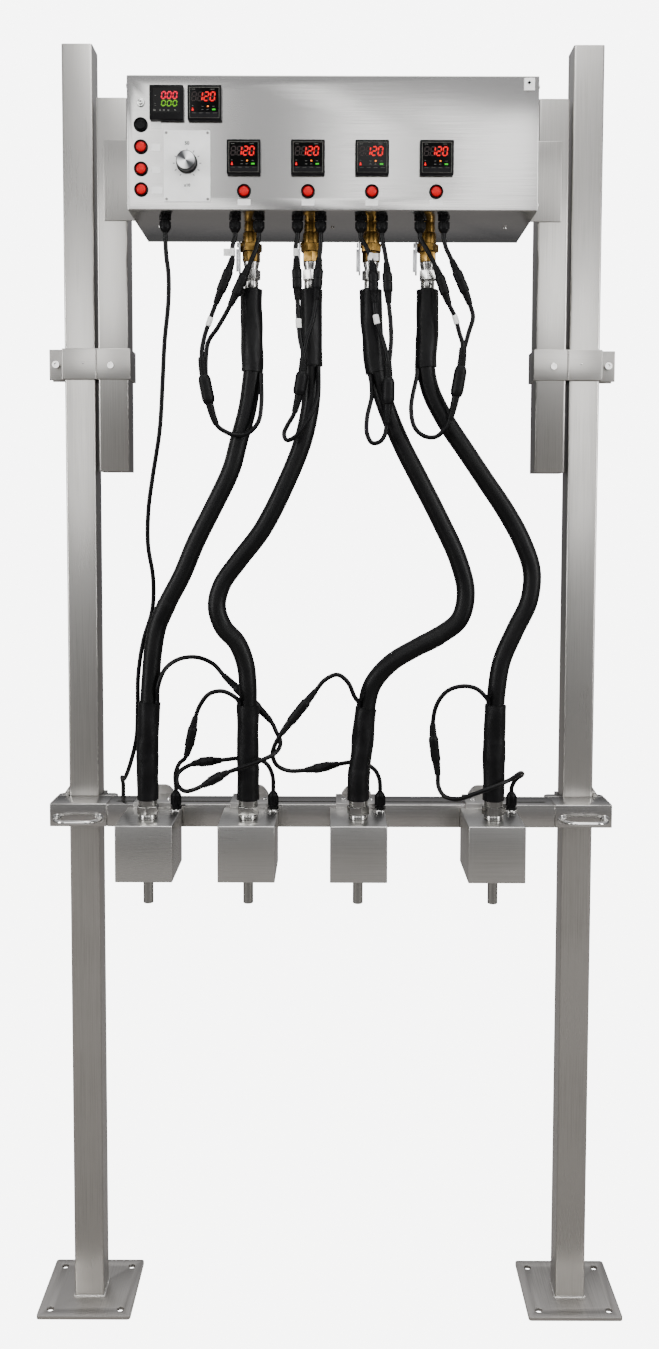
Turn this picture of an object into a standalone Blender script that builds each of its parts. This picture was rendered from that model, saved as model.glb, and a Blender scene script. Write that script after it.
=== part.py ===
# Four-head wax filling machine on a two-post stand.
# A control cabinet hangs between two short tubes that are strapped to the posts.
# Four heated hoses run from ball valves under the cabinet to four heated filling
# heads, which hang on a slotted beam that slides up and down the posts.
# Metres, +Z up, front towards -Y. The origin is on the floor, under the middle of
# the machine's box, measured without the free hoses and leads.

import math

import bmesh
import bpy
from mathutils import Vector

# Shared clearances
FIT_GAP = 0.0003            # between two pieces that touch
CUT_OVERRUN = 0.002         # how far every cutter runs past the wall that it cuts
ROUND_SIDES = 20            # sides of a turned piece
SMALL_SIDES = 12            # sides of a small turned piece
TINY_SIDES = 8              # sides of a gland, a screw or a bezel ring
LEAD_SIDES_LEVEL = 2        # bevel resolution of thin leads
HOSE_SIDES_LEVEL = 4        # bevel resolution of the heated hoses
SHARP_EDGE_DEGREES = 35     # edges that bend more than this stay sharp
UPRIGHT_AXIS_SHARE = 0.99   # an axis this close to +Z takes its first side from +X
ROUTE_SPACING = 0.002       # between the points of a smooth route

# Stand: two square posts on welded base plates
POST_SIDE = 0.0508
POST_WALL = 0.00476
POST_CORNER = 0.003
STAND_HEIGHT = 2.1336
CAP_THICKNESS = 0.003
PLATE_SIDE = 0.160
PLATE_THICKNESS = 0.00635
PLATE_CORNER = 0.006
PLATE_HOLE_SPACING = 0.120
PLATE_HOLE_DIAMETER = 0.012

# Mount tubes: two short tubes inside the posts that carry the cabinet
MOUNT_LENGTH = 0.6096
MOUNT_WALL = 0.003175
MOUNT_TOP_BELOW_POST_TOP = 0.086
MOUNT_TO_POST_GAP = 0.005
CABINET_TO_MOUNT_GAP = 0.0331

# Strap clamps round each post and mount tube
STRAP_HEIGHT = 0.0508
STRAP_THICKNESS = 0.0032
STRAP_CENTRE_ABOVE_MOUNT_BOTTOM = 0.1773
LUG_REACH = 0.028
LUG_SETBACK = 0.012
CLAMP_SCREW_RADIUS = 0.004
CLAMP_HEAD_RADIUS = 0.0065
CLAMP_HEAD_HEIGHT = 0.007
CLAMP_NUT_RADIUS = 0.0075
CLAMP_NUT_HEIGHT = 0.006
CLAMP_SCREW_TIP = 0.003

# Cabinet
CABINET_WIDTH = 0.6096
CABINET_DEPTH = 0.2032
CABINET_HEIGHT = 0.196
CABINET_WALL = 0.0015
CABINET_BEHIND_POST_FRONT = 0.004
CABINET_TOP_BELOW_MOUNT_TOP = 0.0358
CABINET_BACK_THICKNESS = 0.0015
BRACKET_THICKNESS = 0.003
BRACKET_HEIGHT = 0.130
BRACKET_SIDE_LENGTH = 0.060
BRACKET_TUBE_LAP = 0.038

# Panel: digital controllers
CONTROLLER_SIDE = 0.050
CONTROLLER_BEZEL_DEPTH = 0.008
CONTROLLER_BODY_SIDE = 0.0446
CONTROLLER_BODY_DEPTH = 0.062
CONTROLLER_CUTOUT_CLEARANCE = 0.0004
BOARD_INSET = 0.004
BOARD_HEIGHT = 0.030
BOARD_THICKNESS = 0.003
ZONE_X_SHARES = (-0.21572, -0.06004, 0.09547, 0.25213)    # of the cabinet's width
ZONE_CONTROLLER_ABOVE_BOTTOM = 0.0758
UPPER_CONTROLLER_INSETS = (0.0598, 0.1158)
UPPER_CONTROLLER_ABOVE_BOTTOM = 0.1538

# Panel: lit push switches, jack and labels
SWITCH_BEZEL_RADIUS = 0.0106
SWITCH_BEZEL_HEIGHT = 0.0035
BUTTON_RADIUS = 0.0080
BUTTON_PROUD = 0.0032
BUTTON_CLEARANCE = 0.0004
BUTTON_COLLAR_RADIUS = 0.0095
BUTTON_COLLAR_LENGTH = 0.010
COLUMN_INSET = 0.0208
COLUMN_SWITCHES_ABOVE_BOTTOM = (0.1238, 0.0918, 0.0598, 0.0298)
ZONE_SWITCH_ABOVE_BOTTOM = 0.0278
JACK_ABOVE_BOTTOM = 0.1558
JACK_RADIUS = 0.0062
JACK_BORE_RADIUS = 0.003
JACK_PROUD = 0.004

# Panel: dial plate and knob
DIAL_PLATE_WIDTH = 0.0687
DIAL_PLATE_HEIGHT = 0.1036
DIAL_PLATE_THICKNESS = 0.0015
DIAL_PLATE_X_SHARE = -0.35367
DIAL_PLATE_ABOVE_BOTTOM = 0.012
DIAL_CENTRE_ABOVE_BOTTOM = 0.0678
DIAL_KNOB_RADIUS = 0.0148
DIAL_KNOB_LENGTH = 0.018
DIAL_KNOB_WAIST_SHARE = 0.86
DIAL_KNOB_SKIRT_SHARE = 0.3
DIAL_SHAFT_RADIUS = 0.003
DIAL_SHAFT_CLEARANCE = 0.0005
DIAL_POT_RADIUS = 0.012
DIAL_POT_LENGTH = 0.014

# Inside and behind the cabinet
MANIFOLD_HEIGHT = 0.030
MANIFOLD_DEPTH = 0.034
MANIFOLD_END_MARGIN = 0.030
INLET_PIPE_RADIUS = 0.0105
INLET_PIPE_BEHIND_COVER = 0.012
INLET_NUT_RADIUS = 0.0135
INLET_NUT_LENGTH = 0.010
INLET_HOLE_CLEARANCE = 0.0005
POWER_INLET_SIZE = (0.048, 0.028)
POWER_INLET_X_SHARE = -0.32808
POWER_INLET_ABOVE_BOTTOM = 0.060
POWER_INLET_BODY_DEPTH = 0.022
POWER_INLET_FLANGE_DEPTH = 0.004
POWER_INLET_FLANGE_RIM = 0.005
RAIL_LENGTH = 0.360
RAIL_HEIGHT = 0.035
RAIL_DEPTH = 0.0075
RAIL_ABOVE_BOTTOM = 0.090
RELAY_SIZE = (0.036, 0.055, 0.070)
RELAY_SPACING = 0.060
RELAY_COUNT = 5

# Ball valves and glands under the cabinet
VALVE_X_SHARES = (-0.20587, -0.05413, 0.09843, 0.24196)    # of the cabinet's width
VALVE_AHEAD_OF_POST_FRONT = 0.125
VALVE_NIPPLE_RADIUS = 0.0100
VALVE_NIPPLE_CLEARANCE = 0.0005
VALVE_NUT_RADIUS = 0.0160
VALVE_BODY_RADIUS = 0.0135
VALVE_TOP_NUT_HEIGHT = 0.012
VALVE_BODY_HEIGHT = 0.038
VALVE_LOWER_NUT_HEIGHT = 0.0125
VALVE_BELOW_CABINET = 0.003
VALVE_BOSS_RADIUS = 0.0070
VALVE_BOSS_REACH = 0.0165
LEVER_THICKNESS = 0.004
LEVER_HUB_RADIUS = 0.0065
LEVER_WIDTH = 0.011
LEVER_LENGTH = 0.046
LEVER_ROUND_STEPS = 5
SWIVEL_NUT_RADIUS = 0.0132
SWIVEL_NUT_HEIGHT = 0.018
FERRULE_RADIUS = 0.0108
FERRULE_HEIGHT = 0.0182
GLAND_X_SHARES = (-0.41667, -0.24278, -0.18373, -0.08694, -0.02953, 0.07054,
                  0.12303, 0.21818, 0.27723)
GLAND_AHEAD_OF_POST_FRONT = 0.160
GLAND_NUT_RADIUS = 0.0088
GLAND_NUT_HEIGHT = 0.007
GLAND_BODY_RADIUS = 0.0070
GLAND_TIP_RADIUS = 0.0048
GLAND_HEIGHT = 0.0235
GLAND_NECK_RADIUS = 0.0055
GLAND_NECK_CLEARANCE = 0.0005
GLAND_NECK_LENGTH = 0.006
GLAND_STRIP_WIDTH = 0.016
GLAND_STRIP_HEIGHT = 0.004

# Beam that carries the heads
BEAM_TOP = 0.8907
BEAM_HEIGHT = 0.0381
BEAM_DEPTH = 0.062
BEAM_END_INSIDE_POST_CENTRE = 0.0501
BEAM_WALL = 0.003
BEAM_TO_POST_GAP = 0.0008
SLOT_WIDTH = 0.007
SLOT_BEHIND_FRONT = 0.020
SLOT_END_MARGIN = 0.012
END_OUTER_REACH = 0.019
REAR_CLAMP_WALL = 0.004
CLAMP_CLEARANCE = 0.0008
REAR_PLATE_INNER = 0.030
REAR_PLATE_DEPTH = 0.020
REAR_PLATE_CORNER = 0.006
REAR_GUSSET_RISE = 0.015
LOCK_STUD_RADIUS = 0.004
LOCK_STUD_CLEARANCE = 0.0004
LOCK_KNOB_RADIUS = 0.016
LOCK_KNOB_LENGTH = 0.018
LOCK_KNOB_STANDOFF = 0.008
LOCK_KNOB_WAIST_SHARE = 0.55

# Pull handles on the beam ends
HANDLE_BAR_RADIUS = 0.004
HANDLE_HALF_SPAN = 0.0354
HANDLE_STANDOFF = 0.030
HANDLE_BEND_RADIUS = 0.020
HANDLE_BEND_STEPS = 5
HANDLE_FOOT_RADIUS = 0.0078
HANDLE_FOOT_THICKNESS = 0.002
HANDLE_BELOW_BEAM_TOP = 0.0247

# Filling heads
HEAD_X_SHARES = (-0.78455, -0.35501, 0.11653, 0.69648)    # of the beam's half length
HEAD_WIDTH = 0.0889
HEAD_HEIGHT = 0.0889
HEAD_FRONT_AHEAD = 0.190
HEAD_WALL = 0.0015
HEAD_TOP_BELOW_BEAM_TOP = 0.0048
HEAD_AXIS_AHEAD = 0.140
HANGER_THICKNESS = 0.003
HANGER_WIDTH = 0.070
HANGER_HOOK_DEPTH = 0.012
HANGER_GUSSET_RISE = 0.016
HANGER_GUSSET_BASE = 0.056
HANGER_GUSSET_TOP = 0.030
HANGER_SCREW_HALF_SPACING = 0.022
HANGER_SCREW_RADIUS = 0.0027
HANGER_SCREW_HEAD_RADIUS = 0.005
HANGER_SCREW_HEAD_HEIGHT = 0.003
HANGER_NUT_RADIUS = 0.0062
HANGER_NUT_HEIGHT = 0.004
NOZZLE_RADIUS = 0.0080
NOZZLE_LENGTH = 0.0466
NOZZLE_CLEARANCE = 0.0005
WAX_BORE_RADIUS = 0.0018
CORE_RADIUS = 0.021
CORE_BOTTOM_MARGIN = 0.008
NECK_RADIUS = 0.0110
NECK_CLEARANCE = 0.0005
COLLAR_RADIUS = 0.0152
COLLAR_HEIGHT = 0.0075
FITTING_HEX_RADIUS = 0.0182
FITTING_HEX_HEIGHT = 0.0125
FITTING_NUT_RADIUS = 0.0150
FITTING_NUT_HEIGHT = 0.0100
HEAD_GLAND_SIDE = 0.037
HEAD_GLAND_BEHIND_AXIS = 0.058
HEAD_GLAND_HEIGHT = 0.031

# Heated hoses and their heat-shrunk cuffs
HOSE_DIAMETER = 0.029
CUFF_DIAMETER = 0.0345
HOSE_STEP_SHARE = 2.2
CUFF_EDGE = 0.002
UPPER_CUFF_LENGTHS = (0.126, 0.117, 0.127, 0.119)
LOWER_CUFF_LENGTHS = (0.154, 0.150, 0.146, 0.151)

# Leads and their in-line connectors
LEAD_DIAMETER = 0.006
LEAD_STEP_SHARE = 3
LEAD_EXIT_RUN = 0.006
LEAD_BESIDE_HOSE_GAP = 0.0008
CONNECTOR_EDGE = 0.0015
JOINER_MEET_SHARE = 0.35
# Half section of a connector: two tapered boots on a thicker body, as shares of its
# length with the radius at each.
CONNECTOR_STATIONS = ((0.03, 0.0044), (0.26, 0.0062), (0.29, 0.0076), (0.71, 0.0076),
                      (0.74, 0.0062), (1.0, 0.0044))

# The front reach of the dial knob and the rear reach of the base plates set where
# the posts' front plane lies in the frame.
CABINET_REACH = CABINET_DEPTH - CABINET_BEHIND_POST_FRONT
FRONT_REACH = CABINET_REACH + FIT_GAP + DIAL_PLATE_THICKNESS + FIT_GAP + DIAL_KNOB_LENGTH
BACK_REACH = POST_SIDE / 2 + PLATE_SIDE / 2
POST_FRONT = (FRONT_REACH - BACK_REACH) / 2
POST_BACK = POST_FRONT + POST_SIDE
POST_MIDDLE = POST_FRONT + POST_SIDE / 2
MOUNT_INNER_X = CABINET_WIDTH / 2 + CABINET_TO_MOUNT_GAP
MOUNT_OUTER_X = MOUNT_INNER_X + POST_SIDE
POST_INNER_X = MOUNT_OUTER_X + MOUNT_TO_POST_GAP
POST_CENTRE_X = POST_INNER_X + POST_SIDE / 2
POST_OUTER_X = POST_CENTRE_X + POST_SIDE / 2
MOUNT_TOP = STAND_HEIGHT - MOUNT_TOP_BELOW_POST_TOP
MOUNT_BOTTOM = MOUNT_TOP - MOUNT_LENGTH
STRAP_Z = MOUNT_BOTTOM + STRAP_CENTRE_ABOVE_MOUNT_BOTTOM
ZONE_X = [CABINET_WIDTH * share for share in ZONE_X_SHARES]
UPPER_CONTROLLER_X = [inset - CABINET_WIDTH / 2 for inset in UPPER_CONTROLLER_INSETS]
COLUMN_X = COLUMN_INSET - CABINET_WIDTH / 2
DIAL_PLATE_X = CABINET_WIDTH * DIAL_PLATE_X_SHARE
POWER_INLET_X = CABINET_WIDTH * POWER_INLET_X_SHARE
VALVE_X = [CABINET_WIDTH * share for share in VALVE_X_SHARES]
GLAND_X = [CABINET_WIDTH * share for share in GLAND_X_SHARES]
CABINET_FRONT = POST_FRONT - CABINET_REACH
CABINET_BACK = POST_FRONT + CABINET_BEHIND_POST_FRONT
CABINET_TOP = MOUNT_TOP - CABINET_TOP_BELOW_MOUNT_TOP
CABINET_BOTTOM = CABINET_TOP - CABINET_HEIGHT
VALVE_Y = POST_FRONT - VALVE_AHEAD_OF_POST_FRONT
GLAND_Y = POST_FRONT - GLAND_AHEAD_OF_POST_FRONT
VALVE_TOP = CABINET_BOTTOM - VALVE_BELOW_CABINET
VALVE_BODY_TOP = VALVE_TOP - VALVE_TOP_NUT_HEIGHT
VALVE_BODY_BOTTOM = VALVE_BODY_TOP - VALVE_BODY_HEIGHT
VALVE_BOTTOM = VALVE_BODY_BOTTOM - VALVE_LOWER_NUT_HEIGHT
LEVER_Z = (VALVE_BODY_TOP + VALVE_BODY_BOTTOM) / 2
FERRULE_BOTTOM = VALVE_BOTTOM - FIT_GAP - SWIVEL_NUT_HEIGHT - FERRULE_HEIGHT
GLAND_BOTTOM = CABINET_BOTTOM - GLAND_HEIGHT
BEAM_HALF_LENGTH = POST_CENTRE_X - BEAM_END_INSIDE_POST_CENTRE
HEAD_X = [BEAM_HALF_LENGTH * share for share in HEAD_X_SHARES]
BEAM_BACK = POST_FRONT - BEAM_TO_POST_GAP
BEAM_FRONT = BEAM_BACK - BEAM_DEPTH
BEAM_BOTTOM = BEAM_TOP - BEAM_HEIGHT
SLOT_Y = BEAM_FRONT + SLOT_BEHIND_FRONT
END_OUTER_X = POST_OUTER_X + END_OUTER_REACH
HEAD_TOP = BEAM_TOP - HEAD_TOP_BELOW_BEAM_TOP
HEAD_BOTTOM = HEAD_TOP - HEAD_HEIGHT
HEAD_FRONT = POST_FRONT - HEAD_FRONT_AHEAD
HANGER_LEG_BACK = BEAM_FRONT - FIT_GAP
HEAD_BACK = HANGER_LEG_BACK - HANGER_THICKNESS
HEAD_AXIS_Y = POST_FRONT - HEAD_AXIS_AHEAD
NOZZLE_BOTTOM = HEAD_BOTTOM - NOZZLE_LENGTH
COLLAR_TOP = HEAD_TOP + FIT_GAP + COLLAR_HEIGHT
FITTING_HEX_TOP = COLLAR_TOP + FIT_GAP + FITTING_HEX_HEIGHT
FITTING_TOP = FITTING_HEX_TOP + FIT_GAP + FITTING_NUT_HEIGHT
HEAD_GLAND_Y = HEAD_AXIS_Y + HEAD_GLAND_BEHIND_AXIS
HEAD_GLAND_TOP = HEAD_TOP + HEAD_GLAND_HEIGHT
SIDES = (-1, 1)
UP = Vector((0, 0, 1))

# Routes of the hoses between their cuffs' ends, in metres, from valve to head.
HOSE_ROUTES = (
    ((-0.1255, -0.068, 1.650), (-0.124, -0.068, 1.595), (-0.127, -0.068, 1.565),
     (-0.133, -0.069, 1.527), (-0.145, -0.070, 1.482), (-0.157, -0.071, 1.437),
     (-0.184, -0.072, 1.380), (-0.213, -0.074, 1.322), (-0.235, -0.076, 1.270),
     (-0.258, -0.078, 1.226), (-0.273, -0.079, 1.190), (-0.280, -0.081, 1.150),
     (-0.283, -0.082, 1.115), (-0.286, -0.083, 1.072), (-0.2895, -0.083, 0.990)),
    ((-0.033, -0.068, 1.650), (-0.032, -0.068, 1.597), (-0.033, -0.068, 1.544),
     (-0.045, -0.069, 1.482), (-0.073, -0.070, 1.412), (-0.109, -0.072, 1.342),
     (-0.147, -0.074, 1.292), (-0.172, -0.076, 1.256), (-0.180, -0.078, 1.222),
     (-0.170, -0.079, 1.190), (-0.148, -0.081, 1.165), (-0.135, -0.082, 1.132),
     (-0.131, -0.083, 1.095), (-0.131, -0.083, 1.067), (-0.131, -0.083, 0.990)),
    ((0.062, -0.068, 1.650), (0.069, -0.068, 1.588), (0.083, -0.068, 1.538),
     (0.107, -0.069, 1.480), (0.138, -0.070, 1.420), (0.170, -0.071, 1.358),
     (0.199, -0.073, 1.295), (0.211, -0.074, 1.243), (0.201, -0.076, 1.202),
     (0.170, -0.077, 1.177), (0.132, -0.079, 1.157), (0.093, -0.081, 1.133),
     (0.065, -0.082, 1.100), (0.055, -0.083, 1.062), (0.048, -0.083, 0.990)),
    ((0.1475, -0.068, 1.650), (0.146, -0.068, 1.595), (0.154, -0.068, 1.558),
     (0.177, -0.069, 1.513), (0.208, -0.070, 1.467), (0.240, -0.071, 1.420),
     (0.272, -0.072, 1.373), (0.298, -0.074, 1.326), (0.314, -0.075, 1.279),
     (0.310, -0.077, 1.232), (0.288, -0.079, 1.185), (0.268, -0.081, 1.138),
     (0.260, -0.083, 1.091), (0.258, -0.083, 1.060), (0.257, -0.083, 0.990)),
)

# In-line connectors under the cabinet: the ends of each, from the gland side down.
# Each line has two leads with a connector each, and a joiner where they meet.
UPPER_CONNECTORS = (
    ((-0.152, -0.103, 1.755), (-0.178, -0.101, 1.686)),
    ((-0.127, -0.105, 1.743), (-0.156, -0.103, 1.683)),
    ((-0.200, -0.098, 1.606), (-0.178, -0.092, 1.504)),
    ((-0.055, -0.103, 1.755), (-0.053, -0.101, 1.692)),
    ((-0.020, -0.103, 1.755), (-0.025, -0.101, 1.692)),
    ((-0.044, -0.101, 1.606), (-0.058, -0.097, 1.522)),
    ((0.060, -0.103, 1.749), (0.064, -0.101, 1.688)),
    ((0.082, -0.103, 1.749), (0.086, -0.101, 1.688)),
    ((0.085, -0.101, 1.600), (0.084, -0.097, 1.504)),
    ((0.157, -0.105, 1.742), (0.178, -0.103, 1.686)),
    ((0.181, -0.103, 1.753), (0.210, -0.101, 1.686)),
    ((0.200, -0.098, 1.622), (0.182, -0.092, 1.513)),
)

# Leads from each gland to its connector, and from the connector to the joiner:
# the points between the ends.
UPPER_LEADS_IN = (
    ((-0.152, -0.103, 1.772),),
    ((-0.116, -0.105, 1.768),),
    ((-0.056, -0.103, 1.773),),
    ((-0.018, -0.103, 1.773),),
    ((0.052, -0.103, 1.770),),
    ((0.078, -0.103, 1.772),),
    ((0.143, -0.105, 1.768),),
    ((0.172, -0.103, 1.772),),
)
UPPER_LEADS_OUT = (
    ((-0.187, -0.100, 1.662), (-0.196, -0.099, 1.635)),
    ((-0.175, -0.102, 1.650), (-0.190, -0.099, 1.628)),
    ((-0.052, -0.101, 1.662), (-0.049, -0.101, 1.632)),
    ((-0.030, -0.101, 1.662), (-0.039, -0.101, 1.632)),
    ((0.068, -0.101, 1.660), (0.078, -0.101, 1.630)),
    ((0.089, -0.101, 1.660), (0.090, -0.101, 1.630)),
    ((0.187, -0.101, 1.668), (0.194, -0.099, 1.645)),
    ((0.215, -0.100, 1.667), (0.209, -0.099, 1.645)),
)
# Loops from each joiner back up to the foot of the hose's upper cuff.
UPPER_LOOPS = (
    ((-0.166, -0.091, 1.494), (-0.150, -0.092, 1.488), (-0.131, -0.092, 1.490),
     (-0.114, -0.091, 1.508), (-0.109, -0.088, 1.540)),
    ((-0.068, -0.095, 1.504), (-0.074, -0.095, 1.490), (-0.070, -0.097, 1.480),
     (-0.058, -0.100, 1.484), (-0.037, -0.101, 1.510), (-0.023, -0.096, 1.545)),
    ((0.081, -0.097, 1.488), (0.074, -0.098, 1.478), (0.062, -0.098, 1.476),
     (0.054, -0.097, 1.490), (0.054, -0.095, 1.515), (0.061, -0.091, 1.548)),
    ((0.173, -0.092, 1.497), (0.160, -0.092, 1.486), (0.143, -0.092, 1.487),
     (0.128, -0.091, 1.500), (0.122, -0.089, 1.530)),
)
# Where each loop meets the cuff's foot, as a direction from the hose's axis.
UPPER_LOOP_SIDES_SHARE = ((0.80, -0.60), (0.55, -0.84), (-0.60, -0.80), (-0.80, -0.60))

# In-line connectors above the heads: the ends of each.
LOWER_CONNECTORS = (
    ((-0.212, -0.095, 1.050), (-0.229, -0.081, 0.985)),
    ((-0.173, -0.047, 1.110), (-0.096, -0.055, 1.036)),
    ((-0.160, -0.113, 0.966), (-0.200, -0.109, 0.944)),
    ((-0.222, -0.061, 0.968), (-0.176, -0.047, 0.972)),
    ((-0.024, -0.096, 1.092), (-0.078, -0.095, 1.023)),
    ((-0.041, -0.066, 0.960), (0.012, -0.047, 0.966)),
    ((0.159, -0.097, 1.041), (0.168, -0.090, 0.957)),
)
# Leads above the heads: the hose whose lower cuff each starts at, the head whose
# gland it ends in, and its points and connectors between.
LOWER_LEADS = (
    (1, 0, ((-0.152, -0.104, 1.084), (-0.170, -0.107, 1.092), (-0.190, -0.104, 1.087),
            (-0.205, -0.098, 1.068), LOWER_CONNECTORS[0], (-0.243, -0.058, 0.968),
            (-0.252, -0.036, 0.945))),
    (0, 1, ((-0.270, -0.098, 1.098), (-0.260, -0.092, 1.124), (-0.240, -0.072, 1.138),
            (-0.212, -0.050, 1.138), (-0.188, -0.043, 1.126), LOWER_CONNECTORS[1],
            (-0.088, -0.062, 1.022), (-0.080, -0.080, 1.008), (-0.085, -0.100, 0.996),
            (-0.105, -0.113, 0.986), (-0.132, -0.115, 0.976), LOWER_CONNECTORS[2],
            (-0.213, -0.104, 0.937), (-0.230, -0.094, 0.932), (-0.243, -0.080, 0.940),
            (-0.243, -0.069, 0.955), LOWER_CONNECTORS[3], (-0.150, -0.041, 0.974),
            (-0.125, -0.035, 0.974), (-0.104, -0.029, 0.962), (-0.095, -0.026, 0.942))),
    (2, 2, ((0.036, -0.104, 1.084), (0.026, -0.108, 1.106), (0.010, -0.106, 1.118),
            (-0.010, -0.100, 1.109), LOWER_CONNECTORS[4], (-0.087, -0.093, 1.008),
            (-0.092, -0.090, 0.990), (-0.086, -0.084, 0.972), (-0.068, -0.075, 0.961),
            LOWER_CONNECTORS[5], (0.035, -0.040, 0.968), (0.056, -0.034, 0.964),
            (0.072, -0.029, 0.952), (0.079, -0.026, 0.936))),
    (3, 3, ((0.238, -0.103, 1.086), (0.225, -0.107, 1.097), (0.205, -0.108, 1.101),
            (0.182, -0.106, 1.094), (0.166, -0.101, 1.074), LOWER_CONNECTORS[6],
            (0.169, -0.092, 0.940), (0.177, -0.100, 0.927), (0.196, -0.110, 0.924),
            (0.225, -0.115, 0.934), (0.255, -0.113, 0.945), (0.281, -0.100, 0.953),
            (0.300, -0.075, 0.958), (0.307, -0.050, 0.950), (0.299, -0.033, 0.938))),
)
LOWER_LEAD_SIDES_SHARE = ((0.75, -0.66), (-0.70, -0.71), (-0.70, -0.71), (-0.70, -0.71))

# The long thin cable from the first gland, down behind the first hose and over the
# beam, to a gland on the beam's back.
LONG_CABLE = (
    (-0.253, -0.102, 1.760), (-0.250, -0.099, 1.730), (-0.251, -0.095, 1.690),
    (-0.258, -0.089, 1.630), (-0.262, -0.083, 1.574), (-0.268, -0.077, 1.497),
    (-0.281, -0.071, 1.420), (-0.288, -0.066, 1.373), (-0.290, -0.060, 1.318),
    (-0.283, -0.055, 1.265), (-0.285, -0.052, 1.215), (-0.300, -0.051, 1.164),
    (-0.308, -0.053, 1.111), (-0.309, -0.055, 1.060), (-0.312, -0.050, 1.010),
    (-0.325, -0.030, 0.965), (-0.342, 0.010, 0.930), (-0.3525, 0.045, 0.924),
    (-0.354, 0.0650, 0.908),
)
CABLE_GLAND_SIZE = 0.016
CABLE_GLAND_HEIGHT = 0.024
CABLE_GLAND_BELOW_BEAM_TOP = 0.006
CABLE_GLAND_INSET = 0.015
CABLE_GLAND_X = CABLE_GLAND_INSET - BEAM_HALF_LENGTH


def linear(hex_colour):
    """Turn an sRGB hex colour into linear values."""
    values = [int(hex_colour[i:i + 2], 16) / 255 for i in (1, 3, 5)]
    low_limit, offset, scale, gain = 0.04045, 0.055, 1.055, 12.92
    return [v / gain if v <= low_limit else ((v + offset) / scale) ** 2.4 for v in values]


def material(name, hex_colour, roughness, metallic):
    made = bpy.data.materials.new(name)
    made.use_nodes = True
    shader = made.node_tree.nodes["Principled BSDF"]
    shader.inputs["Base Color"].default_value = (*linear(hex_colour), 1)
    shader.inputs["Roughness"].default_value = roughness
    shader.inputs["Metallic"].default_value = metallic
    return made


def clear_scene():
    for thing in list(bpy.data.objects):
        bpy.data.objects.remove(thing, do_unlink=True)


def link(thing, finish, parent=None, pivot=(0, 0, 0)):
    """Link an object, give it its material, and put its origin on its pivot."""
    bpy.context.scene.collection.objects.link(thing)
    thing.data.materials.append(finish)
    thing.parent = parent
    thing.location = Vector(pivot) - world_place(parent)
    return thing


def world_place(holder):
    """Where a carriage stands, counted up through the ones that carry it."""
    place = Vector((0, 0, 0))
    while holder:
        place += holder.location
        holder = holder.parent
    return place


def solid(name, bm, finish, parent=None, pivot=(0, 0, 0)):
    """Make one object of a bmesh that was drawn in the frame's own places."""
    bmesh.ops.recalc_face_normals(bm, faces=bm.faces)
    bmesh.ops.translate(bm, verts=bm.verts, vec=-Vector(pivot))
    mesh = bpy.data.meshes.new(name)
    bm.to_mesh(mesh)
    bm.free()
    mesh.shade_smooth()
    mesh.set_sharp_from_angle(angle=math.radians(SHARP_EDGE_DEGREES))
    return link(bpy.data.objects.new(name, mesh), finish, parent, pivot)


def carriage(name, place, parent=None):
    """An empty that the pieces of a moving body hang on."""
    holder = bpy.data.objects.new(name, None)
    bpy.context.scene.collection.objects.link(holder)
    holder.parent = parent
    holder.location = Vector(place) - world_place(parent)
    return holder


def add_box(bm, low, high):
    lo, hi = Vector(low), Vector(high)
    corners = [bm.verts.new((x, y, z)) for z in (lo.z, hi.z) for y in (lo.y, hi.y)
               for x in (lo.x, hi.x)]
    for face in ((0, 2, 3, 1), (4, 5, 7, 6), (0, 1, 5, 4), (2, 6, 7, 3), (0, 4, 6, 2),
                 (1, 3, 7, 5)):
        bm.faces.new([corners[i] for i in face])


def add_prism(bm, outline, start, end, axis="z"):
    """Extrude a closed outline along an axis, between two places on it."""
    def spot(a, b, h):
        return {"x": (h, a, b), "y": (a, h, b), "z": (a, b, h)}[axis]
    lower = [bm.verts.new(spot(a, b, start)) for a, b in outline]
    upper = [bm.verts.new(spot(a, b, end)) for a, b in outline]
    count = len(outline)
    for i in range(count):
        j = (i + 1) % count
        bm.faces.new((lower[i], lower[j], upper[j], upper[i]))
    bm.faces.new(list(reversed(lower)))
    bm.faces.new(upper)


def rounded_outline(centre, width, depth, radius, steps=3):
    """A rectangle with round corners, listed anticlockwise."""
    points = []
    for quarter, (sx, sy) in enumerate(((1, 1), (-1, 1), (-1, -1), (1, -1))):
        cx = centre[0] + sx * (width / 2 - radius)
        cy = centre[1] + sy * (depth / 2 - radius)
        for k in range(steps + 1):
            angle = math.radians(90) * (quarter + k / steps)
            points.append((cx + radius * math.cos(angle), cy + radius * math.sin(angle)))
    return points


def add_turned(bm, start, direction, profile, sides=ROUND_SIDES, bored=False):
    """Turn a profile of (radius, height) round an axis. A bored profile is a closed
    outline round the wall of the piece, and any other is capped at both ends."""
    axis = Vector(direction).normalized()
    side = axis.orthogonal().normalized()
    if abs(axis.z) > UPRIGHT_AXIS_SHARE:
        side = Vector((1, 0, 0))
    other = axis.cross(side)
    start = Vector(start)
    rings = []
    for radius, height in profile:
        ring = []
        for i in range(sides):
            angle = math.tau * i / sides
            reach = side * math.cos(angle) + other * math.sin(angle)
            ring.append(bm.verts.new(start + axis * height + reach * radius))
        rings.append(ring)
    pairs = list(zip(rings, rings[1:]))
    if bored:
        pairs.append((rings[-1], rings[0]))
    for a, b in pairs:
        for i in range(sides):
            j = (i + 1) % sides
            bm.faces.new((a[i], a[j], b[j], b[i]))
    if not bored:
        bm.faces.new(list(reversed(rings[0])))
        bm.faces.new(rings[-1])


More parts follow.
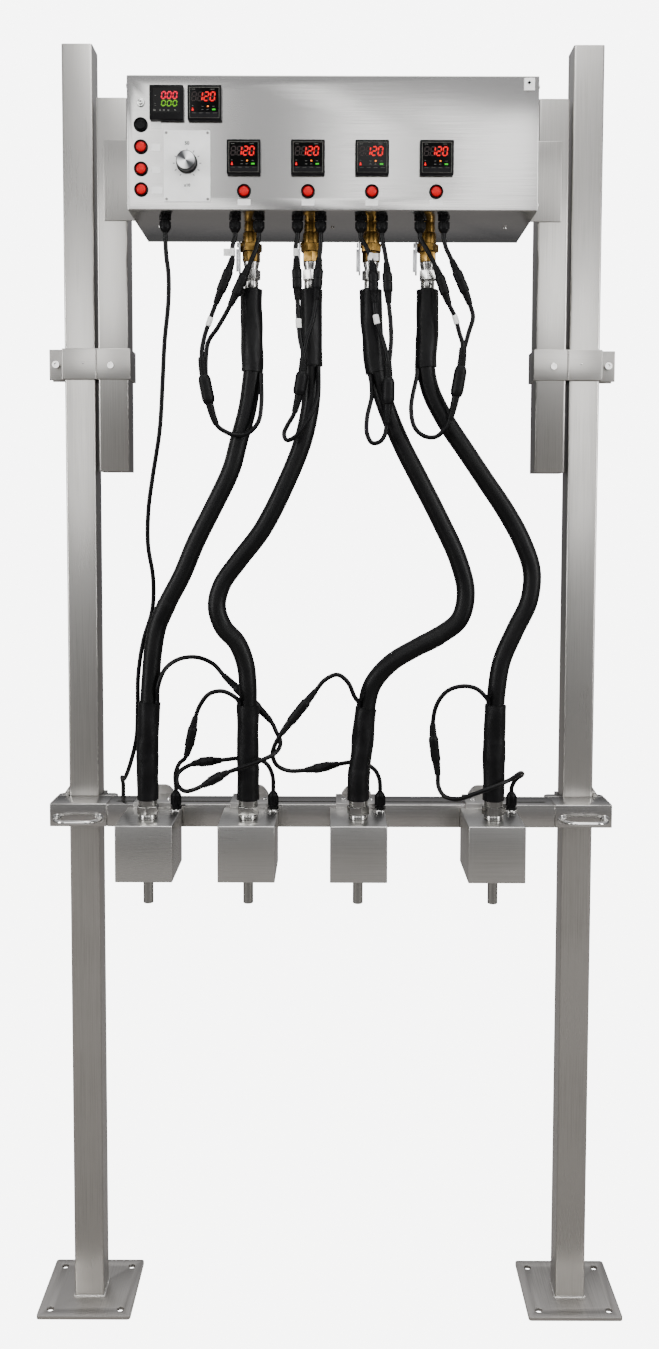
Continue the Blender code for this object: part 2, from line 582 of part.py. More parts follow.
def temporary(bm):
    bmesh.ops.recalc_face_normals(bm, faces=bm.faces)
    mesh = bpy.data.meshes.new("cutter")
    bm.to_mesh(mesh)
    bm.free()
    tool = bpy.data.objects.new("cutter", mesh)
    bpy.context.scene.collection.objects.link(tool)
    tool.hide_render = True
    tool.display_type = "WIRE"
    return tool


def combine(thing, bm, operation):
    """Cut a piece with a bmesh, or join the bmesh to it, with an exact Boolean."""
    tool = temporary(bm)
    tool.location = (0, 0, 0)
    change = thing.modifiers.new("change", "BOOLEAN")
    change.operation = operation
    change.solver = "EXACT"
    change.object = tool
    bpy.context.view_layer.update()
    graph = bpy.context.evaluated_depsgraph_get()
    mesh = bpy.data.meshes.new_from_object(thing.evaluated_get(graph))
    thing.modifiers.clear()
    old = thing.data
    thing.data = mesh
    bpy.data.meshes.remove(old)
    bpy.data.objects.remove(tool, do_unlink=True)
    thing.data.shade_smooth()
    thing.data.set_sharp_from_angle(angle=math.radians(SHARP_EDGE_DEGREES))


def smooth_route(points, spacing=ROUTE_SPACING):
    """A smooth curve through route points, as closely spaced points."""
    knots = [Vector(p) for p in points]
    knots = [2 * knots[0] - knots[1]] + knots + [2 * knots[-1] - knots[-2]]
    out = []
    for p0, p1, p2, p3 in zip(knots, knots[1:], knots[2:], knots[3:]):
        t1 = max((p1 - p0).length, FIT_GAP) ** 0.5
        t2 = max((p2 - p1).length, FIT_GAP) ** 0.5
        t3 = max((p3 - p2).length, FIT_GAP) ** 0.5
        m1 = t2 * ((p1 - p0) / t1 - (p2 - p0) / (t1 + t2) + (p2 - p1) / t2)
        m2 = t2 * ((p2 - p1) / t2 - (p3 - p1) / (t2 + t3) + (p3 - p2) / t3)
        count = max(2, int((p2 - p1).length / spacing))
        for k in range(count):
            t = k / count
            out.append(p1 * (2 * t**3 - 3 * t**2 + 1) + m1 * (t**3 - 2 * t**2 + t)
                       + p2 * (3 * t**2 - 2 * t**3) + m2 * (t**3 - t**2))
    out.append(knots[-2])
    return out


def route_length(dense):
    return sum((b - a).length for a, b in zip(dense, dense[1:]))


def stretch(dense, start, end, step):
    """Evenly spaced points along a route, between two lengths measured along it."""
    count = max(2, round((end - start) / step))
    wanted = [start + (end - start) * i / count for i in range(count + 1)]
    out, travelled, k = [], 0, 0
    for a, b in zip(dense, dense[1:]):
        piece = (b - a).length
        while k < len(wanted) and wanted[k] <= travelled + piece:
            out.append(a.lerp(b, (wanted[k] - travelled) / piece if piece else 0))
            k += 1
        travelled += piece
    while k < len(wanted):
        out.append(dense[-1].copy())
        k += 1
    return out


def place_on(dense, length):
    """The point at a length along a route, and the direction there."""
    travelled = 0
    for a, b in zip(dense, dense[1:]):
        piece = (b - a).length
        if travelled + piece >= length:
            return a.lerp(b, (length - travelled) / piece), (b - a).normalized()
        travelled += piece
    return dense[-1].copy(), (dense[-1] - dense[-2]).normalized()


def tube_curve(name, points, radii, level, finish, parent=None):
    """A tube along a list of points, with the radius at each of them."""
    curve = bpy.data.curves.new(name, "CURVE")
    curve.dimensions = "3D"
    curve.bevel_depth = 1
    curve.bevel_resolution = round(level)
    curve.use_fill_caps = True
    curve.twist_mode = "MINIMUM"
    pivot = world_place(parent)
    spline = curve.splines.new("POLY")
    spline.points.add(len(points) - 1)
    for place, point, radius in zip(spline.points, points, radii):
        place.co = (*(point - pivot), 1)
        place.radius = radius
    return link(bpy.data.objects.new(name, curve), finish, parent, pivot)


def mirrored(outline, side):
    """An outline drawn for the right side, or its mirror image for the left."""
    if side > 0:
        return outline
    return [(-x, y) for x, y in reversed(outline)]


def add_open_tube(bm, centre, side, wall, corner, bottom, top, lid, steps=2):
    """A square tube with a lid at its top, open underneath."""
    outer = rounded_outline(centre, side, side, corner, steps)
    inner_side = side - 2 * wall
    inner = rounded_outline(centre, inner_side, inner_side, corner / 2, steps)
    rings = [[bm.verts.new((x, y, z)) for x, y in ring]
             for ring, z in ((outer, top), (outer, bottom), (inner, bottom), (inner, top - lid))]
    count = len(outer)
    for a, b in zip(rings, rings[1:]):
        for i in range(count):
            j = (i + 1) % count
            bm.faces.new((a[i], a[j], b[j], b[i]))
    bm.faces.new(rings[0])
    bm.faces.new(rings[-1])


def build_stand(steel):
    """Each post is welded to its base plate and closed with a welded cap."""
    for side, name in zip(SIDES, ("left_post", "right_post")):
        centre = (side * POST_CENTRE_X, POST_MIDDLE)
        bm = bmesh.new()
        add_open_tube(bm, centre, POST_SIDE, POST_WALL, POST_CORNER, PLATE_THICKNESS / 2,
                      STAND_HEIGHT, CAP_THICKNESS)
        post = solid(name, bm, steel)
        bm = bmesh.new()
        add_prism(bm, rounded_outline(centre, PLATE_SIDE, PLATE_SIDE, PLATE_CORNER), 0,
                  PLATE_THICKNESS)
        combine(post, bm, "UNION")
        holes = bmesh.new()
        inner = POST_SIDE - 2 * POST_WALL
        add_prism(holes, rounded_outline(centre, inner, inner, POST_CORNER / 2), -CUT_OVERRUN,
                  PLATE_THICKNESS + CUT_OVERRUN)
        for dx in SIDES:
            for dy in SIDES:
                x = centre[0] + dx * PLATE_HOLE_SPACING / 2
                y = centre[1] + dy * PLATE_HOLE_SPACING / 2
                radius = PLATE_HOLE_DIAMETER / 2
                add_turned(holes, (x, y, 0), (0, 0, 1),
                           ((radius, -CUT_OVERRUN), (radius, PLATE_THICKNESS + CUT_OVERRUN)),
                           SMALL_SIDES)
        combine(post, holes, "DIFFERENCE")


def mount_middle():
    return (MOUNT_INNER_X + MOUNT_OUTER_X) / 2


def build_mount_tubes(steel):
    """Each short tube has the cabinet's bracket welded to its front face."""
    for side, name in zip(SIDES, ("left_mount_tube", "right_mount_tube")):
        bm = bmesh.new()
        add_open_tube(bm, (side * mount_middle(), POST_MIDDLE), POST_SIDE, MOUNT_WALL,
                      POST_CORNER, MOUNT_BOTTOM, MOUNT_TOP, CAP_THICKNESS)
        tube = solid(name, bm, steel)
        near = CABINET_WIDTH / 2 + FIT_GAP
        lap = MOUNT_INNER_X + BRACKET_TUBE_LAP
        flange_back = POST_FRONT + MOUNT_WALL / 2
        flange_front = flange_back - BRACKET_THICKNESS
        start = POST_FRONT - BRACKET_SIDE_LENGTH
        outline = [(near, start), (near + BRACKET_THICKNESS, start),
                   (near + BRACKET_THICKNESS, flange_front), (lap, flange_front),
                   (lap, flange_back), (near, flange_back)]
        middle = (CABINET_TOP + CABINET_BOTTOM) / 2
        bm = bmesh.new()
        add_prism(bm, mirrored(outline, side), middle - BRACKET_HEIGHT / 2,
                  middle + BRACKET_HEIGHT / 2)
        combine(tube, bm, "UNION")


def build_clamps(steel):
    """One bent strap on each side. It runs round the mount tube and the post, and a
    screw through its two lugs pulls it tight."""
    low, high = STRAP_Z - STRAP_HEIGHT / 2, STRAP_Z + STRAP_HEIGHT / 2
    lug_x = POST_OUTER_X + (FIT_GAP + STRAP_THICKNESS + LUG_REACH) / 2
    for side, name in zip(SIDES, ("left_clamp_strap", "right_clamp_strap")):
        gap, wall = FIT_GAP, STRAP_THICKNESS
        front, back = POST_FRONT - gap, POST_BACK + gap
        inner = MOUNT_INNER_X - gap
        outer, tip = POST_OUTER_X + gap, POST_OUTER_X + LUG_REACH
        lug_front, lug_back = POST_FRONT + LUG_SETBACK, POST_BACK - LUG_SETBACK
        outline = [(inner - wall, front - wall), (outer + wall, front - wall),
                   (outer + wall, lug_front), (tip, lug_front), (tip, lug_front + wall),
                   (outer, lug_front + wall), (outer, front), (inner, front), (inner, back),
                   (outer, back), (outer, lug_back - wall), (tip, lug_back - wall),
                   (tip, lug_back), (outer + wall, lug_back), (outer + wall, back + wall),
                   (inner - wall, back + wall)]
        bm = bmesh.new()
        add_prism(bm, mirrored(outline, side), low, high)
        strap = solid(name, bm, steel)
        screw = bmesh.new()
        grip = POST_SIDE / 2 - LUG_SETBACK
        nut = grip + CLAMP_NUT_HEIGHT
        add_turned(screw, (side * lug_x, POST_MIDDLE, STRAP_Z), (0, 1, 0),
                   ((CLAMP_HEAD_RADIUS, -grip - CLAMP_HEAD_HEIGHT), (CLAMP_HEAD_RADIUS, -grip),
                    (CLAMP_SCREW_RADIUS, -grip), (CLAMP_SCREW_RADIUS, grip),
                    (CLAMP_NUT_RADIUS, grip), (CLAMP_NUT_RADIUS, nut),
                    (CLAMP_SCREW_RADIUS, nut), (CLAMP_SCREW_RADIUS, nut + CLAMP_SCREW_TIP)),
                   SMALL_SIDES)
        combine(strap, screw, "UNION")


def build_cabinet(steel):
    half = CABINET_WIDTH / 2
    cover_front = CABINET_BACK - CABINET_BACK_THICKNESS
    bm = bmesh.new()
    add_box(bm, (-half, CABINET_FRONT, CABINET_BOTTOM), (half, cover_front - FIT_GAP, CABINET_TOP))
    shell = solid("cabinet_shell", bm, steel)
    inside = bmesh.new()
    add_box(inside, (-half + CABINET_WALL, CABINET_FRONT + CABINET_WALL,
                     CABINET_BOTTOM + CABINET_WALL),
            (half - CABINET_WALL, cover_front + CUT_OVERRUN, CABINET_TOP - CABINET_WALL))
    combine(shell, inside, "DIFFERENCE")

    rings = bmesh.new()
    bezels = [(x, z, SWITCH_BEZEL_RADIUS, SWITCH_BEZEL_HEIGHT) for x, z in switch_places()]
    bezels.append((COLUMN_X, CABINET_BOTTOM + JACK_ABOVE_BOTTOM, JACK_RADIUS, JACK_PROUD))
    for x, z, radius, height in bezels:
        add_turned(rings, (x, CABINET_FRONT, z), (0, 1, 0),
                   ((radius, -height), (radius, CABINET_WALL / 2)), TINY_SIDES)
    combine(shell, rings, "UNION")

    holes = bmesh.new()
    panel_start = CABINET_FRONT - JACK_PROUD - CUT_OVERRUN
    panel_end = CABINET_FRONT + CABINET_WALL + CUT_OVERRUN
    reach = CONTROLLER_BODY_SIDE / 2 + CONTROLLER_CUTOUT_CLEARANCE
    for x, z in zone_controller_places() + upper_controller_places():
        add_box(holes, (x - reach, panel_start, z - reach), (x + reach, panel_end, z + reach))
    rounds = [(x, z, BUTTON_RADIUS + BUTTON_CLEARANCE) for x, z in switch_places()]
    rounds.append((DIAL_PLATE_X, dial_z(), DIAL_SHAFT_RADIUS + DIAL_SHAFT_CLEARANCE))
    rounds.append((COLUMN_X, CABINET_BOTTOM + JACK_ABOVE_BOTTOM, JACK_BORE_RADIUS))
    for x, z, radius in rounds:
        add_turned(holes, (x, panel_start, z), (0, 1, 0),
                   ((radius, 0), (radius, panel_end - panel_start)), SMALL_SIDES)
    floor_start = CABINET_BOTTOM - CUT_OVERRUN
    floor_run = CABINET_WALL + 2 * CUT_OVERRUN
    spots = [(x, GLAND_Y, GLAND_NECK_RADIUS + GLAND_NECK_CLEARANCE) for x in GLAND_X]
    spots += [(x, VALVE_Y, VALVE_NIPPLE_RADIUS + VALVE_NIPPLE_CLEARANCE) for x in VALVE_X]
    for x, y, radius in spots:
        add_turned(holes, (x, y, floor_start), (0, 0, 1), ((radius, 0), (radius, floor_run)),
                   SMALL_SIDES)
    combine(shell, holes, "DIFFERENCE")

    bm = bmesh.new()
    add_box(bm, (-half, cover_front, CABINET_BOTTOM), (half, CABINET_BACK, CABINET_TOP))
    cover = solid("cabinet_back", bm, steel)
    wide, tall = POWER_INLET_SIZE[0] / 2, POWER_INLET_SIZE[1] / 2
    z = CABINET_BOTTOM + POWER_INLET_ABOVE_BOTTOM
    seat = CABINET_BACK - CABINET_BACK_THICKNESS / 2
    for rim, start, end in ((0, seat - POWER_INLET_BODY_DEPTH, seat),
                            (POWER_INLET_FLANGE_RIM, seat, CABINET_BACK + POWER_INLET_FLANGE_DEPTH)):
        bm = bmesh.new()
        add_box(bm, (POWER_INLET_X - wide - rim, start, z - tall - rim),
                (POWER_INLET_X + wide + rim, end, z + tall + rim))
        combine(cover, bm, "UNION")
    hole = bmesh.new()
    radius = INLET_PIPE_RADIUS + INLET_HOLE_CLEARANCE
    add_turned(hole, (inlet_x(), cover_front - CUT_OVERRUN, inlet_z()), (0, 1, 0),
               ((radius, 0), (radius, CABINET_BACK_THICKNESS + 2 * CUT_OVERRUN)))
    combine(cover, hole, "DIFFERENCE")


def zone_controller_places():
    return [(x, CABINET_BOTTOM + ZONE_CONTROLLER_ABOVE_BOTTOM) for x in ZONE_X]


def upper_controller_places():
    return [(x, CABINET_BOTTOM + UPPER_CONTROLLER_ABOVE_BOTTOM) for x in UPPER_CONTROLLER_X]


def switch_places():
    places = [(COLUMN_X, CABINET_BOTTOM + height) for height in COLUMN_SWITCHES_ABOVE_BOTTOM]
    places += [(x, CABINET_BOTTOM + ZONE_SWITCH_ABOVE_BOTTOM) for x in ZONE_X]
    return places


def dial_z():
    return CABINET_BOTTOM + DIAL_CENTRE_ABOVE_BOTTOM


def inlet_x():
    return (VALVE_X[1] + VALVE_X[2]) / 2


def inlet_z():
    return CABINET_BOTTOM + CABINET_WALL + FIT_GAP + MANIFOLD_HEIGHT / 2


def add_square_steps(bm, x, z, steps):
    """A stepped square block along +Y, given as (side, y) stations."""
    rings = []
    for side, y in steps:
        r = side / 2
        rings.append([bm.verts.new(p) for p in ((x - r, y, z - r), (x + r, y, z - r),
                                                (x + r, y, z + r), (x - r, y, z + r))])
    for a, b in zip(rings, rings[1:]):
        for i in range(4):
            j = (i + 1) % 4
            bm.faces.new((a[i], a[j], b[j], b[i]))
    bm.faces.new(rings[0])
    bm.faces.new(rings[-1])


def build_controllers(dark):
    """Each row of controllers plugs into one wiring board behind the panel."""
    seat = CABINET_FRONT - FIT_GAP
    body_back = seat + CONTROLLER_BODY_DEPTH
    for name, places in (("zone_controllers", zone_controller_places()),
                         ("upper_controllers", upper_controller_places())):
        bm = bmesh.new()
        for x, z in places:
            add_square_steps(bm, x, z, ((CONTROLLER_SIDE, seat - CONTROLLER_BEZEL_DEPTH),
                                        (CONTROLLER_SIDE, seat), (CONTROLLER_BODY_SIDE, seat),
                                        (CONTROLLER_BODY_SIDE, body_back)))
        row = solid(name, bm, dark)
        board = bmesh.new()
        z = places[0][1]
        reach = CONTROLLER_BODY_SIDE / 2 - BOARD_INSET
        half = BOARD_HEIGHT / 2
        add_box(board, (places[0][0] - reach, body_back - BOARD_THICKNESS / 2, z - half),
                (places[-1][0] + reach, body_back + BOARD_THICKNESS / 2, z + half))
        combine(row, board, "UNION")


def build_switches(black, red):
    """Each button has a collar behind the panel, which stops it from coming out."""
    seat = CABINET_FRONT
    names = ("start_button", "pump_switch", "heat_switch", "power_switch", "zone_1_switch",
             "zone_2_switch", "zone_3_switch", "zone_4_switch")
    collar = CABINET_WALL + FIT_GAP
    for name, (x, z) in zip(names, switch_places()):
        bm = bmesh.new()
        add_turned(bm, (x, seat, z), (0, 1, 0),
                   ((BUTTON_RADIUS, -BUTTON_PROUD), (BUTTON_RADIUS, collar),
                    (BUTTON_COLLAR_RADIUS, collar),
                    (BUTTON_COLLAR_RADIUS, collar + BUTTON_COLLAR_LENGTH)), SMALL_SIDES)
        solid(name, bm, black if name == "start_button" else red, pivot=(x, seat, z))


def build_dial(white, silver, dark):
    seat = CABINET_FRONT - FIT_GAP
    z_low = CABINET_BOTTOM + DIAL_PLATE_ABOVE_BOTTOM
    bm = bmesh.new()
    add_box(bm, (DIAL_PLATE_X - DIAL_PLATE_WIDTH / 2, seat - DIAL_PLATE_THICKNESS, z_low),
            (DIAL_PLATE_X + DIAL_PLATE_WIDTH / 2, seat, z_low + DIAL_PLATE_HEIGHT))
    plate = solid("dial_plate", bm, white)
    hole = bmesh.new()
    radius = DIAL_SHAFT_RADIUS + DIAL_SHAFT_CLEARANCE
    add_turned(hole, (DIAL_PLATE_X, seat - DIAL_PLATE_THICKNESS - CUT_OVERRUN, dial_z()),
               (0, 1, 0), ((radius, 0), (radius, DIAL_PLATE_THICKNESS + 2 * CUT_OVERRUN)),
               SMALL_SIDES)
    combine(plate, hole, "DIFFERENCE")

    bm = bmesh.new()
    knob_back = seat - DIAL_PLATE_THICKNESS - FIT_GAP
    waist = DIAL_KNOB_RADIUS * DIAL_KNOB_WAIST_SHARE
    skirt = DIAL_KNOB_LENGTH * DIAL_KNOB_SKIRT_SHARE
    pot_front = CABINET_FRONT + CABINET_WALL + FIT_GAP
    shaft_end = pot_front - FIT_GAP - knob_back
    add_turned(bm, (DIAL_PLATE_X, knob_back, dial_z()), (0, 1, 0),
               ((waist, -DIAL_KNOB_LENGTH), (waist, -skirt), (DIAL_KNOB_RADIUS, -skirt),
                (DIAL_KNOB_RADIUS, 0), (DIAL_SHAFT_RADIUS, 0), (DIAL_SHAFT_RADIUS, shaft_end)))
    solid("dial_knob", bm, silver, pivot=(DIAL_PLATE_X, knob_back, dial_z()))
    bm = bmesh.new()
    add_turned(bm, (DIAL_PLATE_X, pot_front, dial_z()), (0, 1, 0),
               ((DIAL_POT_RADIUS, 0), (DIAL_POT_RADIUS, DIAL_POT_LENGTH)))
    solid("dial_potentiometer", bm, dark)


def build_cabinet_inside(aluminium, dark):
    floor = CABINET_BOTTOM + CABINET_WALL + FIT_GAP
    manifold_back = VALVE_Y + MANIFOLD_DEPTH / 2
    bm = bmesh.new()
    add_box(bm, (VALVE_X[0] - MANIFOLD_END_MARGIN, VALVE_Y - MANIFOLD_DEPTH / 2, floor),
            (VALVE_X[-1] + MANIFOLD_END_MARGIN, manifold_back, floor + MANIFOLD_HEIGHT))
    manifold = solid("wax_manifold", bm, aluminium)
    bm = bmesh.new()
    start = VALVE_Y
    end = CABINET_BACK + INLET_PIPE_BEHIND_COVER - start
    nut = end - INLET_NUT_LENGTH
    add_turned(bm, (inlet_x(), start, inlet_z()), (0, 1, 0),
               ((INLET_PIPE_RADIUS, 0), (INLET_PIPE_RADIUS, nut), (INLET_NUT_RADIUS, nut),
                (INLET_NUT_RADIUS, end)), SMALL_SIDES)
    combine(manifold, bm, "UNION")
    bore = bmesh.new()
    add_turned(bore, (inlet_x(), start, inlet_z()), (0, 1, 0),
               ((WAX_BORE_RADIUS, 0), (WAX_BORE_RADIUS, end + CUT_OVERRUN)), SMALL_SIDES)
    combine(manifold, bore, "DIFFERENCE")

    rail_z = CABINET_BOTTOM + RAIL_ABOVE_BOTTOM
    rail_back = CABINET_BACK - CABINET_BACK_THICKNESS - FIT_GAP
    rail_front = rail_back - RAIL_DEPTH
    bm = bmesh.new()
    add_box(bm, (-RAIL_LENGTH / 2, rail_front, rail_z),
            (RAIL_LENGTH / 2, rail_back, rail_z + RAIL_HEIGHT))
    rail = solid("relay_rail", bm, dark)
    wide, deep, tall = RELAY_SIZE
    middle = rail_z + RAIL_HEIGHT / 2
    bm = bmesh.new()
    for k in range(RELAY_COUNT):
        x = (k - (RELAY_COUNT - 1) / 2) * RELAY_SPACING
        add_box(bm, (x - wide / 2, rail_front - deep, middle - tall / 2),
                (x + wide / 2, rail_front + RAIL_DEPTH / 2, middle + tall / 2))
    combine(rail, bm, "UNION")


def gland_profile(height, seat, neck):
    """A cord gland's half section, from its neck through the wall to its mouth."""
    return ((GLAND_NECK_RADIUS, -neck), (GLAND_NECK_RADIUS, seat),
            (GLAND_NUT_RADIUS, seat), (GLAND_NUT_RADIUS, GLAND_NUT_HEIGHT),
            (GLAND_BODY_RADIUS, GLAND_NUT_HEIGHT), (GLAND_BODY_RADIUS, height - GLAND_NUT_HEIGHT),
            (GLAND_TIP_RADIUS, height))


def build_underside(black, brass, lever_grey):
    bm = bmesh.new()
    half = GLAND_STRIP_WIDTH / 2
    strip = CABINET_BOTTOM + CABINET_WALL + FIT_GAP
    add_box(bm, (GLAND_X[0] - half, GLAND_Y - half, strip),
            (GLAND_X[-1] + half, GLAND_Y + half, strip + GLAND_STRIP_HEIGHT))
    glands = solid("cord_glands", bm, black)
    bm = bmesh.new()
    for x in GLAND_X:
        add_turned(bm, (x, GLAND_Y, CABINET_BOTTOM), (0, 0, -1),
                   gland_profile(GLAND_HEIGHT, FIT_GAP, GLAND_NECK_LENGTH), TINY_SIDES)
    combine(glands, bm, "UNION")

    nipple = VALVE_TOP - (CABINET_BOTTOM + CABINET_WALL)
    body_top = VALVE_TOP - VALVE_BODY_TOP
    body_end = VALVE_TOP - VALVE_BODY_BOTTOM
    lower_end = VALVE_TOP - VALVE_BOTTOM
    nut_end = lower_end + SWIVEL_NUT_HEIGHT
    for index, x in enumerate(VALVE_X):
        bm = bmesh.new()
        add_turned(bm, (x, VALVE_Y, VALVE_TOP), (0, 0, -1),
                   ((VALVE_NIPPLE_RADIUS, nipple), (VALVE_NIPPLE_RADIUS, 0),
                    (VALVE_NUT_RADIUS, 0), (VALVE_NUT_RADIUS, body_top),
                    (VALVE_BODY_RADIUS, body_top), (VALVE_BODY_RADIUS, body_end),
                    (VALVE_NUT_RADIUS, body_end), (VALVE_NUT_RADIUS, lower_end),
                    (SWIVEL_NUT_RADIUS, lower_end), (SWIVEL_NUT_RADIUS, nut_end),
                    (FERRULE_RADIUS, nut_end), (FERRULE_RADIUS, nut_end + FERRULE_HEIGHT)),
                   SMALL_SIDES)
        valve = solid(f"valve_{index + 1}", bm, brass)
        boss = bmesh.new()
        add_turned(boss, (x, VALVE_Y, LEVER_Z), (-1, 0, 0),
                   ((VALVE_BOSS_RADIUS, 0), (VALVE_BOSS_RADIUS, VALVE_BOSS_REACH)), SMALL_SIDES)
        combine(valve, boss, "UNION")

        bm = bmesh.new()
        outline = []
        tip = LEVER_Z - LEVER_LENGTH + LEVER_WIDTH / 2
        for centre, radius, first in ((LEVER_Z, LEVER_HUB_RADIUS, 0), (tip, LEVER_WIDTH / 2, 180)):
            for k in range(LEVER_ROUND_STEPS + 1):
                angle = math.radians(first + 180 * k / LEVER_ROUND_STEPS)
                outline.append((VALVE_Y + radius * math.cos(angle),
                                centre + radius * math.sin(angle)))
        face = x - VALVE_BOSS_REACH - FIT_GAP
        add_prism(bm, outline, face - LEVER_THICKNESS, face, axis="x")
        solid(f"valve_{index + 1}_lever", bm, lever_grey, pivot=(face, VALVE_Y, LEVER_Z))


def build_beam(steel, black, silver, holder):
    low, high = (-BEAM_HALF_LENGTH, BEAM_BACK), (BEAM_HALF_LENGTH, BEAM_TOP)
    bm = bmesh.new()
    add_box(bm, (low[0], BEAM_FRONT, BEAM_BOTTOM), (high[0], BEAM_BACK, BEAM_TOP))
    beam = solid("beam", bm, steel, holder, holder.location)
    cut = bmesh.new()
    slot_half = BEAM_HALF_LENGTH - SLOT_END_MARGIN
    add_box(cut, (low[0] - CUT_OVERRUN, BEAM_FRONT + BEAM_WALL, BEAM_BOTTOM - CUT_OVERRUN),
            (high[0] + CUT_OVERRUN, BEAM_BACK - BEAM_WALL, BEAM_TOP - BEAM_WALL))
    combine(beam, cut, "DIFFERENCE")
    cut = bmesh.new()
    add_box(cut, (-slot_half, SLOT_Y - SLOT_WIDTH / 2, BEAM_TOP - BEAM_WALL - CUT_OVERRUN),
            (slot_half, SLOT_Y + SLOT_WIDTH / 2, BEAM_TOP + CUT_OVERRUN))
    combine(beam, cut, "DIFFERENCE")
    bm = bmesh.new()
    half = CABLE_GLAND_SIZE / 2
    top = BEAM_TOP - CABLE_GLAND_BELOW_BEAM_TOP
    add_box(bm, (CABLE_GLAND_X - half, BEAM_BACK - BEAM_WALL / 2, top - CABLE_GLAND_HEIGHT),
            (CABLE_GLAND_X + half, BEAM_BACK + CABLE_GLAND_SIZE, top))
    combine(beam, bm, "UNION")

    for side, name in zip(SIDES, ("left", "right")):
        build_beam_end(side, name, steel, holder)
        middle = side * (BEAM_HALF_LENGTH + END_OUTER_X) / 2
        points, radii = handle_points(middle)
        tube_curve(f"{name}_pull_handle", points, radii, LEAD_SIDES_LEVEL, silver, holder)
        build_lock_knob(side, name, black, holder)


def build_beam_end(side, name, steel, holder):
    """The beam's end section: a channel with the pull handle on its front, and a
    strap welded behind it that goes round the post."""
    inner = BEAM_HALF_LENGTH + FIT_GAP
    xs = sorted((side * inner, side * END_OUTER_X))
    bm = bmesh.new()
    add_box(bm, (xs[0], BEAM_FRONT, BEAM_BOTTOM), (xs[1], BEAM_BACK, BEAM_TOP))
    end = solid(f"{name}_beam_end", bm, steel, holder, holder.location)
    cut = bmesh.new()
    add_box(cut, (xs[0] + BEAM_WALL, BEAM_FRONT + BEAM_WALL, BEAM_BOTTOM - CUT_OVERRUN),
            (xs[1] - BEAM_WALL, BEAM_BACK - BEAM_WALL, BEAM_TOP - BEAM_WALL))
    combine(end, cut, "DIFFERENCE")

    wall = REAR_CLAMP_WALL
    gap = CLAMP_CLEARANCE
    seat = BEAM_BACK - BEAM_WALL / 2
    in_face, out_face = POST_INNER_X - gap, POST_OUTER_X + gap
    back = POST_BACK + gap
    outline = [(in_face - wall, seat), (in_face, seat), (in_face, back), (out_face, back),
               (out_face, seat), (out_face + wall, seat), (out_face + wall, back + wall),
               (in_face - wall, back + wall)]
    bm = bmesh.new()
    add_prism(bm, mirrored(outline, side), BEAM_BOTTOM, BEAM_TOP - BEAM_WALL)
    combine(end, bm, "UNION")

    inner_ear = POST_INNER_X - REAR_PLATE_INNER
    rear = BEAM_BACK + REAR_PLATE_DEPTH
    corner = REAR_PLATE_CORNER
    bm = bmesh.new()
    plates = ([(inner_ear, BEAM_BACK + FIT_GAP), (in_face - FIT_GAP, BEAM_BACK + FIT_GAP),
               (in_face - FIT_GAP, rear), (inner_ear + corner, rear), (inner_ear, rear - corner)],
              [(out_face + FIT_GAP, seat), (END_OUTER_X, seat), (END_OUTER_X, rear - corner),
               (END_OUTER_X - corner, rear), (out_face + FIT_GAP, rear)])
    for outline in plates:
        add_prism(bm, mirrored(outline, side), BEAM_TOP - 2 * BEAM_WALL, BEAM_TOP)
    combine(end, bm, "UNION")
    bm = bmesh.new()
    x0, x1 = out_face + FIT_GAP, END_OUTER_X - corner
    triangle = [(x0, BEAM_TOP - BEAM_WALL), (x1, BEAM_TOP - BEAM_WALL),
                (x0, BEAM_TOP + REAR_GUSSET_RISE)]
    add_prism(bm, mirrored(triangle, side), rear - corner - BEAM_WALL, rear - corner, axis="y")
    combine(end, bm, "UNION")

    cut = bmesh.new()
    radius = LOCK_STUD_RADIUS + LOCK_STUD_CLEARANCE
    add_turned(cut, (side * POST_CENTRE_X, back - CUT_OVERRUN / 2, lock_z()), (0, 1, 0),
               ((radius, 0), (radius, wall + CUT_OVERRUN)), SMALL_SIDES)
    combine(end, cut, "DIFFERENCE")


def build_lock_knob(side, name, black, holder):
    """A hand knob whose stud bears on the back of the post and locks the beam."""
    x = side * POST_CENTRE_X
    tip = POST_BACK + FIT_GAP
    knob = CLAMP_CLEARANCE + REAR_CLAMP_WALL + LOCK_KNOB_STANDOFF - FIT_GAP
    waist = LOCK_KNOB_RADIUS * LOCK_KNOB_WAIST_SHARE
    bm = bmesh.new()
    add_turned(bm, (x, tip, lock_z()), (0, 1, 0),
               ((LOCK_STUD_RADIUS, 0), (LOCK_STUD_RADIUS, knob), (waist, knob),
                (LOCK_KNOB_RADIUS, knob + LOCK_KNOB_LENGTH * LOCK_KNOB_WAIST_SHARE),
                (LOCK_KNOB_RADIUS, knob + LOCK_KNOB_LENGTH)), SMALL_SIDES)
    solid(f"{name}_lock_knob", bm, black, holder, (x, tip, lock_z()))


def lock_z():
    return (BEAM_TOP + BEAM_BOTTOM) / 2


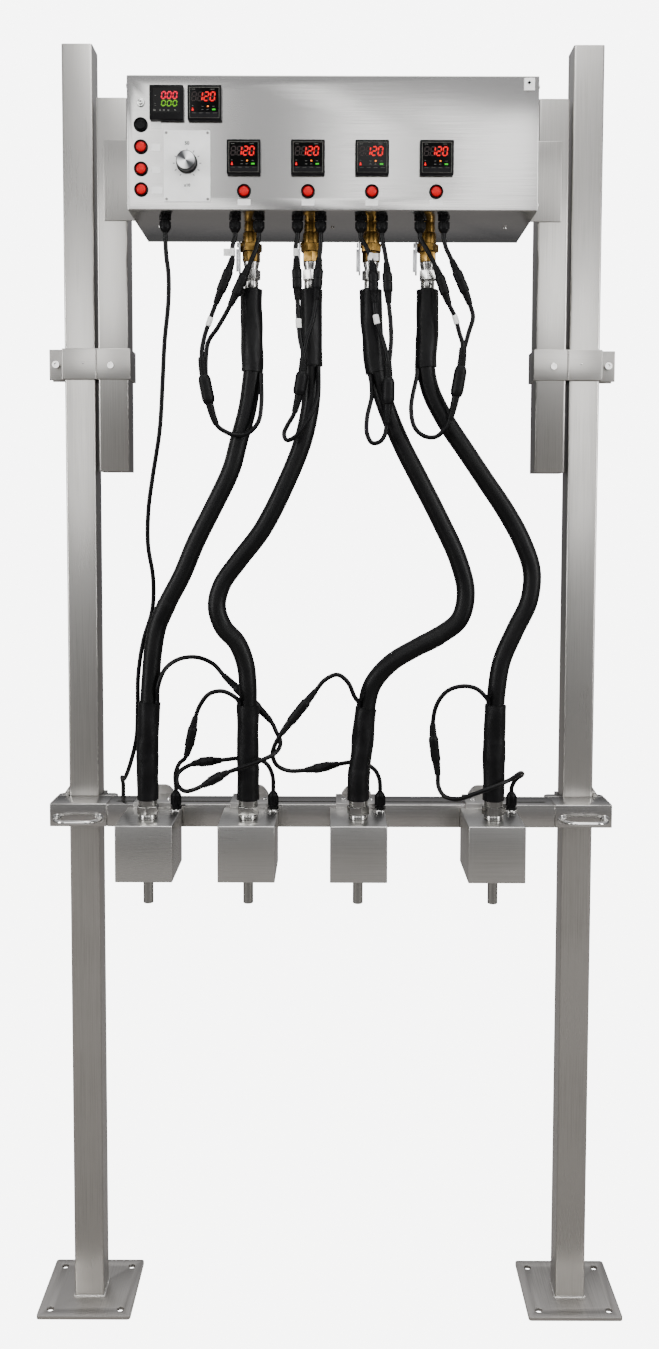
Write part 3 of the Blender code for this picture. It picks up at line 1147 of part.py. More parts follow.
def handle_points(middle):
    """A pull handle as one round bar with a flat foot at each end: out from one foot,
    round, across, and back to the other."""
    seat = BEAM_FRONT - FIT_GAP
    far = BEAM_FRONT - HANDLE_STANDOFF
    bend = HANDLE_BEND_RADIUS
    z = BEAM_TOP - HANDLE_BELOW_BEAM_TOP
    foot, bar = HANDLE_FOOT_RADIUS, HANDLE_BAR_RADIUS
    stations = [(seat, foot), (seat - HANDLE_FOOT_THICKNESS, foot),
                (seat - HANDLE_FOOT_THICKNESS - FIT_GAP, bar)]
    left, right = middle - HANDLE_HALF_SPAN, middle + HANDLE_HALF_SPAN
    points = [Vector((left, y, z)) for y, _ in stations]
    radii = [radius for _, radius in stations]
    for end, first in ((-1, 180), (1, 270)):
        cx = middle + end * (HANDLE_HALF_SPAN - bend)
        for k in range(HANDLE_BEND_STEPS + 1):
            angle = math.radians(first + 90 * k / HANDLE_BEND_STEPS)
            points.append(Vector((cx + bend * math.cos(angle),
                                  far + bend + bend * math.sin(angle), z)))
            radii.append(bar)
    points += [Vector((right, y, z)) for y, _ in reversed(stations)]
    radii += [radius for _, radius in reversed(stations)]
    return points, radii


def build_head(index, x, steel, silver, beam_holder):
    """A heated head: a folded steel box welded to a hanger that hooks over the beam,
    with the block, nozzle and hose fitting through it."""
    number = index + 1
    half = HEAD_WIDTH / 2
    holder = carriage(f"head_{number}_carriage", (x, SLOT_Y, BEAM_TOP), beam_holder)
    place = Vector((x, SLOT_Y, BEAM_TOP))
    bm = bmesh.new()
    add_box(bm, (x - half, HEAD_FRONT, HEAD_BOTTOM), (x + half, HEAD_BACK, HEAD_TOP))
    housing = solid(f"head_{number}_housing", bm, steel, holder, place)
    cut = bmesh.new()
    add_box(cut, (x - half + HEAD_WALL, HEAD_FRONT + HEAD_WALL, HEAD_BOTTOM + HEAD_WALL),
            (x + half - HEAD_WALL, HEAD_BACK - HEAD_WALL, HEAD_TOP - HEAD_WALL))
    run = HEAD_WALL + CUT_OVERRUN
    for spot, radius in (((x, HEAD_AXIS_Y, HEAD_TOP - HEAD_WALL), NECK_RADIUS + NECK_CLEARANCE),
                         ((x, HEAD_AXIS_Y, HEAD_BOTTOM), NOZZLE_RADIUS + NOZZLE_CLEARANCE)):
        tool = bmesh.new()
        add_turned(tool, spot, (0, 0, 1), ((radius, -CUT_OVERRUN), (radius, run)), SMALL_SIDES)
        combine(housing, tool, "DIFFERENCE")
    combine(housing, cut, "DIFFERENCE")

    top_low = BEAM_TOP + FIT_GAP
    top_high = top_low + HANGER_THICKNESS
    hook_in = BEAM_BACK + FIT_GAP
    hook_out = hook_in + HANGER_THICKNESS
    side_view = [(HEAD_BACK - HEAD_WALL / 2, HEAD_BOTTOM), (HANGER_LEG_BACK, HEAD_BOTTOM),
                 (HANGER_LEG_BACK, top_low), (hook_in, top_low),
                 (hook_in, BEAM_TOP - HANGER_HOOK_DEPTH), (hook_out, BEAM_TOP - HANGER_HOOK_DEPTH),
                 (hook_out, top_high), (HEAD_BACK - HEAD_WALL / 2, top_high)]
    bm = bmesh.new()
    add_prism(bm, side_view, x - HANGER_WIDTH / 2, x + HANGER_WIDTH / 2, axis="x")
    combine(housing, bm, "UNION")
    bm = bmesh.new()
    gusset = [(x - HANGER_GUSSET_BASE / 2, top_high - HANGER_THICKNESS / 2),
              (x + HANGER_GUSSET_BASE / 2, top_high - HANGER_THICKNESS / 2),
              (x + HANGER_GUSSET_TOP / 2, top_high + HANGER_GUSSET_RISE),
              (x - HANGER_GUSSET_TOP / 2, top_high + HANGER_GUSSET_RISE)]
    add_prism(bm, gusset, hook_in + FIT_GAP, hook_out - FIT_GAP, axis="y")
    combine(housing, bm, "UNION")
    bm = bmesh.new()
    screw_top = top_high + HANGER_SCREW_HEAD_HEIGHT
    nut_top = BEAM_TOP - BEAM_WALL - FIT_GAP
    for end in SIDES:
        add_turned(bm, (x + end * HANGER_SCREW_HALF_SPACING, SLOT_Y, screw_top), (0, 0, -1),
                   ((HANGER_SCREW_HEAD_RADIUS, 0), (HANGER_SCREW_HEAD_RADIUS, screw_top - top_high
                                                    + HANGER_THICKNESS / 2),
                    (HANGER_SCREW_RADIUS, screw_top - top_high + HANGER_THICKNESS / 2),
                    (HANGER_SCREW_RADIUS, screw_top - nut_top),
                    (HANGER_NUT_RADIUS, screw_top - nut_top),
                    (HANGER_NUT_RADIUS, screw_top - nut_top + HANGER_NUT_HEIGHT)), TINY_SIDES)
    add_turned(bm, (x + HEAD_GLAND_SIDE, HEAD_GLAND_Y, HEAD_TOP), (0, 0, 1),
               gland_profile(HEAD_GLAND_HEIGHT, 0, HEAD_WALL / 2), TINY_SIDES)
    combine(housing, bm, "UNION")

    bm = bmesh.new()
    nozzle_top = HEAD_BOTTOM + CORE_BOTTOM_MARGIN - NOZZLE_BOTTOM
    core_top = HEAD_TOP - HEAD_WALL - FIT_GAP - NOZZLE_BOTTOM
    collar_low = HEAD_TOP + FIT_GAP - NOZZLE_BOTTOM
    collar_top = COLLAR_TOP - NOZZLE_BOTTOM
    hex_top = FITTING_HEX_TOP - NOZZLE_BOTTOM
    top = FITTING_TOP - NOZZLE_BOTTOM
    add_turned(bm, (x, HEAD_AXIS_Y, NOZZLE_BOTTOM), (0, 0, 1),
               ((WAX_BORE_RADIUS, 0), (NOZZLE_RADIUS, 0), (NOZZLE_RADIUS, nozzle_top),
                (CORE_RADIUS, nozzle_top), (CORE_RADIUS, core_top), (NECK_RADIUS, core_top),
                (NECK_RADIUS, collar_low), (COLLAR_RADIUS, collar_low),
                (COLLAR_RADIUS, collar_top), (FITTING_HEX_RADIUS, collar_top + FIT_GAP),
                (FITTING_HEX_RADIUS, hex_top), (FITTING_NUT_RADIUS, hex_top + FIT_GAP),
                (FITTING_NUT_RADIUS, top), (WAX_BORE_RADIUS, top)), SMALL_SIDES, bored=True)
    solid(f"head_{number}_fitting", bm, silver, holder, place)


def hose_run(index):
    """A hose's whole run from the valve's ferrule to the head's fitting, with its
    upper cuff, main run and lower cuff as lengths along it."""
    top = Vector((VALVE_X[index], VALVE_Y, FERRULE_BOTTOM - FIT_GAP))
    bottom = Vector((HEAD_X[index], HEAD_AXIS_Y, FITTING_TOP + FIT_GAP))
    down = Vector((0, 0, -HOSE_DIAMETER))
    dense = smooth_route([top, top + down, *HOSE_ROUTES[index], bottom - down, bottom])
    whole = route_length(dense)
    return dense, (0, UPPER_CUFF_LENGTHS[index], whole - LOWER_CUFF_LENGTHS[index], whole)


def build_hoses(rubber):
    for index in range(len(VALVE_X)):
        dense, marks = hose_run(index)
        points, radii = [], []
        for part, diameter in enumerate((CUFF_DIAMETER, HOSE_DIAMETER, CUFF_DIAMETER)):
            start = marks[part] + (CUFF_EDGE if part else 0)
            some = stretch(dense, start, marks[part + 1], diameter * HOSE_STEP_SHARE)
            points += some
            radii += [diameter / 2] * len(some)
        points[1] = points[0] - UP * (points[1] - points[0]).length
        points[-2] = points[-1] + UP * (points[-1] - points[-2]).length
        tube_curve(f"hose_{index + 1}", points, radii, HOSE_SIDES_LEVEL, rubber)


def beside_hose(index, at_upper_cuff, sides):
    """Where a lead meets a cuff's end beside the hose, and the way out of it."""
    dense, marks = hose_run(index)
    centre, way = place_on(dense, marks[1] + CUFF_EDGE if at_upper_cuff else marks[2])
    away = Vector((sides[0], sides[1], 0))
    away = (away - away.dot(way) * way).normalized()
    reach = HOSE_DIAMETER / 2 + LEAD_DIAMETER / 2 + LEAD_BESIDE_HOSE_GAP
    return centre + away * reach, way if at_upper_cuff else -way


def chain(start, start_way, items, end, end_way):
    """A lead with its connectors as one tube. Items are route points, and connectors
    as pairs of their two ends. Gives points and radii."""
    first = Vector(start) + Vector(start_way) * FIT_GAP
    last = Vector(end) + Vector(end_way) * FIT_GAP
    route = [first, first + Vector(start_way) * LEAD_EXIT_RUN]
    spans = []
    for item in items:
        if len(item) == 2:
            a, b = Vector(item[0]), Vector(item[1])
            spans.append((len(route), len(route) + 1))
            route += [a, b]
        else:
            route.append(Vector(item))
    route += [last + Vector(end_way) * LEAD_EXIT_RUN, last]
    dense = smooth_route(route)
    reached, travelled = [0], 0
    k = 1
    for a, b in zip(dense, dense[1:]):
        travelled += (b - a).length
        if k < len(route) and (b - route[k]).length < FIT_GAP / 3:
            reached.append(travelled)
            k += 1
    marks = [(reached[i], reached[j]) for i, j in spans]
    step = LEAD_DIAMETER * LEAD_STEP_SHARE
    points, radii = [], []
    here = 0
    for low, high in marks + [(travelled, travelled)]:
        some = stretch(dense, here, low, step)
        points += some
        radii += [LEAD_DIAMETER / 2] * len(some)
        if high > low:
            for share, radius in CONNECTOR_STATIONS:
                points.append(place_on(dense, low + (high - low) * share)[0])
                radii.append(radius)
            here = high + CONNECTOR_EDGE
    points[1] = points[0] + Vector(start_way) * (points[1] - points[0]).length
    points[-2] = points[-1] + Vector(end_way) * (points[-1] - points[-2]).length
    return points, radii


def build_upper_leads(rubber):
    """Two leads of each line meet in a joiner, and one goes on to the hose's cuff."""
    for line in range(len(VALVE_X)):
        joiner = UPPER_CONNECTORS[3 * line + 2]
        meet, way = beside_hose(line, True, UPPER_LOOP_SIDES_SHARE[line])
        lead, other = 2 * line, 2 * line + 1
        gland = Vector((GLAND_X[1 + lead], GLAND_Y, GLAND_BOTTOM))
        items = [*UPPER_LEADS_IN[lead], UPPER_CONNECTORS[3 * line], *UPPER_LEADS_OUT[lead],
                 joiner, *UPPER_LOOPS[line]]
        points, radii = chain(gland, -UP, items, meet, way)
        whole = tube_curve(f"line_{line + 1}_leads", points, radii, LEAD_SIDES_LEVEL, rubber)
        gland = Vector((GLAND_X[1 + other], GLAND_Y, GLAND_BOTTOM))
        a, b = (Vector(p) for p in joiner)
        inside = a.lerp(b, JOINER_MEET_SHARE)
        items = [*UPPER_LEADS_IN[other], UPPER_CONNECTORS[3 * line + 1], *UPPER_LEADS_OUT[other]]
        points, radii = chain(gland, -UP, items, inside, (a - b).normalized())
        second = tube_curve("second_lead", points, radii, LEAD_SIDES_LEVEL, rubber)
        join_tubes(whole, second)


def join_tubes(whole, second):
    """Turn two tubes into meshes and join them as one body."""
    bpy.context.view_layer.update()
    graph = bpy.context.evaluated_depsgraph_get()
    name, finish = whole.name, whole.data.materials[0]
    meshes = [bpy.data.meshes.new_from_object(tube.evaluated_get(graph))
              for tube in (whole, second)]
    for tube in (whole, second):
        bpy.data.objects.remove(tube, do_unlink=True)
    joined = bpy.data.objects.new(name, meshes[0])
    bpy.context.scene.collection.objects.link(joined)
    bm = bmesh.new()
    bm.from_mesh(meshes[1])
    combine(joined, bm, "UNION")
    if not joined.data.materials:
        joined.data.materials.append(finish)


def build_lower_leads(rubber):
    for number, (start, end, items) in enumerate(LOWER_LEADS):
        first, first_way = beside_hose(start, False, LOWER_LEAD_SIDES_SHARE[start])
        gland = Vector((HEAD_X[end] + HEAD_GLAND_SIDE, HEAD_GLAND_Y, HEAD_GLAND_TOP))
        points, radii = chain(first, first_way, items, gland, UP)
        tube_curve(f"head_{number + 1}_lead", points, radii, LEAD_SIDES_LEVEL, rubber)


def build_long_cable(rubber):
    gland = Vector((GLAND_X[0], GLAND_Y, GLAND_BOTTOM))
    end = Vector((CABLE_GLAND_X, BEAM_BACK + CABLE_GLAND_SIZE / 2,
                  BEAM_TOP - CABLE_GLAND_BELOW_BEAM_TOP))
    points, radii = chain(gland, -UP, LONG_CABLE, end, UP)
    tube_curve("long_cable", points, radii, LEAD_SIDES_LEVEL, rubber)


def build():
    clear_scene()
    steel = material("brushed stainless steel", "#B3B1AD", 0.32, 1)
    silver = material("bright stainless steel", "#CFCFCD", 0.18, 1)
    brass = material("brass", "#B08A45", 0.3, 1)
    aluminium = material("machined aluminium", "#B9BBBD", 0.35, 1)
    rubber = material("black heat-shrink", "#161617", 0.55, 0)
    black = material("black nylon", "#1A1A1B", 0.5, 0)
    dark = material("dark moulded plastic", "#202123", 0.45, 0)
    red = material("lit red plastic", "#D0202A", 0.3, 0)
    white = material("white plastic plate", "#E9E9E6", 0.5, 0)
    lever_grey = material("zinc-plated lever", "#9C9D9B", 0.35, 1)

    build_stand(steel)
    build_mount_tubes(steel)
    build_clamps(steel)
    build_cabinet(steel)
    build_controllers(dark)
    build_switches(black, red)
    build_dial(white, silver, dark)
    build_cabinet_inside(aluminium, dark)
    build_underside(black, brass, lever_grey)
    beam_holder = carriage("beam_carriage", (0, POST_MIDDLE, BEAM_TOP))
    build_beam(steel, black, silver, beam_holder)
    for index, x in enumerate(HEAD_X):
        build_head(index, x, steel, silver, beam_holder)
    build_hoses(rubber)
    build_upper_leads(rubber)
    build_lower_leads(rubber)
    build_long_cable(rubber)


build()
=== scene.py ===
# Wax filling machine: a two-post stand, a control cabinet, four heated hoses and four
# heated filling heads on a beam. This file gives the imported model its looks.
# Metres, +Z up, the front of the machine towards -Y.
import math

import bmesh
import bpy
from mathutils import Matrix, Vector, noise


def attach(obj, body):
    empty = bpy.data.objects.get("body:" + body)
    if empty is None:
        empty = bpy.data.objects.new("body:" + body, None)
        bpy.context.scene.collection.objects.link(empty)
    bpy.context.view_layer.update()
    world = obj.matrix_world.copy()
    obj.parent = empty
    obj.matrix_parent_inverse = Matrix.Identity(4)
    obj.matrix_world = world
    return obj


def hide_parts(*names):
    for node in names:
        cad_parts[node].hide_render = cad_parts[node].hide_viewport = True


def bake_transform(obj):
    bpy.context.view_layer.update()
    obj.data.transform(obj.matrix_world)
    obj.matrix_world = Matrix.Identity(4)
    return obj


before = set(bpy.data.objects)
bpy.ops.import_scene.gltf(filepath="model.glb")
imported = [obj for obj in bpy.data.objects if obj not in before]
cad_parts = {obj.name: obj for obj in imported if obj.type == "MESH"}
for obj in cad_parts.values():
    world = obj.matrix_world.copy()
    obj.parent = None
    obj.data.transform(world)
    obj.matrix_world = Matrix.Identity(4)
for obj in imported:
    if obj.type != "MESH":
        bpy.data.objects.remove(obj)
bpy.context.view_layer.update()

# Studio: the camera that took the photograph, a pale floor and soft light. The camera
# stands 2 m ahead of the posts at chest height and looks slightly down. Only the camera
# sees the white wall and floor; metal and plastic reflect their greyer glow.
PHOTO_WIDTH, PHOTO_HEIGHT = 659, 1349
FOCAL_PIXELS = 1209
AXIS_PIXEL = (331.5, 602)
CAMERA_PLACE = (0, -1.971, 1.350)
CAMERA_PITCH, CAMERA_ROLL = -3.65, 0.16
WALL_GLOW = 0.62
WALL_WHITE, FLOOR_WHITE = 7.0, 7.3


def linear(hex_colour):
    """Turn an sRGB hex colour into linear values, with full alpha."""
    values = [int(hex_colour[i:i + 2], 16) / 255 for i in (1, 3, 5)]
    return tuple(v / 12.92 if v <= 0.04045 else ((v + 0.055) / 1.055) ** 2.4
                 for v in values) + (1,)


def add_node(tree, kind, links=None, values=None, **settings):
    """Add a node with its settings, its sockets' values and its links."""
    made = tree.nodes.new(kind)
    for key, value in settings.items():
        setattr(made, key, value)
    for key, value in (values or {}).items():
        made.inputs[key].default_value = value
    for key, source in (links or {}).items():
        tree.links.new(source, made.inputs[key])
    return made


lens = bpy.data.cameras.new("camera")
lens.sensor_fit = "VERTICAL"
lens.sensor_height = 36
lens.lens = lens.sensor_height * FOCAL_PIXELS / PHOTO_HEIGHT
lens.shift_x = (PHOTO_WIDTH / 2 - AXIS_PIXEL[0]) / PHOTO_HEIGHT
lens.shift_y = (AXIS_PIXEL[1] - PHOTO_HEIGHT / 2) / PHOTO_HEIGHT
camera = bpy.data.objects.new("camera", lens)
camera.matrix_world = (Matrix.Translation(CAMERA_PLACE)
                       @ Matrix.Rotation(math.radians(90 + CAMERA_PITCH), 4, "X")
                       @ Matrix.Rotation(math.radians(CAMERA_ROLL), 4, "Z"))
bpy.context.scene.collection.objects.link(camera)
bpy.context.scene.camera = camera

world = bpy.data.worlds.new("studio")
bpy.context.scene.world = world
world.use_nodes = True
sky = world.node_tree
sky.nodes.clear()
where = add_node(sky, "ShaderNodeTexCoord")
way = add_node(sky, "ShaderNodeSeparateXYZ", {"Vector": where.outputs["Generated"]})
level = add_node(sky, "ShaderNodeValToRGB", {"Fac": way.outputs["Y"]})
level.color_ramp.elements[0].position = 0.0
level.color_ramp.elements[0].color = linear("#B4B4B6")
level.color_ramp.elements[1].position = 0.7
level.color_ramp.elements[1].color = linear("#7C7C7E")
upward = add_node(sky, "ShaderNodeMapRange", {"Value": way.outputs["Z"]},
                  {"From Min": 0.15, "From Max": 0.7})
shade = add_node(sky, "ShaderNodeMixRGB",
                 {"Fac": upward.outputs["Result"], "Color1": level.outputs["Color"]},
                 {"Color2": (1.3, 1.3, 1.33, 1)})
glow = add_node(sky, "ShaderNodeBackground", {"Color": shade.outputs["Color"]},
                {"Strength": WALL_GLOW})
white = add_node(sky, "ShaderNodeBackground", None,
                 {"Color": (1, 1, 1, 1), "Strength": WALL_WHITE})
kind_of_ray = add_node(sky, "ShaderNodeLightPath")
mixed = add_node(sky, "ShaderNodeMixShader",
                 {0: kind_of_ray.outputs["Is Camera Ray"], 1: glow.outputs[0],
                  2: white.outputs[0]})
add_node(sky, "ShaderNodeOutputWorld", {"Surface": mixed.outputs[0]})


def add_light(name, place, target, size, power):
    """A soft rectangular studio light that faces a target."""
    data = bpy.data.lights.new(name, "AREA")
    data.shape = "RECTANGLE"
    data.size, data.size_y = size
    data.energy = power
    light = bpy.data.objects.new(name, data)
    towards = Vector(target) - Vector(place)
    light.matrix_world = (Matrix.Translation(place)
                          @ towards.to_track_quat("-Z", "Y").to_matrix().to_4x4())
    bpy.context.scene.collection.objects.link(light)


add_light("front_left_soft_light", (-1.05, -3.0, 2.45), (0, 0, 1.5), (1.0, 1.6), 17)
add_light("front_middle_soft_light", (0.14, -3.1, 2.55), (0, 0, 1.5), (0.26, 1.4), 5)
add_light("front_right_soft_light", (1.02, -3.0, 2.45), (0, 0, 1.5), (1.1, 1.6), 19)
add_light("right_soft_light", (2.8, -1.8, 2.0), (0, 0, 1.2), (0.9, 2.2), 85)
add_light("left_soft_light", (-2.8, -1.6, 1.9), (0, 0, 1.2), (0.9, 2.2), 80)
add_light("top_soft_light", (0.2, -0.6, 3.8), (0, 0, 1.0), (2.2, 1.6), 70)

floor_mesh = bpy.data.meshes.new("floor")
floor_mesh.from_pydata([(-12, -6, 0), (12, -6, 0), (12, 14, 0), (-12, 14, 0)], [], [(0, 1, 2, 3)])
floor = bpy.data.objects.new("floor", floor_mesh)
bpy.context.scene.collection.objects.link(floor)
paint = bpy.data.materials.new("pale studio floor")
paint.use_nodes = True
shader = paint.node_tree.nodes["Principled BSDF"]
grain = add_node(paint.node_tree, "ShaderNodeTexNoise", None, {"Scale": 3.0, "Detail": 4.0})
tone = add_node(paint.node_tree, "ShaderNodeValToRGB", {"Fac": grain.outputs["Fac"]})
tone.color_ramp.elements[0].color = linear("#F9F9F8")
tone.color_ramp.elements[1].color = linear("#FDFDFC")
shader.inputs["Base Color"].default_value = linear("#8C8986")
shader.inputs["Roughness"].default_value = 0.9
seen = add_node(paint.node_tree, "ShaderNodeLightPath")
bright = add_node(paint.node_tree, "ShaderNodeEmission", {"Color": tone.outputs["Color"]},
                  {"Strength": FLOOR_WHITE})
blend = add_node(paint.node_tree, "ShaderNodeMixShader",
                 {0: seen.outputs["Is Camera Ray"], 1: shader.outputs["BSDF"],
                  2: bright.outputs["Emission"]})
paint.node_tree.links.new(blend.outputs["Shader"],
                          paint.node_tree.nodes["Material Output"].inputs["Surface"])
floor_mesh.materials.append(paint)


# Posts: 2 in square stainless tube, brushed along its length, welded to a square base
# plate with four anchor holes and closed at the top with a welded cap.
POST_SIDE = 0.0508
POST_CORNER = 0.0032
POST_X = 0.4191
POST_FRONT = 0.05695
POST_MIDDLE = POST_FRONT + POST_SIDE / 2
STAND_HEIGHT = 2.1336
PLATE_SIDE = 0.160
PLATE_THICKNESS = 0.00635
PLATE_HOLE_SPACING, PLATE_HOLE_RADIUS = 0.120, 0.006
WELD_BEAD = 0.0026
GAP = 0.0003


def brushed_stainless(name, along, low="#9D9B97", high="#B3B1AD", rough=(0.24, 0.36)):
    """Stainless steel sheet or tube with a fine brushed grain along one direction. The
    real scratches are 0.1 mm apart, drawn here as 1 mm streaks so that they show."""
    made = bpy.data.materials.new(name)
    made.use_nodes = True
    tree = made.node_tree
    shader = tree.nodes["Principled BSDF"]
    shader.inputs["Metallic"].default_value = 1
    spot = add_node(tree, "ShaderNodeTexCoord")
    stretch = [900.0, 900.0, 900.0]
    stretch["XYZ".index(along)] = 9.0
    lay = add_node(tree, "ShaderNodeMapping", {"Vector": spot.outputs["Object"]},
                   {"Scale": stretch})
    streak = add_node(tree, "ShaderNodeTexNoise", {"Vector": lay.outputs["Vector"]},
                      {"Scale": 1.0, "Detail": 3.0, "Roughness": 0.65})
    cloud = add_node(tree, "ShaderNodeTexNoise", {"Vector": spot.outputs["Object"]},
                     {"Scale": 5.0, "Detail": 3.0, "Roughness": 0.5})
    mixed = add_node(tree, "ShaderNodeMath",
                     {0: streak.outputs["Fac"], 1: cloud.outputs["Fac"]}, operation="ADD")
    colour = add_node(tree, "ShaderNodeValToRGB", {"Fac": mixed.outputs[0]})
    colour.color_ramp.elements[0].position = 0.60
    colour.color_ramp.elements[0].color = linear(low)
    colour.color_ramp.elements[1].position = 1.40
    colour.color_ramp.elements[1].color = linear(high)
    tree.links.new(colour.outputs["Color"], shader.inputs["Base Color"])
    dull = add_node(tree, "ShaderNodeMapRange", {"Value": mixed.outputs[0]},
                    {"From Min": 0.4, "From Max": 1.6, "To Min": rough[1], "To Max": rough[0]})
    tree.links.new(dull.outputs["Result"], shader.inputs["Roughness"])
    relief = add_node(tree, "ShaderNodeBump", {"Height": streak.outputs["Fac"]},
                      {"Strength": 0.03, "Distance": 0.0001})
    tree.links.new(relief.outputs["Normal"], shader.inputs["Normal"])
    return made


def box(bm, low, high):
    """Add a box to a mesh."""
    x, y, z = zip(low, high)
    corners = [bm.verts.new((x[i], y[j], z[k])) for k in (0, 1) for j in (0, 1) for i in (0, 1)]
    for face in ((0, 2, 3, 1), (4, 5, 7, 6), (0, 1, 5, 4), (2, 6, 7, 3), (0, 4, 6, 2),
                 (1, 3, 7, 5)):
        bm.faces.new([corners[i] for i in face])


def prism(bm, outline, start, end, axis="Z"):
    """Extrude a closed outline along an axis."""
    def spot(a, b, h):
        return {"X": (h, a, b), "Y": (a, h, b), "Z": (a, b, h)}[axis]
    lower = [bm.verts.new(spot(a, b, start)) for a, b in outline]
    upper = [bm.verts.new(spot(a, b, end)) for a, b in outline]
    for i in range(len(outline)):
        j = (i + 1) % len(outline)
        bm.faces.new((lower[i], lower[j], upper[j], upper[i]))
    bm.faces.new(list(reversed(lower)))
    bm.faces.new(upper)


def round_corners(outline, radius, steps=5):
    """Replace the corners of an outline with arcs."""
    out = []
    for before, here, after in zip(outline[-1:] + outline[:-1], outline, outline[1:] + outline[:1]):
        p, a, b = Vector(here), Vector(before), Vector(after)
        r = min(radius, (a - p).length / 2.01, (b - p).length / 2.01)
        start, end = p + (a - p).normalized() * r, p + (b - p).normalized() * r
        for k in range(steps + 1):
            t = k / steps
            out.append(tuple(start * (1 - t) ** 2 + p * 2 * t * (1 - t) + end * t * t))
    return out


def rectangle(centre, width, depth):
    x, y = centre
    return [(x - width / 2, y - depth / 2), (x + width / 2, y - depth / 2),
            (x + width / 2, y + depth / 2), (x - width / 2, y + depth / 2)]


def turned(bm, start, direction, profile, sides=32, ring=False):
    """Turn a profile of (radius, height) round an axis, with closed ends, or as a ring
    whose last radius joins its first."""
    axis = Vector(direction).normalized()
    side = Vector((1, 0, 0)) if abs(axis.x) < 0.5 else Vector((0, 0, 1))
    other = axis.cross(side)
    rings = []
    for radius, height in profile:
        rings.append([bm.verts.new(Vector(start) + axis * height + radius
                                   * (side * math.cos(math.tau * i / sides)
                                      + other * math.sin(math.tau * i / sides)))
                      for i in range(sides)])
    for a, b in zip(rings, rings[1:] + (rings[:1] if ring else [])):
        for i in range(sides):
            j = (i + 1) % sides
            bm.faces.new((a[i], a[j], b[j], b[i]))
    if not ring:
        bm.faces.new(list(reversed(rings[0])))
        bm.faces.new(rings[-1])


def soften(bm, width, segments=2, angle=25):
    """Round every sharp edge of a mesh."""
    bmesh.ops.remove_doubles(bm, verts=bm.verts, dist=1e-6)
    bmesh.ops.recalc_face_normals(bm, faces=bm.faces)
    sharp = [e for e in bm.edges
             if len(e.link_faces) == 2 and e.calc_face_angle() > math.radians(angle)]
    bmesh.ops.bevel(bm, geom=sharp, offset=width, segments=segments, profile=0.5,
                    affect="EDGES", clamp_overlap=True)


def cut_holes(bm, cutter):
    """Cut one mesh with another, and give back the mesh that is left."""
    things = []
    for source in (bm, cutter):
        bmesh.ops.recalc_face_normals(source, faces=source.faces)
        mesh = bpy.data.meshes.new("blank")
        source.to_mesh(mesh)
        source.free()
        things.append(bpy.data.objects.new("blank", mesh))
        bpy.context.scene.collection.objects.link(things[-1])
    change = things[0].modifiers.new("cut", "BOOLEAN")
    change.operation, change.solver, change.object = "DIFFERENCE", "EXACT", things[1]
    bpy.context.view_layer.update()
    made = things[0].evaluated_get(bpy.context.evaluated_depsgraph_get()).to_mesh()
    left = bmesh.new()
    left.from_mesh(made)
    for thing in things:
        bpy.data.objects.remove(thing, do_unlink=True)
    return left


def add_piece(name, source, finish, body, *stands_for, angle=35):
    """Make a finished piece of a mesh, ride it on its body, and hide what it replaces."""
    if isinstance(source, bmesh.types.BMesh):
        bmesh.ops.remove_doubles(source, verts=source.verts, dist=1e-6)
        bmesh.ops.recalc_face_normals(source, faces=source.faces)
        mesh = bpy.data.meshes.new(name)
        source.to_mesh(mesh)
        source.free()
    else:
        mesh = source
    mesh.name = name
    mesh.shade_smooth()
    mesh.set_sharp_from_angle(angle=math.radians(angle))
    if mesh.materials:
        mesh.materials.clear()
    mesh.materials.append(finish)
    made = bpy.data.objects.new(name, mesh)
    bpy.context.scene.collection.objects.link(made)
    if body:
        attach(made, body)
    if stands_for:
        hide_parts(*stands_for)
    return made


def new_tree(name, *sockets):
    """A geometry tree with named inputs, and its group input and output nodes."""
    tree = bpy.data.node_groups.new(name, "GeometryNodeTree")
    tree.interface.new_socket("Geometry", in_out="INPUT", socket_type="NodeSocketGeometry")
    for socket, kind, value in sockets:
        made = tree.interface.new_socket(socket, in_out="INPUT", socket_type="NodeSocket" + kind)
        if value is not None:
            made.default_value = value
    tree.interface.new_socket("Geometry", in_out="OUTPUT", socket_type="NodeSocketGeometry")
    return tree, add_node(tree, "NodeGroupInput")


def end_tree(tree, given, shapes):
    """Realise a tree's instances, give them the finish, and send them out."""
    real = add_node(tree, "GeometryNodeRealizeInstances", {"Geometry": shapes})
    dressed = add_node(tree, "GeometryNodeSetMaterial",
                       {"Geometry": real.outputs["Geometry"], "Material": given.outputs["Finish"]})
    add_node(tree, "NodeGroupOutput", {"Geometry": dressed.outputs["Geometry"]})


def grow(tree, base, **values):
    """Run a geometry tree on a mesh and keep what comes out as a plain mesh."""
    holder = bpy.data.objects.new("holder", base)
    bpy.context.scene.collection.objects.link(holder)
    change = holder.modifiers.new("grow", "NODES")
    change.node_group = tree
    for socket in tree.interface.items_tree:
        if socket.in_out == "INPUT" and socket.name.replace(" ", "_") in values:
            change[socket.identifier] = values[socket.name.replace(" ", "_")]
    bpy.context.view_layer.update()
    graph = bpy.context.evaluated_depsgraph_get()
    mesh = bpy.data.meshes.new_from_object(holder.evaluated_get(graph))
    bpy.data.objects.remove(holder, do_unlink=True)
    return mesh


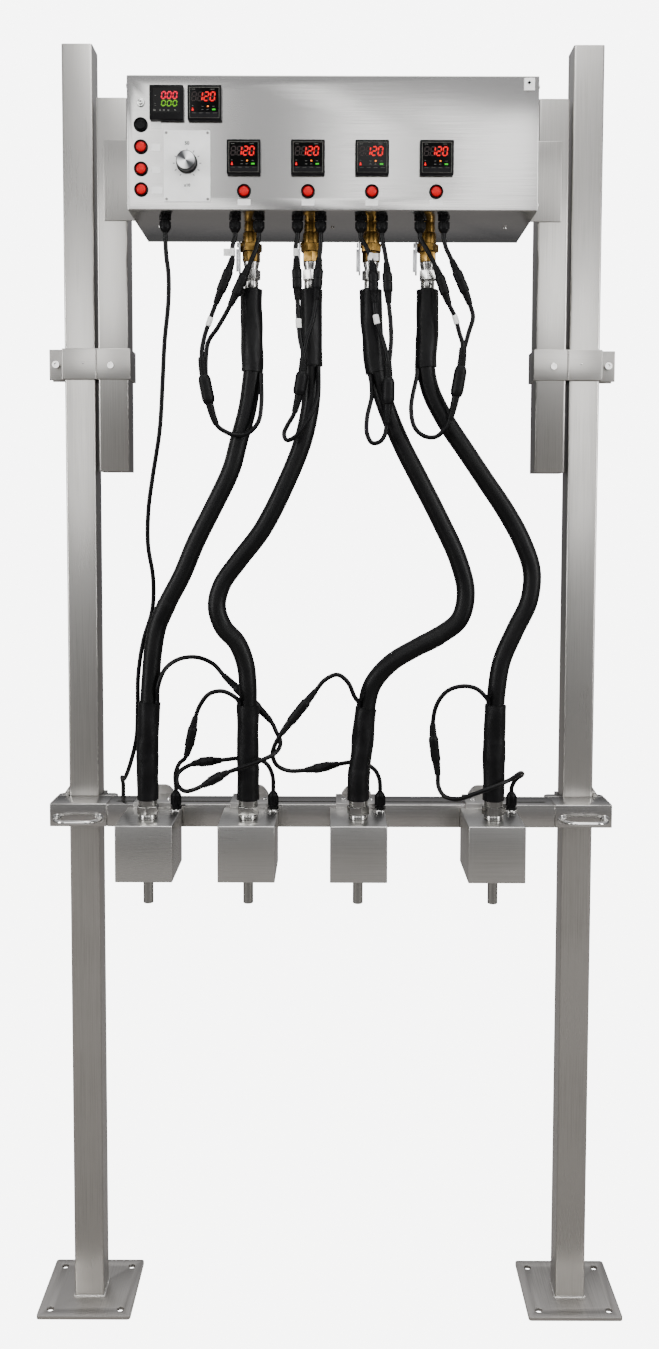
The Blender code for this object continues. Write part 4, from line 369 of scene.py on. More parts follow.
weld_tree, given = new_tree("weld bead", ("Spacing", "Float", 0.0024), ("Bead", "Float", WELD_BEAD),
                            ("Finish", "Material", None))
line = add_node(weld_tree, "GeometryNodeMeshToCurve", {"Mesh": given.outputs["Geometry"]})
even = add_node(weld_tree, "GeometryNodeResampleCurve",
                {"Curve": line.outputs["Curve"], "Length": given.outputs["Spacing"]},
                mode="LENGTH")
ripple = add_node(weld_tree, "GeometryNodeMeshIcoSphere", {"Radius": given.outputs["Bead"]},
                  {"Subdivisions": 2})
size = add_node(weld_tree, "FunctionNodeRandomValue", None,
                {"Min": (0.8, 0.8, 0.8), "Max": (1.1, 1.1, 1.0), "Seed": 7},
                data_type="FLOAT_VECTOR")
laid = add_node(weld_tree, "GeometryNodeInstanceOnPoints",
                {"Points": even.outputs["Curve"], "Instance": ripple.outputs["Mesh"],
                 "Scale": size.outputs["Value"]})
end_tree(weld_tree, given, laid.outputs["Instances"])


def outline_mesh(outline, z):
    """A closed line of edges for a weld bead to follow."""
    mesh = bpy.data.meshes.new("line")
    count = len(outline)
    mesh.from_pydata([(x, y, z) for x, y in outline], [(i, (i + 1) % count) for i in range(count)],
                     [])
    return mesh


upright_steel = brushed_stainless("brushed stainless tube, upright grain", "Z")
plate_steel = brushed_stainless("hot-rolled stainless plate", "Y", "#8F8C88", "#B1AEAA",
                                (0.36, 0.5))
weld_steel = brushed_stainless("cleaned stainless weld", "X", "#7D7B79", "#B9B7B3", (0.3, 0.45))
for side, name in ((-1, "left"), (1, "right")):
    centre = (side * POST_X, POST_MIDDLE)
    bm = bmesh.new()
    prism(bm, round_corners(rectangle(centre, POST_SIDE, POST_SIDE), POST_CORNER * 1.4),
          PLATE_THICKNESS, STAND_HEIGHT)
    soften(bm, 0.0007)
    add_piece(f"{name}_post_tube", bm, upright_steel, "stand", f"{name}_post")
    bm = bmesh.new()
    prism(bm, round_corners(rectangle(centre, PLATE_SIDE, PLATE_SIDE), 0.006), 0, PLATE_THICKNESS)
    holes = bmesh.new()
    for dx in (-1, 1):
        for dy in (-1, 1):
            turned(holes, (centre[0] + dx * PLATE_HOLE_SPACING / 2,
                           centre[1] + dy * PLATE_HOLE_SPACING / 2, -0.01), (0, 0, 1),
                   ((PLATE_HOLE_RADIUS, 0), (PLATE_HOLE_RADIUS, 0.03)), 28)
    bm = cut_holes(bm, holes)
    soften(bm, 0.0006, 2, 40)
    add_piece(f"{name}_base_plate", bm, plate_steel, "stand", f"{name}_post")
    foot = round_corners(rectangle(centre, POST_SIDE + 0.001, POST_SIDE + 0.001), POST_CORNER)
    bead = grow(weld_tree, outline_mesh(foot, PLATE_THICKNESS), Finish=weld_steel)
    add_piece(f"{name}_foot_weld", bead, weld_steel, "stand", f"{name}_post")


# Short tubes: two lengths of the same tube, 5 mm inside the posts, that carry the
# cabinet. A folded steel bracket is welded to the front of each.
MOUNT_X = POST_X - POST_SIDE - 0.005
MOUNT_BOTTOM, MOUNT_TOP = 1.4380, 2.0476
MOUNT_WALL = 0.003175
BRACKET = 0.003
BRACKET_HEIGHT = 0.130
CABINET_HALF = 0.3048
CABINET_TOP = MOUNT_TOP - 0.0358
CABINET_BOTTOM = CABINET_TOP - 0.196
for side, name in ((-1, "left"), (1, "right")):
    centre = (side * MOUNT_X, POST_MIDDLE)
    bm = bmesh.new()
    prism(bm, round_corners(rectangle(centre, POST_SIDE, POST_SIDE), POST_CORNER * 1.4),
          MOUNT_BOTTOM, MOUNT_TOP)
    soften(bm, 0.0007)
    cutter, bore = bmesh.new(), POST_SIDE - 2 * MOUNT_WALL
    prism(cutter, round_corners(rectangle(centre, bore, bore), POST_CORNER),
          MOUNT_BOTTOM - 0.01, MOUNT_TOP - MOUNT_WALL)
    bm = cut_holes(bm, cutter)
    add_piece(f"{name}_short_tube", bm, upright_steel, "stand", f"{name}_mount_tube")
    near, far = CABINET_HALF + GAP, MOUNT_X - POST_SIDE / 2 + 0.038
    back = POST_FRONT + 0.001
    outline = [(near, POST_FRONT - 0.060), (near + BRACKET, POST_FRONT - 0.060),
               (near + BRACKET, back - BRACKET), (far, back - BRACKET), (far, back), (near, back)]
    bm = bmesh.new()
    middle = (CABINET_TOP + CABINET_BOTTOM) / 2
    prism(bm, [(side * x, y) for x, y in outline], middle - BRACKET_HEIGHT / 2,
          middle + BRACKET_HEIGHT / 2)
    soften(bm, 0.0008)
    add_piece(f"{name}_cabinet_bracket", bm, upright_steel, "stand", f"{name}_mount_tube")


# Strap clamps: one 3 mm strap bent round each post and short tube, with a seam weld
# between them, pulled tight by a socket-head screw through its two lugs.
STRAP_Z, STRAP_HALF = 1.6153, 0.0254
STRAP = 0.0032
LUG_TIP = POST_X + POST_SIDE / 2 + 0.028
LUG_SET = 0.012


def screw_shape(bm, place, direction, radius, height, socket):
    """A screw head with a rounded rim and a hexagon socket."""
    turned(bm, place, direction, ((radius, 0), (radius, height * 0.8), (radius * 0.9, height),
                                  (socket, height), (socket, height * 0.5)), 24)


strap_steel = brushed_stainless("brushed stainless strap", "X", "#9A9894", "#B0AEAA")
screw_steel = brushed_stainless("bright screw steel", "Z", "#BAB9B6", "#D6D5D3", (0.16, 0.24))
nut_steel = brushed_stainless("dulled screw steel", "Z", "#6E6D6B", "#8A8987", (0.3, 0.4))
for side, name in ((-1, "left"), (1, "right")):
    front, back = POST_FRONT - GAP, POST_FRONT + POST_SIDE + GAP
    inner = MOUNT_X - POST_SIDE / 2 - GAP
    outer = POST_X + POST_SIDE / 2 + GAP
    lug, rear = POST_FRONT + LUG_SET, POST_FRONT + POST_SIDE - LUG_SET
    outline = [(inner - STRAP, front - STRAP), (outer + STRAP, front - STRAP),
               (outer + STRAP, lug), (LUG_TIP, lug), (LUG_TIP, lug + STRAP), (outer, lug + STRAP),
               (outer, front), (inner, front), (inner, back), (outer, back),
               (outer, rear - STRAP), (LUG_TIP, rear - STRAP), (LUG_TIP, rear),
               (outer + STRAP, rear), (outer + STRAP, back + STRAP), (inner - STRAP, back + STRAP)]
    bm = bmesh.new()
    prism(bm, [(side * x, y) for x, y in outline], STRAP_Z - STRAP_HALF, STRAP_Z + STRAP_HALF)
    soften(bm, 0.0011, 3)
    add_piece(f"{name}_strap", bm, strap_steel, "stand", f"{name}_clamp_strap")
    bm = bmesh.new()
    screw_x = side * (outer + STRAP + LUG_TIP) / 2
    screw_shape(bm, (screw_x, lug, STRAP_Z), (0, -1, 0), 0.0065, 0.007, 0.003)
    screw_shape(bm, (screw_x, rear, STRAP_Z), (0, 1, 0), 0.0075, 0.006, 0.004)
    turned(bm, (screw_x, lug, STRAP_Z), (0, 1, 0), ((0.004, -0.001), (0.004, rear - lug + 0.001)))
    screw_shape(bm, (side * (MOUNT_X + 0.004), front - STRAP, STRAP_Z - 0.0025), (0, -1, 0),
                0.0058, 0.0026, 0.0022)
    turned(bm, (side * (POST_X - 0.006), front - STRAP, STRAP_Z + 0.002), (0, -1, 0),
           ((0.0018, -0.0004), (0.0018, 0.0003), (0.0012, 0.0005)), 16)
    add_piece(f"{name}_clamp_screws", bm, screw_steel, "stand", f"{name}_clamp_strap")
    seam_x = side * (POST_X - POST_SIDE / 2 - 0.0025)
    line = bpy.data.meshes.new("line")
    line.from_pydata([(seam_x, front - STRAP, STRAP_Z - STRAP_HALF + 0.002),
                      (seam_x, front - STRAP, STRAP_Z + STRAP_HALF - 0.002)], [(0, 1)], [])
    bead = grow(weld_tree, line, Spacing=0.0026, Bead=0.0019, Finish=weld_steel)
    add_piece(f"{name}_strap_weld", bead, weld_steel, "stand", f"{name}_clamp_strap")


# Cabinet: a folded and welded box of 1.5 mm stainless sheet with a polished brushed
# face. A flat cover closes its back, and the two brackets carry it by its sides.
CABINET_FRONT, CABINET_BACK = POST_FRONT - 0.1992, POST_FRONT + 0.004
SHEET = 0.0015
ZONE_X = (-0.1315, -0.0366, 0.0582, 0.1537)
ZONE_Z = CABINET_BOTTOM + 0.0758
UPPER_X, UPPER_Z = (-0.245, -0.189), CABINET_BOTTOM + 0.1538
COLUMN_X = -0.284
COLUMN_Z = tuple(CABINET_BOTTOM + height for height in (0.1238, 0.0918, 0.0598, 0.0298))
ZONE_SWITCH_Z = CABINET_BOTTOM + 0.0278
JACK_Z = CABINET_BOTTOM + 0.1558
DIAL_X, DIAL_Z = -0.2156, CABINET_BOTTOM + 0.0678
VALVE_X, VALVE_Y = (-0.1255, -0.033, 0.060, 0.1475), POST_FRONT - 0.125
GLAND_X = (-0.254, -0.148, -0.112, -0.053, -0.018, 0.043, 0.075, 0.133, 0.169)
GLAND_Y = POST_FRONT - 0.160
INLET_X, INLET_Z = (VALVE_X[1] + VALVE_X[2]) / 2, CABINET_BOTTOM + 0.0168
SWITCHES = ([(COLUMN_X, z) for z in COLUMN_Z] + [(x, ZONE_SWITCH_Z) for x in ZONE_X])

panel_steel = brushed_stainless("brushed stainless sheet, level grain", "X", "#A09F9D", "#B4B3B1",
                                (0.15, 0.23))
bm = bmesh.new()
box(bm, (-CABINET_HALF, CABINET_FRONT, CABINET_BOTTOM),
    (CABINET_HALF, CABINET_BACK - SHEET - GAP, CABINET_TOP))
soften(bm, 0.0016, 3)
cutter = bmesh.new()
box(cutter, (-CABINET_HALF + SHEET, CABINET_FRONT + SHEET, CABINET_BOTTOM + SHEET),
    (CABINET_HALF - SHEET, CABINET_BACK + 0.01, CABINET_TOP - SHEET))
bm = cut_holes(bm, cutter)
cutter = bmesh.new()
for x, z in [(x, ZONE_Z) for x in ZONE_X] + [(x, UPPER_Z) for x in UPPER_X]:
    box(cutter, (x - 0.0227, CABINET_FRONT - 0.01, z - 0.0227),
        (x + 0.0227, CABINET_FRONT + 0.01, z + 0.0227))
for (x, z), radius in [(p, 0.0084) for p in SWITCHES] + [((DIAL_X, DIAL_Z), 0.0035),
                                                         ((COLUMN_X, JACK_Z), 0.003)]:
    turned(cutter, (x, CABINET_FRONT - 0.01, z), (0, 1, 0), ((radius, 0), (radius, 0.02)), 28)
for x, y, radius in [(x, GLAND_Y, 0.006) for x in GLAND_X] + [(x, VALVE_Y, 0.0105)
                                                              for x in VALVE_X]:
    turned(cutter, (x, y, CABINET_BOTTOM - 0.01), (0, 0, 1), ((radius, 0), (radius, 0.02)), 28)
bm = cut_holes(bm, cutter)
add_piece("cabinet_body", bm, panel_steel, "stand", "cabinet_shell")

bm = bmesh.new()
box(bm, (-CABINET_HALF, CABINET_BACK - SHEET, CABINET_BOTTOM),
    (CABINET_HALF, CABINET_BACK, CABINET_TOP))
soften(bm, 0.0004, 1)
cutter = bmesh.new()
turned(cutter, (INLET_X, CABINET_BACK - 0.01, INLET_Z), (0, 1, 0), ((0.011, 0), (0.011, 0.02)), 28)
add_piece("cabinet_cover", cut_holes(bm, cutter), panel_steel, "stand", "cabinet_back")

# Fasteners: the small machine screws of the cabinet and the panel, all of one shape,
# set out by their places and turned to face outwards.
fasten_tree, given = new_tree("fasteners", ("Screw", "Object", None), ("Facing", "Vector", None),
                              ("Turn Seed", "Int", 3), ("Finish", "Material", None))
spots = add_node(fasten_tree, "GeometryNodeMeshToPoints", {"Mesh": given.outputs["Geometry"]})
shape = add_node(fasten_tree, "GeometryNodeObjectInfo", {"Object": given.outputs["Screw"]})
spin = add_node(fasten_tree, "FunctionNodeRandomValue", {"Seed": given.outputs["Turn Seed"]},
                {"Max": (0, 0, 6.28)}, data_type="FLOAT_VECTOR")
aim = add_node(fasten_tree, "FunctionNodeAlignRotationToVector",
               {"Vector": given.outputs["Facing"]}, axis="Z")
turn = add_node(fasten_tree, "FunctionNodeRotateRotation",
                {"Rotation": aim.outputs["Rotation"], "Rotate By": spin.outputs["Value"]},
                rotation_space="LOCAL")
placed = add_node(fasten_tree, "GeometryNodeInstanceOnPoints",
                  {"Points": spots.outputs["Points"], "Instance": shape.outputs["Geometry"],
                   "Rotation": turn.outputs["Rotation"]})
end_tree(fasten_tree, given, placed.outputs["Instances"])


def fasten(name, places, facing, radius, height, socket, sides, finish, body):
    """Set like screws at some places, all facing one way."""
    bm = bmesh.new()
    profile = ((radius, 0), (radius, height * 0.75), (radius * 0.9, height), (socket, height),
               (socket * 0.98, height * 0.4))
    turned(bm, (0, 0, 0), (0, 0, 1), profile, sides)
    bmesh.ops.recalc_face_normals(bm, faces=bm.faces)
    shape = bpy.data.meshes.new("screw")
    bm.to_mesh(shape)
    bm.free()
    pattern = bpy.data.objects.new("screw", shape)
    spots = bpy.data.meshes.new("spots")
    spots.from_pydata(places, [], [])
    mesh = grow(fasten_tree, spots, Screw=pattern, Facing=facing, Finish=finish)
    bpy.data.objects.remove(pattern, do_unlink=True)
    return add_piece(name, mesh, finish, body)


for side, name in ((-1, "left"), (1, "right")):
    fasten(f"{name}_cabinet_screws",
           [(side * (CABINET_HALF + BRACKET + GAP), POST_FRONT - 0.045, z)
            for z in (CABINET_BOTTOM + 0.045, CABINET_TOP - 0.045)], (side, 0, 0),
           0.0045, 0.0035, 0.002, 6, screw_steel, "stand")
    fasten(f"{name}_corner_screws",
           [(side * CABINET_HALF, CABINET_FRONT + depth, z)
            for depth, z in ((0.012, CABINET_BOTTOM + 0.012), (0.012, CABINET_TOP - 0.012),
                             (0.100, CABINET_BOTTOM + 0.012))], (side, 0, 0),
           0.0034, 0.0024, 0.0015, 6, screw_steel, "stand")
fasten("cover_screws",
       [(x, CABINET_BACK, z) for x in (-0.292, -0.1, 0.1, 0.292)
        for z in (CABINET_BOTTOM + 0.010, CABINET_TOP - 0.010)], (0, 1, 0),
       0.0038, 0.0022, 0.0018, 20, screw_steel, "stand")
fasten("underside_screws", [(x, GLAND_Y + 0.062, CABINET_BOTTOM) for x in (-0.27, 0.0, 0.27)],
       (0, 0, -1), 0.0030, 0.0020, 0.0014, 20, screw_steel, "stand")


# Controllers: panel-mounted instruments in moulded black cases, with smoked windows.
# Each row plugs into one wiring board behind the panel.
CASE = 0.050
CASE_FRONT = CABINET_FRONT - GAP - 0.008


def moulded_plastic(name, low, high, rough, grain=0.12):
    """Moulded ABS or polycarbonate, nearly flat in colour, with a fine spark-eroded grain
    that dulls the gloss. The grain is 0.3 mm, drawn at 0.8 mm so that it shows."""
    made = bpy.data.materials.new(name)
    made.use_nodes = True
    tree = made.node_tree
    shader = tree.nodes["Principled BSDF"]
    shader.inputs["IOR"].default_value = 1.53
    shader.inputs["Specular IOR Level"].default_value = 0.10
    spot = add_node(tree, "ShaderNodeTexCoord")
    fine = add_node(tree, "ShaderNodeTexNoise", {"Vector": spot.outputs["Object"]},
                    {"Scale": 1250.0, "Detail": 2.0})
    cloud = add_node(tree, "ShaderNodeTexNoise", {"Vector": spot.outputs["Object"]},
                     {"Scale": 60.0, "Detail": 2.0})
    tone = add_node(tree, "ShaderNodeValToRGB", {"Fac": cloud.outputs["Fac"]})
    tone.color_ramp.elements[0].position = 0.3
    tone.color_ramp.elements[0].color = linear(low)
    tone.color_ramp.elements[1].position = 0.7
    tone.color_ramp.elements[1].color = linear(high)
    tree.links.new(tone.outputs["Color"], shader.inputs["Base Color"])
    dull = add_node(tree, "ShaderNodeMapRange", {"Value": fine.outputs["Fac"]},
                    {"To Min": rough - 0.05, "To Max": rough + 0.05})
    tree.links.new(dull.outputs["Result"], shader.inputs["Roughness"])
    relief = add_node(tree, "ShaderNodeBump", {"Height": fine.outputs["Fac"]},
                      {"Strength": grain, "Distance": 0.0001})
    tree.links.new(relief.outputs["Normal"], shader.inputs["Normal"])
    return made


def lamp_material(name, hex_colour, strength):
    """A lit LED part: saturated plastic that gives off its own light, a little uneven."""
    made = moulded_plastic(name, hex_colour, hex_colour, 0.35)
    tree = made.node_tree
    shader = tree.nodes["Principled BSDF"]
    spot = add_node(tree, "ShaderNodeTexCoord")
    haze = add_node(tree, "ShaderNodeTexNoise", {"Vector": spot.outputs["Object"]},
                    {"Scale": 400.0, "Detail": 1.0})
    tone = add_node(tree, "ShaderNodeMixRGB", {"Fac": haze.outputs["Fac"]},
                    {"Color1": linear(hex_colour),
                     "Color2": tuple(min(1, c * 1.25 + 0.02) for c in linear(hex_colour)[:3])
                     + (1,)})
    tree.links.new(tone.outputs["Color"], shader.inputs["Emission Color"])
    shader.inputs["Emission Strength"].default_value = strength
    return made


case_plastic = moulded_plastic("black ABS case, fine grain", "#040405", "#080809", 0.4)
window_plastic = moulded_plastic("smoked acrylic window, polished", "#030303", "#050505", 0.08, 0.0)
window_plastic.node_tree.nodes["Principled BSDF"].inputs["Specular IOR Level"].default_value = 0.08
trim_plastic = moulded_plastic("light grey printed frame line", "#55554F", "#6B6B66", 0.4)
ghost_plastic = moulded_plastic("unlit LED segment", "#241E1D", "#2E2827", 0.35)
mark_plastic = moulded_plastic("grey printed mark", "#4A4A48", "#5C5C58", 0.5)
key_plastic = moulded_plastic("dark rubber key, matt", "#0A0A0B", "#0F0F11", 0.6)
red_segment = lamp_material("lit red LED segment", "#D8000C", 0.5)
magenta_segment = lamp_material("lit magenta LED segment", "#D80032", 0.5)
green_segment = lamp_material("lit yellow-green LED segment", "#5C9C08", 0.35)
green_lamp = lamp_material("lit green bar", "#1E9A14", 0.8)
orange_lamp = lamp_material("lit orange dot", "#F07410", 1.0)

# The seven bars of a digit, as shares of its width and height, and which ones each uses.
BARS = {"a": ((0, 1), (1, 1)), "b": ((1, 1), (1, 0.5)), "c": ((1, 0.5), (1, 0)),
        "d": ((0, 0), (1, 0)), "e": ((0, 0.5), (0, 0)), "f": ((0, 1), (0, 0.5)),
        "g": ((0, 0.5), (1, 0.5))}
DIGITS = {"0": "abcdef", "1": "bc", "2": "abged", "8": "abcdefg"}


def add_digit(bm, text, corner, width, height, bar, front, depth=0.0003, lean=0.12):
    """One leaning seven-segment digit, with pointed bars, just proud of its window."""
    x, z = corner
    for key in DIGITS[text]:
        (ax, az), (bx, bz) = BARS[key]
        a = Vector((ax * width, az * height))
        b = Vector((bx * width, bz * height))
        way = (b - a).normalized()
        side = Vector((-way.y, way.x))
        a, b = a + way * bar * 0.2, b - way * bar * 0.2
        tips = [a, a + (way + side) * bar / 2, b + (side - way) * bar / 2, b,
                b - (way + side) * bar / 2, a + (way - side) * bar / 2]
        prism(bm, [(x + p.x + lean * p.y, z + p.y) for p in tips], front - depth, front, "Y")


def add_plate(bm, x, z, width, height, front, depth, corner=0.0):
    """A thin plate on a panel, by its centre, proud of a face at y = front."""
    outline = rectangle((x, z), width, height)
    if corner:
        outline = round_corners(outline, corner, 4)
    prism(bm, outline, front - depth, front, "Y")


def add_frame(bm, x, z, side, line, front, depth):
    """A thin square line round a window."""
    for dx, dz, width, height in ((0, 1, side, line), (0, -1, side, line),
                                  (-1, 0, line, side - 2 * line), (1, 0, line, side - 2 * line)):
        add_plate(bm, x + dx * (side - line) / 2, z + dz * (side - line) / 2, width, height,
                  front, depth)


for row, xs, z in (("zone", ZONE_X, ZONE_Z), ("upper", UPPER_X, UPPER_Z)):
    cases, boards = bmesh.new(), bmesh.new()
    for x in xs:
        one = bmesh.new()
        prism(one, round_corners(rectangle((x, z), CASE, CASE), 0.0016, 3), CASE_FRONT,
              CABINET_FRONT - GAP, "Y")
        soften(one, 0.0007, 2)
        face = bpy.data.meshes.new("case")
        one.to_mesh(face)
        one.free()
        cases.from_mesh(face)
        box(cases, (x - 0.0223, CABINET_FRONT - GAP + 1e-4, z - 0.0223),
            (x + 0.0223, CABINET_FRONT - GAP + 0.062, z + 0.0223))
    box(boards, (xs[0] - 0.018, CABINET_FRONT + 0.0602, z - 0.015),
        (xs[-1] + 0.018, CABINET_FRONT + 0.0632, z + 0.015))
    piece = add_piece(f"{row}_controller_cases", cases, case_plastic, "stand",
                      f"{row}_controllers")
    board = add_piece(f"{row}_controller_board", boards, key_plastic, "stand",
                      f"{row}_controllers")

windows, frames, ghosts, reds = (bmesh.new() for _ in range(4))
marks, keys, greens, oranges, badges = (bmesh.new() for _ in range(5))
for x, z in [(x, ZONE_Z) for x in ZONE_X] + [(UPPER_X[1], UPPER_Z)]:
    front = CASE_FRONT
    add_plate(windows, x, z + 0.0035, 0.0415, 0.0345, front, 0.00025)
    add_frame(frames, x, z - 0.0004, 0.0438, 0.00045, front, 0.0004)
    face = front - 0.00025
    for k in range(4):
        add_digit(ghosts, "8", (x - 0.0190 + k * 0.0091, z + 0.0022), 0.0062, 0.0122, 0.0017,
                  face, 0.0001)
        add_plate(ghosts, x - 0.0112 + k * 0.0091, z + 0.0026, 0.0012, 0.0012, face, 0.0001)
    for k, text in enumerate("120"):
        add_digit(reds, text, (x - 0.0190 + (k + 1) * 0.0091, z + 0.0022), 0.0062, 0.0122,
                  0.0020, face - 0.0001, 0.0002)
    add_plate(badges, x - 0.0172, z - 0.0098, 0.0016, 0.0040, face, 0.0002, 0.0007)
    add_plate(badges, x - 0.0172, z - 0.0112, 0.0030, 0.0026, face - 0.0002, 0.0002, 0.0012)
    for dx, dz, width in ((-0.0026, -0.0060, 0.0030), (-0.0026, -0.0105, 0.0034),
                          (0.0048, -0.0105, 0.0030), (0.0135, -0.0060, 0.0032),
                          (-0.0172, -0.0050, 0.0024), (-0.0160, 0.0186, 0.0050),
                          (0.0120, 0.0186, 0.0060)):
        add_plate(marks, x + dx, z + dz, width, 0.0007, face, 0.0001)
    add_plate(oranges, x + 0.0052, z - 0.0058, 0.0026, 0.0022, face, 0.0002, 0.0010)
    add_plate(greens, x + 0.0138, z - 0.0104, 0.0050, 0.0022, face, 0.0002, 0.0004)
    add_plate(keys, x, z - 0.0181, 0.0415, 0.0080, front, 0.0004, 0.0006)
    for k in range(4):
        add_plate(marks, x - 0.0155 + k * 0.0103, z - 0.0155, 0.0058, 0.0004, front - 0.0004,
                  0.0001)
x, z = UPPER_X[0], UPPER_Z
pinks, limes = bmesh.new(), bmesh.new()
add_plate(windows, x + 0.0005, z + 0.0028, 0.0400, 0.0350, CASE_FRONT, 0.00025, 0.001)
for k in range(3):
    corner = x - 0.0072 + k * 0.0084
    add_digit(pinks, "0", (corner, z + 0.0052), 0.0054, 0.0096, 0.0019, CASE_FRONT - 0.00025,
              0.0002)
    add_digit(limes, "0", (corner, z - 0.0053), 0.0054, 0.0076, 0.0017, CASE_FRONT - 0.00025,
              0.0002)
for dx, width in ((-0.0175, 0.0036), (-0.0090, 0.0024), (-0.0035, 0.0028), (0.0030, 0.0028),
                  (0.0130, 0.0024)):
    add_plate(marks, x + dx, z - 0.0115, width, 0.0022, CASE_FRONT - 0.00025, 0.0001, 0.0005)
for dz in (0.0095, -0.0020, -0.0050):
    add_plate(marks, x - 0.0160, z + dz, 0.0022, 0.0006, CASE_FRONT - 0.00025, 0.0001)
for name, bm, finish, slot in (
        ("controller_windows", windows, window_plastic, "dark_plastic"),
        ("controller_frame_lines", frames, trim_plastic, "white_plastic"),
        ("controller_keys", keys, key_plastic, "dark_plastic"),
        ("unlit_segments", ghosts, ghost_plastic, "dark_plastic"),
        ("lit_red_segments", reds, red_segment, "lit_red"),
        ("lit_magenta_segments", pinks, magenta_segment, "lit_red"),
        ("lit_green_segments", limes, green_segment, "lit_red"),
        ("red_symbols", badges, red_segment, "lit_red"),
        ("orange_dots", oranges, orange_lamp, "lit_red"),
        ("green_bars", greens, green_lamp, "lit_red"),
        ("printed_marks", marks, mark_plastic, "white_plastic")):
    add_piece(name, bm, finish, "stand")


# Switches: round lighted push buttons in black bezels, a plain black start button, a
# plated jack, and blank white label strips beside them.
BEZEL_RADIUS, BUTTON_RADIUS = 0.0106, 0.0078
bezel_plastic = moulded_plastic("black nylon bezel, moulded", "#060607", "#0A0A0B", 0.28)
lens_red = lamp_material("lit red polycarbonate lens", "#A8040C", 0.14)
tree = lens_red.node_tree
# The lens's colour and glow run from bright red where it faces the viewer to near black at its rim.
# This is partly the lamp behind it, and partly a painted highlight in its middle and painted shade
# at its rim.
facing = add_node(tree, "ShaderNodeLayerWeight", None, {"Blend": 0.35})
lamp_glow_and_painted_rim_shade = add_node(tree, "ShaderNodeValToRGB", {"Fac": facing.outputs["Facing"]})
lamp_glow_and_painted_rim_shade.color_ramp.elements[0].color = linear("#C40812")
lamp_glow_and_painted_rim_shade.color_ramp.elements[1].position = 0.5
lamp_glow_and_painted_rim_shade.color_ramp.elements[1].color = linear("#260002")
for socket in ("Base Color", "Emission Color"):
    tree.links.new(lamp_glow_and_painted_rim_shade.outputs["Color"],
                   tree.nodes["Principled BSDF"].inputs[socket])
button_black = moulded_plastic("matt black button", "#070708", "#0C0C0D", 0.4)
plated = brushed_stainless("nickel-plated brass, turned", "Y", "#B9B9B7", "#D6D6D4", (0.16, 0.25))
bezels = bmesh.new()
for x, z in SWITCHES:
    turned(bezels, (x, CABINET_FRONT, z), (0, -1, 0),
           ((0.0083, 0.0001), (BEZEL_RADIUS, 0.0001), (BEZEL_RADIUS, 0.0020),
            (BEZEL_RADIUS - 0.0008, 0.0034), (BEZEL_RADIUS - 0.0016, 0.0037),
            (0.00835, 0.0026)), 40, True)
add_piece("switch_bezels", bezels, bezel_plastic, "stand")
names = ("start_button", "pump_switch", "heat_switch", "power_switch", "zone_1_switch",
         "zone_2_switch", "zone_3_switch", "zone_4_switch")
for name, (x, z) in zip(names, SWITCHES):
    start = name == "start_button"
    dome = [(0.0095, -0.0118), (0.0095, -0.0018), (BUTTON_RADIUS, -0.0018),
            (BUTTON_RADIUS, 0.0016)]
    if start:
        dome += [(0.0074, 0.0027), (0.0068, 0.0031), (0.0050, 0.0031), (0.0046, 0.0026),
                 (0.0001, 0.0024)]
    else:
        dome += [(BUTTON_RADIUS * math.cos(a), 0.0016 + 0.0042 * math.sin(a))
                 for a in (math.radians(9 * k) for k in range(1, 10))]
        dome.append((0.0001, 0.0058))
    bm = bmesh.new()
    turned(bm, (x, CABINET_FRONT, z), (0, -1, 0), dome, 40)
    cap = add_piece(f"{name}_lens", bm, button_black if start else lens_red, f"{name}_cap", name)
bm = bmesh.new()
turned(bm, (COLUMN_X, CABINET_FRONT, JACK_Z), (0, -1, 0),
       ((0.0062, 0), (0.0062, 0.0022), (0.0056, 0.0030), (0.0048, 0.0030), (0.0046, 0.0014),
        (0.0038, 0.0014), (0.0036, 0.0040), (0.0030, 0.0044), (0.0018, 0.0044), (0.0016, 0.0010)),
       32)
add_piece("panel_jack", bm, plated, "stand")
label_sheet = moulded_plastic("white polyester label, left blank", "#ECECEA", "#F6F6F4", 0.45)
bm = bmesh.new()
for (x, z), width in zip(SWITCHES[:4], (0.0140, 0.0130, 0.0135, 0.0160)):
    add_plate(bm, x + 0.0155 + width / 2, z - 0.0008, width, 0.0100, CABINET_FRONT, 0.0002,
              0.0006)
for x, z in SWITCHES[4:]:
    add_plate(bm, x, z - 0.0160, 0.0190, 0.0090, CABINET_FRONT, 0.0002, 0.0006)
add_plate(bm, 0.2900, CABINET_TOP - 0.0125, 0.0155, 0.0180, CABINET_FRONT, 0.0020, 0.0012)
add_piece("blank_labels", bm, label_sheet, "stand")
bm = bmesh.new()
add_plate(bm, 0.2895, CABINET_TOP - 0.0105, 0.0036, 0.0036, CABINET_FRONT - 0.0020, 0.0009)
bmesh.ops.rotate(bm, verts=bm.verts, cent=(0.2895, 0, CABINET_TOP - 0.0105),
                 matrix=Matrix.Rotation(math.radians(45), 3, "Y"))
add_piece("pad_screw", bm, button_black, "stand")


